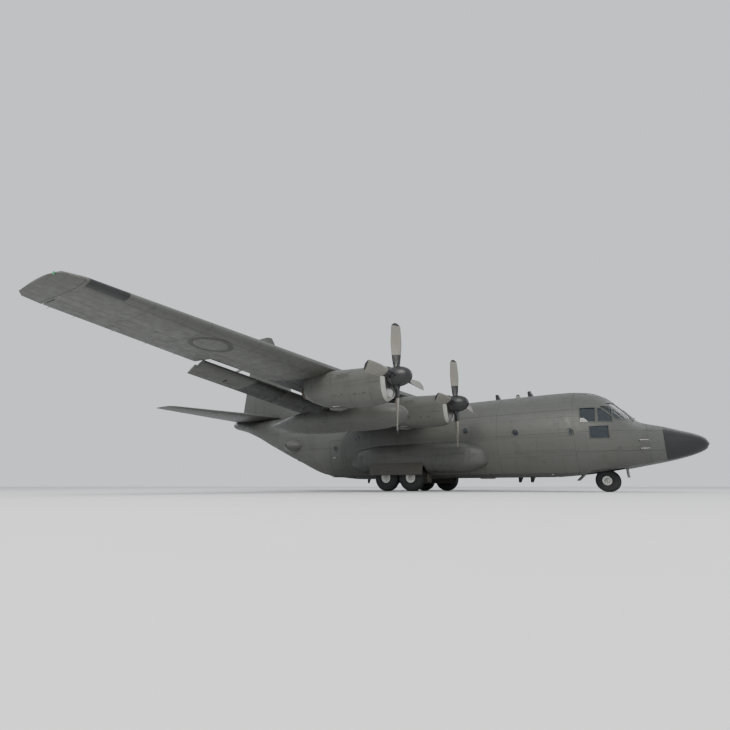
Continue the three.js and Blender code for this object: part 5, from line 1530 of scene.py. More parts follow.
def build_wing_outer(side, label, width, skin, cove):
    """The outer wing and its aileron. Returns the mark on its underside."""
    surface = cut(wing_piece(side, WING_BREAK + 0.006, SPAN / 2, 0, skin),
                  flap_room(side, WING_BREAK - 0.05, FLAP_OUTER[1] + 0.13, cove))
    inner_z, outer_z = (wing_face(*spot, 0) for spot in AILERON_LINE)
    (a, _), (b, _) = AILERON_LINE

    def place(out, station, height):
        return (fore(station), side * out, mix(inner_z, outer_z, (out - a) / (b - a)) + height)

    def half_at(spot):
        return wing_face(*spot, 1) - wing_face(*spot, 0)

    def lines(front, lefts):
        return slabs([(front, 18, side * y, side * y + width, 3, 6.4) for y in lefts])

    aileron, fixed = hinged(surface, AILERON_LINE, place, half_at)
    marks = merge("marks", [span_slab(side, (5.7, 12.4), (19.7, 12.54), width),
                            span_slab(side, (5.7, 14.35), (19.7, 13.58), width)])
    across = lines(11, (6.5, 8.5, 11.5, 13.0, 14.07, 16.0, 17.8, 19.6))
    fixed = grooves(fixed, wing_piece(side, WING_BREAK - 0.2, SPAN / 2, -0.006), marks, across)
    mark = wing_mark(side, fixed)
    patch = common(wing_piece(side, 18.5, 19.5, 0.004, "radome"), box(11.5, 12.47, -21, 21, 3, 7))
    parts = [fixed, *cove_ribs(side, FLAP_OUTER), *flap_rails(side, FLAP_OUTER), patch]
    piece(merge("wing outer", parts), f"wing_outer_skin_{label}", f"wing_outer_{label}", smooth=30)
    marks = merge("marks", [span_slab(side, (14.4, 15.05), (19.3, 14.42), width)])
    tab = grooves(aileron, wing_piece(side, 14, SPAN / 2, -0.005), lines(14, (15.9, 17.7)), marks)
    piece(tab, f"aileron_skin_{label}", f"aileron_{label}", smooth=30, body=f"aileron_{label}")
    return mark


def build_wing(sizes):
    width, skin, cove, decals = sizes.seam_width / SCALE, "wing", "cove", []
    build_wing_centre(width, skin, cove)
    for side, label in SIDES:
        decals.append(build_wing_outer(side, label, width, skin, cove))
        build_flap(side, FLAP_INNER, "inner", label)
        build_flap(side, FLAP_OUTER, "outer", label)
    piece(merge("marks", decals), "wing_markings", smooth=0)
    wing_rivets(sizes)


# Tail

DORSAL = {"front": 19.5, "back": 24.6, "foot": 4.6, "top": 6.5, "half": 0.16}


def fin_piece(grow=0.0, paint=None):
    return loft([[at(s, y, row["out"]) for s, y in foil(row, 0, grow)] for row in FIN], paint, "fin")


def dorsal_fillet(paint):
    rings = []
    for i in range(9):
        share = i / 8
        z = mix(DORSAL["foot"], DORSAL["top"], share)
        front = mix(DORSAL["front"], DORSAL["back"] - 0.6, share)
        half = DORSAL["half"] * (1 - 0.5 * share)
        widest = mix(front, DORSAL["back"], 0.3)
        side = [(mix(front, widest, t), 0.01 + (half - 0.01) * sin(t * pi / 2)) for t in np.linspace(0, 1, 8)]
        side.append((DORSAL["back"], half))
        rings.append([at(s, y, z) for s, y in [*side, *[(s, -y) for s, y in reversed(side)]]])
    return loft(rings, paint, "dorsal fillet")


def upright_slab(near, far, width):
    """A thin slab through the fin, between pairs of height and station."""
    return loft([[at(s, -1, z), at(s + width, -1, z), at(s + width, 1, z), at(s, 1, z)]
                 for z, s in (near, far)])


def elevator_tube(radius, paint=None):
    station, z = ELEVATOR_LINE[0][1], TAIL_Z
    return bar(at(station, -1.4, z), at(station, 1.4, z), radius, sides=32, paint=paint)


def build_fin(width):
    whole = union(fin_piece(0, "fin"), dorsal_fillet("fin"))
    whole = cut(whole, body_loft(18, LENGTH, SEAM), tail_piece(1, SEAM), tail_piece(-1, SEAM))

    def fin_place(height, station, y):
        return fore(station), y, height

    rudder, fin = hinged(whole, RUDDER_LINE, fin_place, lambda spot: foil_face(FIN, 0, *spot, 1))
    levels = slabs([(20, 29.5, -1, 1, z, z + width) for z in (6.1, 7.3, 8.5, 9.7, 10.75)])
    spars = merge("spars", [upright_slab((5.3, 24.6), (11.3, 26.75), width),
                            upright_slab((5.3, 26.5), (11.3, 27.05), width)])
    fin = grooves(fin, fin_piece(-0.006), levels, spars)
    piece(fin, "fin_skin", "fin", smooth=30)
    tab = merge("tab", [upright_slab((6.0, 28.62), (7.9, 28.45), width)])
    bands = slabs([(27.9, 30, -1, 1, z, z + width) for z in (6.0, 7.9, 9.4)])
    rudder = grooves(rudder, fin_piece(-0.005), bands, tab)
    piece(rudder, "rudder_skin", "rudder", smooth=30, body="rudder")


def build_tail(sizes):
    width = sizes.seam_width / SCALE
    build_fin(width)
    halves = []
    for side in (1, -1):
        def place(out, station, height, side=side):
            return fore(station), side * out, TAIL_Z + height
        halves.append(hinged(tail_piece(side, 0, "tail"), ELEVATOR_LINE, place,
                             lambda spot: foil_face(TAIL, 0, *spot, 1)))
    fixed = cut(union(halves[0][1], halves[1][1]), elevator_tube(ELEVATOR_TUBE + 0.01))
    ribs = slabs([(24, 29, y, y + width, 4, 6) for y in (-6.4, -5.0, -3.6, -2.2, 2.2, 3.6, 5.0, 6.4)])
    spars = moved(merge("spars", [span_slab(side, (1.0, 26.3), (7.6, 26.9), width) for side in (1, -1)]), z=1)
    inner = union(tail_piece(1, -0.005), tail_piece(-1, -0.005))
    piece(grooves(fixed, inner, ribs, spars), "tailplane_skin", "tailplane", smooth=30)
    for side, (moving, _) in zip((1, -1), halves):
        marks = slabs([(28.25, 28.25 + width, side * 3.9 - 1.4, side * 3.9 + 1.4, 4, 6),
                       *[(28.25, 30, side * y, side * y + width, 4, 6) for y in (2.5, 5.3)]])
        grooves(moving, tail_piece(side, -0.005), marks)
    elevator = union(halves[0][0], halves[1][0], elevator_tube(ELEVATOR_TUBE, "tail"))
    piece(elevator, "elevator_skin", "elevator", smooth=30, body="elevator")


# Engines and propellers

def nacelle_ring(station, y, hub, grow, steps=64):
    row = smooth_at(NACELLE, station)
    ring = []
    for angle in turns(steps):
        across, rise = signed_power(cos(angle), 0.85), signed_power(sin(angle), 0.85)
        reach = (row["up"] if rise > 0 else row["down"]) + grow
        ring.append((fore(station), y + (row["half"] + grow) * across, hub + reach * rise))
    return ring


def nacelle_loft(front, back, y, hub, grow=0.0, paint=None):
    spots = places(front, back, first_column(NACELLE), 0.12)
    return loft([nacelle_ring(s, y, hub, grow) for s in spots], paint, "nacelle")


def oval(station, y, z, half, height):
    """A ring across the plane's length, nearly a rectangle with round corners."""
    return [(fore(station), y + half * signed_power(cos(a), 0.5), z + height * signed_power(sin(a), 0.6))
            for a in turns(32)]


def build_engines(sizes):
    for number, side, inner in ENGINE_PLACES:
        out, hub = ENGINES[0 if inner else 1]
        build_nacelle(sizes, number, side, inner, side * out, hub)
        build_engine_core(number, side * out, hub)


def long_bar(front, back, y, z, radius, paint=None):
    """A round bar along the plane."""
    return bar(at(front, y, z), at(back, y, z), radius, sides=48, paint=paint)


def nacelle_skin(width, side, inner, y, hub, low):
    """The skin with the room, the mouth and the exhaust cut out of it, and with its seams."""
    shell = nacelle_loft(NACELLE_FRONT, 13.3, y, hub, 0, "nacelle")
    pipe = long_bar(12.4, 13.42, y, low, EXHAUST_RADIUS + 0.04, "burnt")
    boss = bar(at(9.5, y, hub), at(SPINNER_BACK + SEAM, y, hub), 0.16, sides=32, paint="steel")
    room = nacelle_loft(9.75, 12.5, y, hub, -0.07, "well")
    throat = ((9.2, 0.3, 0.17), (9.42, 0.28, 0.15), (9.55, 0.26, 0.13), (9.9, 0.26, 0.13))
    mouth = loft([oval(s, y, hub - 0.57, half, height) for s, half, height in throat], "well", "mouth")
    bore = long_bar(12.4, 13.6, y, low, EXHAUST_RADIUS, "burnt")
    wing = wing_piece(side, 3, 7, SEAM) if inner else wing_piece(side, WING_BREAK - 1.5, SPAN / 2, SEAM)
    shell = cut(union(shell, boss, pipe), room, mouth, bore, wing)
    rings = slabs([(s, s + width, y - 1, y + 1, hub - 1.2, hub + 0.4) for s in (9.98, 10.9, 11.75, 12.75)])
    split = slabs([(9.98, 12.75, y - 1, y + 1, hub - 0.06, hub - 0.06 + width)])
    return grooves(shell, nacelle_loft(9.6, 13.2, y, hub, -0.007), rings, split)


def nacelle_rim(y, hub):
    """The bare lip of the nacelle round the spinner's back."""
    profile = ((9.53, -0.01), (9.53, 0.004), (9.45, 0.007), (9.4, 0.004), (9.376, -0.02), (9.385, -0.05),
               (9.42, -0.06))
    rim = loft([nacelle_ring(s, y, hub, grow) for s, grow in profile], "bare")
    return cut(rim, long_bar(9.2, 9.6, y, hub, 0.36, "bare"))


def nacelle_rivets(y, hub):
    """Paths of points of the nacelle's lower half, each with the way out of the skin."""
    paths = []
    for s in (9.9, 10.05, 10.83, 10.97, 11.68, 11.82, 12.68):
        ring, path = nacelle_ring(s, y, hub, 0, 96), []
        for i in range(49, 96):
            spot, before, after = (Vector(ring[k % 96]) for k in (i, i - 1, i + 1))
            path.append((spot, -Vector((1, 0, 0)).cross(after - before).normalized()))
        paths.append(path)
    return paths


def build_nacelle(sizes, number, side, inner, y, hub):
    """A nacelle with its rim, latches, louvres, exhaust lip and scoop."""
    low = hub - EXHAUST_DROP
    parts = [nacelle_skin(sizes.seam_width / SCALE, side, inner, y, hub, low), nacelle_rim(y, hub)]
    for (s, drop), turn in product(((10.2, 0.55), (10.6, 0.55), (11.2, 0.5), (11.55, 0.5)), (1, -1)):
        wall, z = y + turn * smooth_at(NACELLE, s)["half"] * 0.86, hub - drop
        parts.append(soft_box(s, s + 0.12, wall - 0.02, wall + 0.03 * turn, z, z + 0.05, "frame", 0.008, 2))
    for k in range(6):
        s = 11.0 + 0.09 * k
        wall = y + side * smooth_at(NACELLE, s)["half"] * 0.985
        parts.append(soft_box(s, s + 0.03, wall - 0.02, wall + 0.02, hub + 0.1, hub + 0.3, "nacelle", 0.006,
                              1))
    lip = long_bar(13.36, 13.46, y, low, EXHAUST_RADIUS + 0.055, "burnt")
    parts.append(cut(lip, long_bar(13.3, 13.5, y, low, EXHAUST_RADIUS + 0.012)))
    parts.append(loft([oval(s, y, hub - drop, half, height) for s, drop, half, height in
                       ((11.35, 0.93, 0.14, 0.02), (11.7, 0.93, 0.15, 0.09), (12.1, 0.86, 0.13, 0.09))],
                      "nacelle", "scoop"))
    parts.append(fastener_rows(nacelle_rivets(y, hub), sizes, "nacelle"))
    piece(merge("nacelle", parts), f"nacelle_shell_{number}", f"nacelle_{number}", smooth=35)


def build_engine_core(number, y, hub):
    floor, shaft = hub - row_at(NACELLE, 10.6)["down"] + 0.07, hub - 0.14
    case = turned([(0.16, 0), (0.2, 0.1), (0.2, 0.4), (0.17, 0.5), (0.17, 0.7), (0.215, 0.76),
                   (0.215, 0.84), (0.18, 0.9), (0.18, 1.3), (0.21, 1.36), (0.21, 1.44), (0.17, 1.5),
                   (0.14, 1.9), (0.2, 2.0)], at(10.0, y, shaft), (-1, 0, 0), 40, "steel")
    bolt = bar(at(10.74, y, hub + 0.055), at(10.77, y, hub + 0.055), 0.01, sides=6)
    ring = copies_round(bolt, 20, (1, 0, 0), at(10.75, y, shaft), "bare")
    box_part = soft_box(10.1, 11.9, y - 0.22, y + 0.22, floor + 0.01, hub - 0.34, "steel", 0.04)
    pipes = [tube([at(10.2 + d, y - 0.2, hub - 0.4), at(10.5 + d, y - 0.25, hub - 0.2),
                   at(11.2 + d, y - 0.25, hub - 0.15), at(11.6, y - 0.15, hub - 0.2)], 0.014, 8, "pipe")
             for d in (0, 0.1, 0.2)]
    engine = merge("engine", [case, ring, box_part, *pipes])
    piece(engine, f"engine_core_{number}", f"engine_{number}", slot="engine_steel")


BLADE_TIP = 1.88


def blade_body(y, hub):
    """The blade that points up, whose end rounds off from BLADE_TIP outwards."""
    rings, reach = [], []
    steps = 14
    for radius in places(0.3, PROP_RADIUS, first_column(BLADE), 0.06):
        row = smooth_at(BLADE, radius)
        lean = radians(row["angle"])
        beyond = max(0.0, (radius - BLADE_TIP) / (PROP_RADIUS + 0.008 - BLADE_TIP))
        tip = sqrt(max(0.0, 1 - beyond**2))
        chord, thick = row["chord"] * max(tip, 0.12), row["thick"] * max(tip, 0.3)
        ring = []
        for i in range(2 * steps):
            angle = pi * i / steps
            along = cos(angle) / 2
            off = sin(angle) * (0.5 - 0.18 * cos(angle)) * (1 if angle < pi else 0.8)
            a, b = -along * chord, off * thick
            ring.append((fore(PROP_PLANE) + a * sin(lean) + b * cos(lean),
                         y + a * cos(lean) - b * sin(lean), hub + radius))
        rings.append(ring)
        reach += [radius / PROP_RADIUS] * len(ring)
    return loft(rings, "blade", "blade", attributes=[("reach", reach)])


def build_propellers(sizes):
    for number, side, inner in ENGINE_PLACES:
        out, hub = ENGINES[0 if inner else 1]
        build_propeller(number, side * out, hub)


def build_propeller(number, y, hub):
    centre = at(PROP_PLANE, y, hub)
    dome = [(SPINNER_RADIUS * sqrt(1 - t**2.1), mix(9.08, SPINNER_TIP, t)) for t in np.linspace(0, 1, 20)]
    spinner = turned([(SPINNER_RADIUS, SPINNER_BACK), (SPINNER_RADIUS, 9.25), (SPINNER_RADIUS - 0.006, 9.245),
                      (SPINNER_RADIUS - 0.006, 9.235), (SPINNER_RADIUS, 9.23), *dome],
                     (LENGTH / 2, y, hub), (-1, 0, 0), 64, "radome")
    cuff = turned([(0.125, 0.3), (0.125, 0.42), (0.11, 0.44), (0.1, 0.5)], centre, (0, 0, 1), 32,
                  "radome")
    blades = copies_round(blade_body(y, hub), 4, (1, 0, 0), centre, "blade")
    cuffs = copies_round(cuff, 4, (1, 0, 0), centre, "radome")
    screw = turned([(0.014, -0.004), (0.012, 0.006), (0, 0.007)],
                   at(9.21, y, hub + SPINNER_RADIUS - 0.004), (0, 0, 1), 12)
    screws = copies_round(screw, 28, (1, 0, 0), centre, "steel")
    node = f"propeller_{number}"
    made = merge("propeller", [spinner, blades, cuffs, screws])
    piece(made, f"propeller_assembly_{number}", node, smooth=40, body=node, slot="propeller")


# External tanks

def build_tanks(sizes):
    for side, label in SIDES:
        build_tank(sizes, side, label)


def tank_pylon(side, y, skin):
    """The blade between a tank and the wing."""
    length = PYLON_BACK - PYLON_FRONT
    half = [(PYLON_FRONT + length * t, PYLON_HALF * 2.1 * (0.95 * sqrt(t) * (1 - t) ** 0.6))
            for t in np.linspace(0, 1, 24)]
    outline = [*[(s, y + w) for s, w in half], *[(s, y - w) for s, w in reversed(half[1:-1])]]
    return cut(plan_slab(outline, TANK_Z, wing_lift(TANK_OUT), skin),
               wing_piece(side, WING_BREAK - 1.5, SPAN / 2, SEAM))


def build_tank(sizes, side, label):
    """A tank whose nose is part of an ellipse, with bands, caps, a drain and its pylon."""
    y, skin = side * TANK_OUT, "tank"
    profile = [(TANK_RADIUS * sin(a), TANK_FRONT + 1.5 * (1 - cos(a))) for a in np.linspace(0, pi / 2, 20)]
    tail = table("station radius", [(11.55, TANK_RADIUS), (14.2, TANK_RADIUS), (15.5, 0.52), (16.5, 0.38),
                                    (17.4, 0.15), (TANK_BACK, 0.012)])
    seams = (12.6, 13.9, 15.2, 16.4)
    spots = sorted({*places(11.6, TANK_BACK, first_column(tail), 0.15),
                    *[s + d for s in seams for d in (0, 0.003, 0.018, 0.021)]})
    for s in spots:
        drop = 0.006 if any(seam + 0.002 < s < seam + 0.019 for seam in seams) else 0
        profile.append((smooth_at(tail, s)["radius"] - drop, s))
    body = turned(profile, (LENGTH / 2, y, TANK_Z), (-1, 0, 0), 72, skin)
    top = union(body, tank_pylon(side, y, skin))
    caps = [turned([(0.09, 0), (0.09, 0.008), (0.075, 0.014)],
                   at(s, y, TANK_Z + smooth_at(tail, max(s, 11.6))["radius"] - 0.003), (0, 0, 1), 28,
                   "steel") for s in (12.0, 15.3)]
    drain = turned([(0.05, -0.01), (0.05, 0.012), (0.03, 0.02)],
                   at(13.2, y, TANK_Z - TANK_RADIUS + 0.003), (0, 0, -1), 20, "steel")
    rivets = []
    for s in (12.5, 12.72, 13.8, 14.02):
        rivets.append([(at(s, y + TANK_RADIUS * cos(a), TANK_Z + TANK_RADIUS * sin(a)), (0, cos(a), sin(a)))
                       for a in np.linspace(-pi, 0, 31)])
    made = merge("tank", [top, *caps, drain, fastener_rows(rivets, sizes, skin)])
    piece(made, f"tank_shell_{label}", f"tank_{label}", smooth=35)


# Landing gear

def tyre_profile(radius, width, rim, treads):
    """Half of a tyre's section mirrored: pairs of radius and distance from the wheel's middle."""
    half, deep, lip = width / 2, radius - 0.014, 0.012
    wall = ((0.62, 0.96), (0.72, 1), (0.82, 0.97), (0.9, 0.86), (0.955, 0.7), (0.985, 0.55))
    side = [(rim, half * 0.7), (rim + 0.03, half * 0.78), *[(radius * r, half * w) for r, w in wall]]
    tread = []
    for place in treads:
        tread += [(radius - 0.004 * abs(place + lip) / half, place + lip), (deep, place + 0.01),
                  (deep, place - 0.01), (radius - 0.004 * abs(place - lip) / half, place - lip)]
    return [*side, *tread, *[(r, -along) for r, along in reversed(side)]]


def wheel_hub(centre, side, radius, half, bore):
    """A cast wheel with a dished face on the outside, and its tie bolts."""
    x, y, z = centre

    def studs(number, low, high, out, thick, sides, paint):
        ends = [(x, y + side * half * reach, z + radius * out) for reach in (low, high)]
        return copies_round(bar(*ends, thick, sides=sides), number, (0, 1, 0), centre, paint)

    disc = ((0.97, -0.7), (1, -0.68), (1, 0.68), (0.97, 0.72), (0.86, 0.72), (0.8, 0.5), (0.55, 0.4),
            (0.42, 0.48), (0.36, 0.62))
    profile = [(bore, -half * 0.7), *[(radius * r, half * w) for r, w in disc], (bore, half * 0.62),
               (bore, -half * 0.7)]
    made = turned(profile, centre, (0, side, 0), 56, "rim")
    bolts = studs(10, 0.4, 0.52, 0.68, 0.014, 6, "steel")
    # painted shade: near-black studs on the wheel's face stand for its holes
    painted_holes = studs(8, 0.43, 0.47, 0.5, 0.022, 16, "well")
    dome = ((0, 0.5), (0.96, 0.5), (0.96, 0.8), (0.7, 0.86), (0, 0.87))
    cap = turned([(bore * r, half * w) for r, w in dome], centre, (0, side, 0), 28, "steel")
    return merge("rim", [made, bolts, painted_holes, cap])


def torque_link(x, y, high, low, reach, thick, paint):
    """Two hinged arms behind a strut."""
    knee, middle = x - reach, (high + low) / 2
    half, thin = 0.06, thick * 0.7
    arms = [bar((x - 0.08, y + side * half, z), (knee, y + side * 0.015, middle), thick, thin, 10, paint)
            for z in (high, low) for side in (-1, 1)]
    pin = bar((knee, y - half, middle), (knee, y + half, middle), thick * 1.3, sides=14, paint=paint)
    return [*arms, pin]


def sponson_loft(side, grow=0.0, paint=None):
    rings = []
    for s in places(SPONSON[0]["station"], SPONSON[-1]["station"], first_column(SPONSON), 0.16):
        row = smooth_at(SPONSON, s)
        middle, ring = (row["top"] + row["bottom"]) / 2, []
        for i in range(41):
            angle = pi * i / 40 - pi / 2
            across = abs(cos(angle)) ** 0.7
            rise = signed_power(sin(angle), 0.7)
            ring.append((fore(s), side * (SPONSON_INNER + (row["out"] + grow - SPONSON_INNER) * across),
                         middle + ((row["top"] - row["bottom"]) / 2 + grow) * rise))
        rings.append(ring)
    return loft(rings, paint, "sponson")


def build_gear(sizes):
    for side, label in SIDES:
        build_sponson(side, label, sizes.seam_width / SCALE)
        build_main_legs(side, label)
        build_main_wheels(side, label)
        build_main_doors(side, label)
    build_nose_gear()


def build_sponson(side, label, width):
    skin = "sponson"
    shell = cut(sponson_loft(side, 0, skin), body_loft(8, 18, SEAM), side_well(side, 0, "well"))
    rings = slabs([(s, s + width, side * 2.1 - 0.8, side * 2.1 + 0.8, 0.5, 3)
                   for s in (9.6, 10.6, 11.6, 15.7, 16.5)])
    levels = slabs([(8.9, 17.1, side * 2.2 - 0.7, side * 2.2 + 0.7, z, z + width) for z in (1.25, 2.1)])
    shell = grooves(shell, sponson_loft(side, -0.008), rings, levels)
    bits = [shell]
    for s in (9.9, 11.0, 16.0):
        half = smooth_at(SPONSON, s)["out"]
        bits.append(soft_box(s, s + 0.36, side * half - 0.012, side * half + 0.006, 1.45, 1.9, skin, 0.01, 2))
    piece(merge("sponson", bits), f"sponson_skin_{label}", f"sponson_{label}", smooth=35)


def upright(profile, x, y, sides):
    """A painted part of a leg, turned about a vertical line."""
    return turned(profile, (x, y, 0), (0, 0, 1), sides, "gear")


def build_main_legs(side, label):
    paint = "gear"
    y, top, parts = side * STRUT_OUT, MAIN_WELL["top"], []
    for station in MAIN_STATIONS:
        x = fore(station)
        parts.append(upright([(0.075, 1.06), (0.1, 1.1), (0.1, 1.16), (0.088, 1.18), (0.088, 1.6),
                              (0.1, 1.63), (0.1, top - SEAM), (0, top - SEAM)], x, y, 40))
        parts.append(bar((x, y, 0.66), (x, y, 1.08), 0.062, sides=36, paint="chrome"))
        parts.append(upright([(0.07, 0.58), (0.1, 0.62), (0.1, 0.82), (0.075, 0.86)], x, y, 36))
        axle = (x, side * 2.1, MAIN_RADIUS)
        parts.append(bar((x, y, MAIN_RADIUS), axle, MAIN_AXLE, sides=28, paint="steel"))
        brake = turned([(0.09, 0), (0.2, 0), (0.2, 0.07), (0.17, 0.09), (0.09, 0.09), (0.09, 0)],
                       (x, side * 1.9, MAIN_RADIUS), (0, side, 0), 40, "steel")
        parts += [brake, *torque_link(x, y, 1.2, 0.74, 0.24, 0.022, paint)]
        line = [(x - 0.1, y - 0.03, 1.55), (x - 0.15, y, 1.3), (x - 0.13, y + side * 0.04, 1.05),
                (x - 0.16, y + side * 0.06, 0.85), (x - 0.12, side * 1.9, 0.78)]
        parts.append(tube(line, 0.011, 8, "pipe"))
    ends = [fore(s) for s in MAIN_STATIONS]
    parts.append(bar((ends[0], y, 1.25), (ends[1], y, 1.25), 0.06, sides=28, paint=paint))
    for x in (ends[0] - 0.2, ends[1] + 0.2, sum(ends) / 2):
        parts.append(turned([(0.08, -0.03), (0.085, 0), (0.08, 0.03)], (x, y, 1.25), (1, 0, 0), 24,
                            "steel"))
    piece(merge("legs", parts), f"main_legs_{label}", f"main_leg_{label}", slot="gear_steel")


def build_main_wheels(side, label):
    grooves_at = (0.12, 0.06, 0.0, -0.06, -0.12)
    for station, end in zip(MAIN_STATIONS, ("front", "rear")):
        centre = at(station, side * MAIN_OUT, MAIN_RADIUS)
        where = f"{end}_{label}"
        tyre = swept_ring(tyre_profile(MAIN_RADIUS, MAIN_WIDTH, MAIN_RIM + SEAM, grooves_at), 96, centre,
                          "tyre")
        piece(tyre, f"main_tyre_rubber_{where}", f"main_tyre_{where}", smooth=45, body=f"wheel_{where}",
              slot="tyre")
        hub = wheel_hub(centre, side, MAIN_RIM, MAIN_WIDTH / 2, MAIN_AXLE + SEAM)
        piece(hub, f"main_hub_{where}", f"main_rim_{where}", body=f"wheel_{where}", slot="wheel_rim")


def build_main_doors(side, label):
    front, back = MAIN_WELL["front"] + 0.05, MAIN_WELL["back"] - 0.05
    inboard = [(1.58, 0.42), (1.62, 0.42), (1.625, 1.4), (1.585, 1.4)]
    lower = [(2.62, 0.82), (2.66, 0.83), (2.545, 1.5), (2.505, 1.49)]

    def door(outline, keep_off):
        stops = [mix(front, back, i / 16) for i in range(17)]
        slab = loft([[at(s, side * a, z) for a, z in outline] for s in stops], "belly", "door")
        return rounded(cut(slab, *keep_off), 0.008, 2, 50)

    around = (body_loft(8, 18, SEAM), sponson_loft(side, SEAM))
    y = side * 1.63
    stiff = soft_box(front + 0.15, front + 0.2, y - 0.02, y + 0.02, 0.5, 0.86, "interior", 0.008, 1)
    stiff = copies_along(stiff, 7, (-0.45, 0, 0), "interior")
    rail = soft_box(front + 0.1, back - 0.1, y - 0.015, y + 0.015, 0.64, 0.68, "interior", 0.008, 1)
    inner = merge("inner door", [door(inboard, around), stiff, rail])
    piece(inner, f"main_door_panel_inner_{label}", f"main_door_inner_{label}")
    piece(door(lower, [sponson_loft(side, SEAM)]), f"main_door_panel_outer_{label}",
          f"main_door_outer_{label}")


def build_nose_leg(x, paint):
    top = NOSE_WELL["top"]
    leg = [upright([(0.09, LEG_FOOT), (0.11, LEG_FOOT + 0.03), (0.11, LEG_FOOT + 0.1),
                    (0.092, LEG_FOOT + 0.12), (0.092, 1.5), (0.11, 1.54), (0.11, top - SEAM),
                    (0, top - SEAM)], x, 0, 44)]
    foot, head = Vector((x, 0, 1.05)), Vector((fore(NOSE_WELL["back"] - 0.1), 0, top - 0.06))
    for side in (-1, 1):
        leg.append(bar(foot + Vector((0, side * 0.1, 0)), head + Vector((0, side * 0.13, 0)), 0.032,
                       sides=20, paint=paint))
    leg.append(bar(foot, head, 0.024, sides=16, paint="chrome"))
    leg.append(bar(foot, foot.lerp(head, 0.55), 0.045, sides=20, paint=paint))
    leg.append(soft_box(3.8, NOSE_WELL["back"] - SEAM, -0.15, 0.15, top - 0.1, top - SEAM, paint, 0.02))
    for side in (-1, 1):
        y, z, down = side * 0.16, 1.2, (1, 0, -0.1)
        lamp = turned([(0.05, 0), (0.075, 0.05), (0.08, 0.1), (0.07, 0.105), (0, 0.1)],
                      (x + 0.1, y, z), down, 28, "chrome")
        lens = turned([(0.07, 0.1), (0.05, 0.118), (0, 0.123)], (x + 0.1, y, z), down, 28, "lens")
        leg += [lamp, lens, bar((x, side * 0.08, z), (x + 0.11, y, z), 0.016, sides=10, paint=paint)]
    leg.append(tube([(x - 0.1, 0.05, 1.6), (x - 0.15, 0.07, 1.3), (x - 0.12, 0.06, 1.0)], 0.01, 8, "pipe"))
    piece(merge("nose leg", leg), "nose_leg_strut", "nose_leg", slot="gear_steel")


def build_nose_fork(x, paint):
    post = [bar((x, 0, NOSE_RADIUS + 0.08), (x, 0, LEG_FOOT - SEAM), 0.062, sides=36, paint="chrome")]
    profile = ((0, -0.1), (0.07, -0.1), (0.08, -0.06), (0.08, 0.1), (0.06, 0.14), (0, 0.14))
    knuckle = upright([(radius, NOSE_RADIUS + z) for radius, z in profile], x, 0, 36)
    bore = bar((x, -0.2, NOSE_RADIUS), (x, 0.2, NOSE_RADIUS), NOSE_AXLE + SEAM, sides=24)
    post += [cut(knuckle, bore), *torque_link(x, 0, 0.83, 0.6, 0.18, 0.018, paint)]
    piece(merge("nose fork", post), "nose_fork_post", "nose_fork", body="nose_steering", slot="gear_steel")


def build_nose_wheels(x):
    wheels = [bar((x, -NOSE_OUT, NOSE_RADIUS), (x, NOSE_OUT, NOSE_RADIUS), NOSE_AXLE, sides=24,
                  paint="steel")]
    for side in (1, -1):
        centre = (x, side * NOSE_OUT, NOSE_RADIUS)
        profile = tyre_profile(NOSE_RADIUS, NOSE_WIDTH, NOSE_RIM + SEAM, (0.07, 0.0, -0.07))
        wheels.append(swept_ring(profile, 88, centre, "tyre"))
        wheels.append(wheel_hub(centre, side, NOSE_RIM, NOSE_WIDTH / 2, NOSE_AXLE + 0.003))
    piece(merge("nose wheels", wheels), "nose_wheel_pair", "nose_wheels", smooth=45, body="nose_wheels",
          slot="tyre")


def build_nose_doors():
    for name, hinge, station, foot, low, half in (
            ("front", NOSE_WELL["front"] - 0.06, 3.2, NOSE_WELL["front"] - 0.09, 0.62, 0.45),
            ("rear", NOSE_WELL["back"] + 0.02, 4.8, NOSE_WELL["back"] + 0.45, 0.5, 0.4)):
        edge, thick = row_at(BODY, station)["belly"] + 0.12, 0.04
        made = side_slab([(foot, low), (foot + thick, low), (hinge + thick, edge), (hinge, edge)],
                         -half, half, "belly")
        panel = rounded(cut(made, body_loft(2, 7, SEAM)), 0.012, 3, 50)
        piece(panel, f"nose_door_panel_{name}", f"nose_door_{name}")


def build_nose_gear():
    x, paint = fore(NOSE_STATION), "gear"
    build_nose_leg(x, paint)
    build_nose_fork(x, paint)
    build_nose_wheels(x)
    build_nose_doors()


# Ramp and rear doors

def across_bay(station, z, radius, sides):
    """A steel hinge bar across the door opening."""
    reach = BAY_HALF - SEAM
    return bar(at(station, -reach, z), at(station, reach, z), radius, sides=sides, paint="steel")


def belly_panel(outline, paint, beyond, belly_z, stations, lefts, width):
    """A door's slab between two stations, with seams in its lower side."""
    half, front, back = BAY_HALF - RUN, outline[0][0], outline[1][0]
    start, end, top = front - beyond, back + beyond, 6
    inner = side_slab([(start, belly_z(start) + 0.008), (end, belly_z(end) + 0.008), (end, top),
                       (start, top)], -2, 2)
    lines = slabs([(s, s + width, -half, half, 0.5, belly_z(s) + 0.05) for s in stations])
    along = slabs([(front + 0.1, back - 0.1, y, y + width, 0.5, 4.2) for y in lefts])
    return grooves(side_slab(outline, -half, half, paint), inner, lines, along)


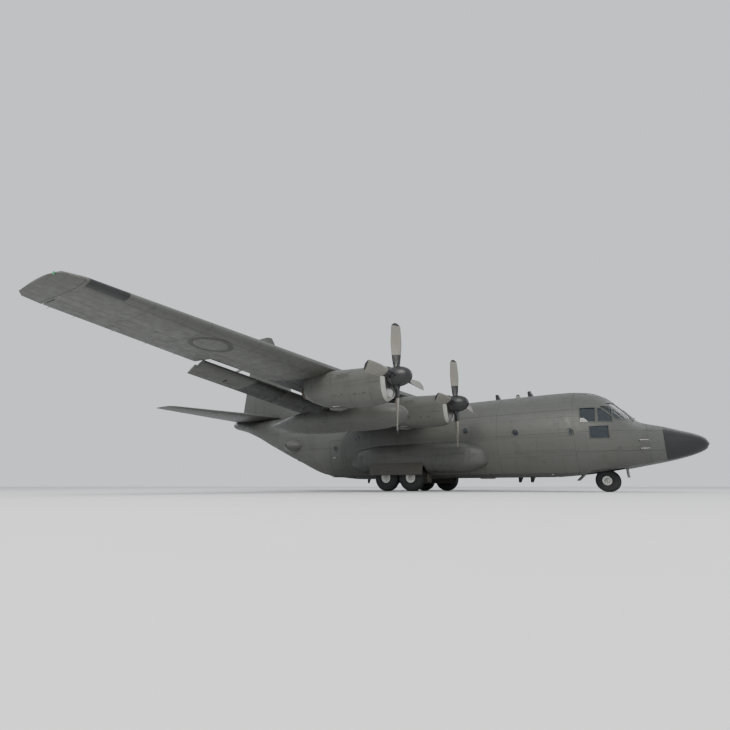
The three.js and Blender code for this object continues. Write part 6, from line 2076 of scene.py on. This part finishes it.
def build_ramp(sizes):
    aft_belly = {s: row_at(BODY, s)["belly"] for s in (RAMP_HINGE, DOOR_FRONT, DOOR_HINGE)}
    hinge = {"station": RAMP_HINGE + 0.1, "z": aft_belly[RAMP_HINGE] + 0.075, "radius": 0.06}
    end, width = DOOR_FRONT - RUN, sizes.seam_width / SCALE
    low = aft_belly[DOOR_FRONT] + 0.02
    outline = [(hinge["station"] - 0.05, aft_belly[RAMP_HINGE] + 0.02), (end, low),
               (end - 0.07, low - 0.02 + RAMP_THICK), (RAMP_HINGE + RUN, HOLD_FLOOR),
               (RAMP_HINGE + RUN, hinge["z"] + 0.02)]
    foot = outline[0]

    def belly_z(station):
        return mix(foot[1], low, (station - foot[0]) / (end - foot[0]))

    panel = belly_panel(outline, "belly", 0.5, belly_z, (19.4, 20.2, 21.0), (-0.95, 0.0, 0.95), width)
    panel = union(panel, across_bay(hinge["station"], hinge["z"], hinge["radius"], 28))
    slope = ((low - 0.02 + RAMP_THICK) - HOLD_FLOOR) / (end - 0.07 - RAMP_HINGE - RUN)
    s, z = 19.0, HOLD_FLOOR + slope * (19.0 - RAMP_HINGE - RUN)
    tread = side_slab([(s, z), (s + 0.04, z + 0.04 * slope), (s + 0.03, z + 0.03 * slope + 0.012),
                       (s + 0.01, z + 0.022)], -1.3, 1.3)
    treads = copies_along(tread, 17, (-0.16, 0, 0.16 * slope), "deck")
    toes = [soft_box(s, s + 0.2, y - 0.14, y + 0.14, belly_z(s) - 0.004, belly_z(s) + 0.02, "belly", 0.008, 1)
            for s in (19.7, 20.6) for y in (-1.2, 1.2)]
    piece(merge("ramp", [panel, treads, *toes]), "ramp_panel", "ramp", body="ramp")


def build_cargo_door(sizes):
    low, high = (row_at(BODY, s)["belly"] for s in (DOOR_FRONT, DOOR_HINGE))
    end, width = DOOR_HINGE - 0.055, sizes.seam_width / SCALE
    pivot = Vector(at(end, 0, high + 0.02 + CARGO_DOOR_THICK / 2))
    start = DOOR_FRONT + RUN
    turn = Matrix.Rotation(CARGO_DOOR_OPEN, 3, Vector((0, -1, 0)))

    def raised(made):
        here = Matrix.Translation(pivot * SCALE)
        made.data.transform(here @ turn.to_4x4() @ here.inverted())
        return made

    def belly_z(station):
        return mix(low + 0.04, high + 0.02, (station - start) / (end - start))

    half = BAY_HALF - RUN
    outline = [(start, belly_z(start)), (end, belly_z(end)), (end, belly_z(end) + CARGO_DOOR_THICK),
               (start, belly_z(start) + CARGO_DOOR_THICK)]
    # the door's paint is darkened: painted shade inside the tail
    panel = belly_panel(outline, "shaded_belly_door", 1, belly_z, (22.5, 23.3, 24.1, 24.9),
                        (-1.0, -0.35, 0.35, 1.0), width)
    ribs = []
    for s in (22.2, 22.9, 23.6, 24.3, 25.0):
        z = belly_z(s) + CARGO_DOOR_THICK
        ribs.append(side_slab([(s, z - 0.02), (s + 0.06, z), (s + 0.06, z + 0.05), (s, z + 0.03)],
                              -half + 0.1, half - 0.1, "interior"))
    spot = (fore(24.9), -1.3, belly_z(24.9) - 0.004)
    ribs.append(turned([(0.06, 0.0), (0.06, 0.01), (0.045, 0.016)], spot, (0, 0, -1), 20, "radome"))
    handle = soft_box(22.0, 22.24, 0.1, 0.16, belly_z(22.1) - 0.02, belly_z(22.1) + 0.02, "steel", 0.01, 2)
    made = raised(merge("door", [panel, *ribs, handle]))
    hinge = across_bay(end, pivot.z, 0.045, 24)
    piece(merge("cargo door", [made, hinge]), "cargo_door_panel", "cargo_door", body="cargo_door")


def build_doors(sizes):
    build_ramp(sizes)
    build_cargo_door(sizes)


# Fittings

def blade_antenna(station, y, z, height, chord, lean, down=False):
    """A swept blade antenna, up from the top or down from the belly."""
    way = -1 if down else 1
    rings = []
    for share in (0, 0.35, 0.7, 0.92, 1.0):
        size = chord * (1 - 0.45 * share) * (1.0 if share < 0.95 else 0.7)
        front = station + lean * share
        ring = [(front + size * t, 0.028 * (1 - 0.5 * share) * sin(pi * t**0.7))
                for t in np.linspace(0, 1, 9)]
        rings.append([at(s, y + w, z + way * height * share)
                      for s, w in [*ring, *[(s, -w) for s, w in reversed(ring[1:-1])]]])
    return loft(rings, "radome", "antenna")


def wick(trail, y, z, length):
    """A static wick behind a trailing edge."""
    return bar(at(trail - 0.02, y, z), at(trail + length, y, z), 0.008, 0.004, 8, "radome")


def build_body_fittings():
    steel, dark, bits = "steel", "radome", []
    belly = row_at(BODY, 9.65)["belly"]
    bits.append(turned([(0.3, -0.02), (0.4, -0.02), (0.4, 0.02), (0.37, 0.045), (0.33, 0.045), (0.3, 0.02),
                        (0.3, -0.02)], at(9.65, 0, belly), (0, 0, -1), 64, "fairing"))
    bits.append(turned([(0.29, -0.02), (0.27, 0.025), (0.15, 0.04), (0, 0.045)], at(9.65, 0, belly),
                       (0, 0, -1), 48, "belly"))
    for s, y in ((7.2, 0.0), (7.9, 0.35), (11.2, -0.3), (16.4, 0.0), (17.3, 0.4)):
        bits.append(blade_antenna(s, y, belly + 0.02, 0.26, 0.26, 0.12, True))
    for s in (6.9, 8.6, 17.2):
        bits.append(blade_antenna(s, 0.0, 4.7, 0.34, 0.32, 0.16))
    for s, y in ((6.1, 1.2), (6.1, 0.4), (6.1, -0.55)):
        z = smooth_at(BODY, s)["belly"] + 0.17 * (y / 1.55) ** 2
        bits.append(turned([(0.055, -0.02), (0.05, 0.012), (0, 0.022)], at(s, -y, z), (0, 0, -1), 24,
                           "pale"))
    for s in (8.95, 10.05):
        for side in (-1, 1):
            bits.append(on_skin([(0.07, -0.02), (0.07, 0.01), (0.05, 0.02)], s, -0.86, side, 24, dark))
    for side in (-1, 1):
        for z in (1.8, 2.15):
            half = body_half_at(2.42, z)
            foot = Vector((fore(2.45), side * (half - 0.02), z))
            knee = foot + Vector((0.05, side * 0.16, 0))
            bits.append(bar(foot, knee, 0.025, 0.018, 14, steel))
            bits.append(bar(knee, knee + Vector((0.32, 0, 0)), 0.018, 0.01, 14, steel))
        bits.append(on_skin([(0.05, -0.01), (0.045, 0.01), (0, 0.012)], 3.2, -0.3, side, 20, "frame"))
        step = body_half_at(6.3, 1.3)
        bits.append(soft_box(6.18, 6.32, side * step - 0.02, side * step + 0.03 * side, 1.3, 1.34, "frame",
                             0.008, 2))
    piece(merge("fittings", bits), "body_fittings", slot="black_paint")


def build_lamps():
    steel, lens, lamps = "steel", "lens", []
    for z, s, way in ((smooth_at(BODY, 15.2)["belly"] + 0.005, 15.2, -1), (5.03, 13.6, 1)):
        lamps.append(turned([(0.1, -0.03), (0.1, 0.03)], at(s, 0, z), (0, 0, way), 28, steel))
        lamps.append(turned([(0.075, 0.03), (0.07, 0.09), (0.04, 0.12), (0, 0.125)], at(s, 0, z), (0, 0, way),
                            28, "beacon"))
    for side, paint in ((1, "port_light"), (-1, "starboard_light")):
        s, out = 12.62, SPAN / 2 - 0.06
        lamps.append(turned([(0.022, -0.12), (0.03, 0.0), (0.02, 0.1), (0, 0.13)],
                            (fore(s), side * out, wing_face(20.1, s, 0)), (1, side * 0.35, 0), 20, paint))
        for y in (3.6, 6.6):
            z = wing_face(y, 12.35, -1) + 0.012
            lamps.append(turned([(0.14, -0.05), (0.14, 0.01), (0.12, 0.014), (0, 0.01)],
                                at(12.35, side * y, z), (0, 0, -1), 32, "chrome"))
            lamps.append(turned([(0.115, 0.0), (0.08, 0.02), (0, 0.026)], at(12.35, side * y, z),
                                (0, 0, -1), 32, lens))
    lamps.append(turned([(0.05, -0.08), (0.05, 0.0), (0.03, 0.05), (0, 0.06)], (fore(LENGTH - 0.03), 0, 4.88),
                        (-1, 0, 0), 20, lens))
    piece(merge("lamps", lamps), "lamps", slot="glazing")


def build_wicks():
    for side, label in SIDES:
        spots = [(row_at(WING, out)["trail"], out) for out in (15.0, 16.2, 17.4, 18.6, 19.3)]
        wicks = [wick(s, side * out, wing_face(out, s, 0), 0.22) for s, out in spots]
        piece(merge("wicks", wicks), f"aileron_wicks_{label}", body=f"aileron_{label}", slot="black_paint")
    wicks = [wick(row_at(TAIL, out)["trail"], side * out, TAIL_Z, 0.2)
             for out in (3.0, 4.4, 5.8, 7.0) for side in (1, -1)]
    piece(merge("wicks", wicks), "elevator_wicks", body="elevator", slot="black_paint")


def build_fittings(sizes):
    build_body_fittings()
    build_lamps()
    build_wicks()


# Paints and stage

def make_paints(sizes):
    grey, belly = tuple(sizes.grey), tuple(sizes.belly)
    white, black = tuple(sizes.gear_white), tuple(sizes.black)
    return {
        "skin": skin_paint("skin_paint", grey, "round"),
        "wing": skin_paint("wing_paint", grey, "plan", soot_and_shade=True),
        "tail": skin_paint("tail_paint", grey, "plan"),
        "fin": skin_paint("fin_paint", grey, "side"),
        "nacelle": skin_paint("nacelle_paint", grey, "side", line=0.003, dirt=0.8),
        "tank": skin_paint("tank_paint", grey, "plain", line=0.0, dirt=0.45),
        "sponson": skin_paint("sponson_paint", grey, "side", dirt=0.8),
        "belly": skin_paint("belly_paint", belly, "plan", dirt=0.9),
        # painted shade: the raised cargo door is painted darker than the belly, as it lies in shade inside
        # the tail
        "shaded_belly_door": skin_paint("door_paint", colour_of(belly, 0.8)[:3], "plan", dirt=0.9),
        "radome": plain_finish("radome_black", black, 0.42, wear=0.1),
        "frame": plain_finish("window_frame", colour_of(grey, 0.6)[:3], 0.45),
        "fairing": plain_finish("antenna_fairing", (0.2, 0.19, 0.16), 0.5),
        "pale": plain_finish("pale_plastic", (0.6, 0.6, 0.57), 0.4),
        "interior": plain_finish("interior_green", (0.11, 0.12, 0.085), 0.6, wear=0.25),
        # painted shade: the coves over the flaps, under the lip, are near-black as if in shade
        "cove": plain_finish("cove_primer", (0.05, 0.05, 0.042), 0.6, wear=0.2),
        "rib": plain_finish("rib_primer", (0.12, 0.12, 0.09), 0.55, wear=0.3),
        # painted shade: near-black for the walls of the wheel wells, the nacelles' mouths and rooms, grooves,
        # the rear opening and holes, where shade falls
        "well": plain_finish("well_dark", (0.035, 0.035, 0.03), 0.7, wear=0.3),
        "deck": plain_finish("deck_grip", (0.035, 0.036, 0.036), 0.8, grain=220.0, relief=0.002, wear=0.35),
        "steel": plain_finish("bare_steel", (0.3, 0.29, 0.27), 0.4, 0.85),
        "bare": plain_finish("bare_lip", (0.3, 0.3, 0.28), 0.38, 0.6),
        "chrome": plain_finish("polished_chrome", (0.72, 0.72, 0.72), 0.12, 1.0, wear=0.05),
        "burnt": plain_finish("burnt_steel", (0.09, 0.07, 0.055), 0.5, 0.8, wear=0.35),
        "gear": plain_finish("gear_white", white, 0.35, wear=0.3),
        "rim": plain_finish("rim_white", colour_of(white, 0.9)[:3], 0.4, wear=0.45),
        "tyre": plain_finish("tyre_rubber", (0.018, 0.018, 0.019), 0.78, grain=90.0, wear=0.25,
                             relief=0.0015),
        "pipe": plain_finish("black_pipe", (0.012, 0.012, 0.012), 0.5, wear=0.1),
        "seat": plain_finish("seat_cloth", (0.05, 0.035, 0.025), 0.9, grain=160.0, relief=0.002),
        "panel": plain_finish("panel_grey", (0.045, 0.05, 0.055), 0.5),
        "marking": plain_finish("marking_paint", colour_of(grey, 0.3)[:3], 0.55, wear=0.35),
        "blade": blade_paint("blade_paint", tuple(sizes.blade), black),
        # partly painted shade: the glass of the cockpit and the hold windows is dark and mostly opaque,
        # standing in for the shade inside
        "glass": glass("cockpit_glass", (0.02, 0.026, 0.03), 0.72),
        "lens": glass("clear_lens", (0.2, 0.2, 0.19), 1.0),
        "beacon": glass("beacon_red", (0.4, 0.015, 0.01), 1.0),
        "port_light": glass("port_red", (0.45, 0.01, 0.01), 1.0),
        "starboard_light": glass("starboard_green", (0.01, 0.3, 0.08), 1.0),
    }


def floor_finish(sizes):
    material, g, shader, coords = new_material("studio_floor", 0.75)
    fine = g.noise(coords, 3.0, 5.0)
    darker, lighter = colour_of(sizes.floor, 0.95), colour_of(sizes.floor, 1.03)
    g.feed(shader.inputs["Base Color"], g.mix(fine, darker, lighter))
    bumped(g, shader, fine, 0.001, 0.1)
    return material


def aimed(made, spot, target):
    made.location = spot
    made.rotation_euler = (Vector(target) - Vector(spot)).to_track_quat("-Z", "Y").to_euler()
    bpy.context.scene.collection.objects.link(made)
    return made


def area_light(name, spot, target, size, power, colour):
    data = bpy.data.lights.new(name, "AREA")
    data.shape = "DISK"
    data.size = size
    data.energy = power
    data.color = colour
    return aimed(bpy.data.objects.new(name, data), spot, target)


def build_stage(sizes):
    mesh = bpy.data.meshes.new("studio_floor")
    reach = sizes.floor_reach
    corners = [(x * reach, y * reach, 0) for x, y in ((-1, -1), (1, -1), (1, 1), (-1, 1))]
    mesh.from_pydata(corners, [], [(0, 1, 2, 3)])
    floor = linked("studio_floor", mesh)
    mesh.materials.append(floor_finish(sizes))
    world = bpy.data.worlds.new("studio")
    world.use_nodes = True
    background = world.node_tree.nodes["Background"].inputs
    background["Color"].default_value = (0.86, 0.9, 0.95, 1)
    background["Strength"].default_value = sizes.sky
    bpy.context.scene.world = world
    lights = [
        area_light("key", (6, -15, 12), (0, 0, 2), 9, sizes.key, (1, 0.97, 0.92)),
        area_light("fill", (13, 9, 8), (0, 0, 2), 12, sizes.key * 0.25, (0.93, 0.96, 1)),
        area_light("back", (-14, 3, 9), (0, 0, 2), 10, sizes.key * 0.2, (0.96, 0.98, 1)),
        area_light("low", (12, -17, 1.2), (0, 0, 3), 8, sizes.key * 0.35, (1, 0.99, 0.97)),
    ]
    lights[-1].visible_glossy = False
    data = bpy.data.cameras.new("camera")
    data.angle = radians(sizes.camera_angle)
    data.clip_end = 2 * reach
    heading = radians(sizes.camera_heading)
    far = sizes.camera_far
    spot = (far * cos(heading) + sizes.camera_fore, far * sin(heading), sizes.camera_height)
    camera = aimed(bpy.data.objects.new("camera", data), spot, (sizes.aim_fore, 0, sizes.aim_height))
    bpy.context.scene.camera = camera


# Add-on

class PlaneSizes(bpy.types.PropertyGroup):
    """What a user may change before the plane is built."""
    seam_width: bpy.props.FloatProperty(
        name="Seam width", description="Width of the cut seams between skin panels",
        default=0.006, unit="LENGTH")
    rivet_pitch: bpy.props.FloatProperty(
        name="Rivet pitch", description="Distance between rivets in a row", default=0.034, unit="LENGTH")
    rivet_radius: bpy.props.FloatProperty(
        name="Rivet radius", description="Radius of a rivet's head", default=0.0045, unit="LENGTH")
    rib_pitch: bpy.props.FloatProperty(
        name="Frame pitch", description="Distance between the frames in the hold",
        default=0.255, unit="LENGTH")
    # partly painted shade: the default grey is darker than the real mid-grey paint of the skins, standing in
    # for the shade under the plane
    grey: bpy.props.FloatVectorProperty(
        name="Grey", description="Paint of the skins", default=(0.076, 0.078, 0.07), subtype="COLOR")
    belly: bpy.props.FloatVectorProperty(
        name="Belly", description="Stained paint of the ramp and the gear doors",
        default=(0.058, 0.053, 0.045), subtype="COLOR")
    black: bpy.props.FloatVectorProperty(
        name="Black", description="Radome, spinners and blade ends",
        default=(0.012, 0.012, 0.013), subtype="COLOR")
    blade: bpy.props.FloatVectorProperty(
        name="Blades", description="Face of the propeller blades",
        default=(0.16, 0.15, 0.13), subtype="COLOR")
    gear_white: bpy.props.FloatVectorProperty(
        name="Gear", description="Paint of the legs and wheels", default=(0.6, 0.6, 0.57), subtype="COLOR")
    floor: bpy.props.FloatVectorProperty(
        name="Floor", description="Colour of the studio floor", default=(0.72, 0.72, 0.71), subtype="COLOR")
    floor_reach: bpy.props.FloatProperty(
        name="Floor reach", description="Half the width of the studio floor", default=400.0, unit="LENGTH")
    key: bpy.props.FloatProperty(
        name="Key light", description="Power of the main light", default=2100.0, unit="POWER")
    sky: bpy.props.FloatProperty(name="Sky", description="Strength of the surroundings' light", default=1.0)
    camera_heading: bpy.props.FloatProperty(
        name="Camera heading", description="Degrees from the nose round to the camera", default=-53.7)
    camera_fore: bpy.props.FloatProperty(
        name="Camera forward", description="How far ahead of the middle the camera's line to it starts",
        default=-1.9, unit="LENGTH")
    camera_far: bpy.props.FloatProperty(
        name="Camera distance", description="Distance of the camera over the floor",
        default=15.0, unit="LENGTH")
    camera_height: bpy.props.FloatProperty(
        name="Camera height", description="Height of the camera over the floor",
        default=0.12, unit="LENGTH")
    camera_angle: bpy.props.FloatProperty(
        name="Camera angle", description="Field of view in degrees", default=77.0)
    aim_fore: bpy.props.FloatProperty(
        name="Aim forward", description="How far ahead of the middle the camera looks",
        default=-1.3, unit="LENGTH")
    aim_height: bpy.props.FloatProperty(
        name="Aim height", description="Height that the camera looks at", default=4.0, unit="LENGTH")


class PlaneStep(bpy.types.Operator):
    """One step of building the plane. Each step's build is a function of the sizes."""
    bl_options = {"REGISTER", "UNDO"}

    def execute(self, context):
        sizes = context.scene.plane_sizes
        if not TREES:
            TREES.update(make_trees())
            PAINTS.update(make_paints(sizes))
        self.build(sizes)
        self.report({"INFO"}, f"{self.bl_label} done")
        return {"FINISHED"}


class PLANE_OT_body(PlaneStep):
    """Builds the radome, the body's skins and the doors in them"""
    bl_idname = "plane.body"
    bl_label = "Body"
    build = staticmethod(build_body)


class PLANE_OT_cockpit(PlaneStep):
    """Builds the cockpit's windows, seats and controls"""
    bl_idname = "plane.cockpit"
    bl_label = "Cockpit"
    build = staticmethod(build_cockpit)


class PLANE_OT_hold(PlaneStep):
    """Builds the hold's floor, rails and frames"""
    bl_idname = "plane.hold"
    bl_label = "Hold"
    build = staticmethod(build_hold)


class PLANE_OT_wing(PlaneStep):
    """Builds the wing with its ailerons, flaps, tracks and markings"""
    bl_idname = "plane.wing"
    bl_label = "Wing"
    build = staticmethod(build_wing)


class PLANE_OT_tail(PlaneStep):
    """Builds the fin, the rudder, the tailplane and the elevator"""
    bl_idname = "plane.tail"
    bl_label = "Tail"
    build = staticmethod(build_tail)


class PLANE_OT_engines(PlaneStep):
    """Builds the four nacelles and the engines in them"""
    bl_idname = "plane.engines"
    bl_label = "Engines"
    build = staticmethod(build_engines)


class PLANE_OT_propellers(PlaneStep):
    """Builds the four propellers"""
    bl_idname = "plane.propellers"
    bl_label = "Propellers"
    build = staticmethod(build_propellers)


class PLANE_OT_tanks(PlaneStep):
    """Builds the fuel tanks under the wing"""
    bl_idname = "plane.tanks"
    bl_label = "Tanks"
    build = staticmethod(build_tanks)


class PLANE_OT_gear(PlaneStep):
    """Builds the landing gear with its sponsons and doors"""
    bl_idname = "plane.gear"
    bl_label = "Landing gear"
    build = staticmethod(build_gear)


class PLANE_OT_ramp(PlaneStep):
    """Builds the ramp and the raised cargo door"""
    bl_idname = "plane.ramp"
    bl_label = "Ramp and cargo door"
    build = staticmethod(build_doors)


class PLANE_OT_fittings(PlaneStep):
    """Builds the antennas, probes, lamps and wicks"""
    bl_idname = "plane.fittings"
    bl_label = "Fittings"
    build = staticmethod(build_fittings)


class PLANE_OT_stage(PlaneStep):
    """Sets up the floor, the lights and the camera"""
    bl_idname = "plane.stage"
    bl_label = "Stage"
    build = staticmethod(build_stage)


STEPS = (PLANE_OT_body, PLANE_OT_cockpit, PLANE_OT_hold, PLANE_OT_wing, PLANE_OT_tail, PLANE_OT_engines,
         PLANE_OT_propellers, PLANE_OT_tanks, PLANE_OT_gear, PLANE_OT_ramp, PLANE_OT_fittings, PLANE_OT_stage)


class PLANE_PT_panel(bpy.types.Panel):
    """Lists the sizes and the steps of the plane"""
    bl_idname = "PLANE_PT_panel"
    bl_label = "Transport Plane"
    bl_space_type = "VIEW_3D"
    bl_region_type = "UI"
    bl_category = "Plane"

    def draw(self, context):
        sizes = context.scene.plane_sizes
        for key in PlaneSizes.__annotations__:
            self.layout.prop(sizes, key)
        for step in STEPS:
            self.layout.operator(step.bl_idname)


CLASSES = (PlaneSizes, *STEPS, PLANE_PT_panel)


def register():
    for item in CLASSES:
        bpy.utils.register_class(item)
    bpy.types.Scene.plane_sizes = bpy.props.PointerProperty(type=PlaneSizes)


def unregister():
    del bpy.types.Scene.plane_sizes
    for item in reversed(CLASSES):
        bpy.utils.unregister_class(item)


def main():
    register()
    for step in STEPS:
        group, name = step.bl_idname.split(".")
        result = getattr(getattr(bpy.ops, group), name)()
        if result != {"FINISHED"}:
            raise RuntimeError(f"{step.bl_label} stopped")


if __name__ == "__main__":
    main()
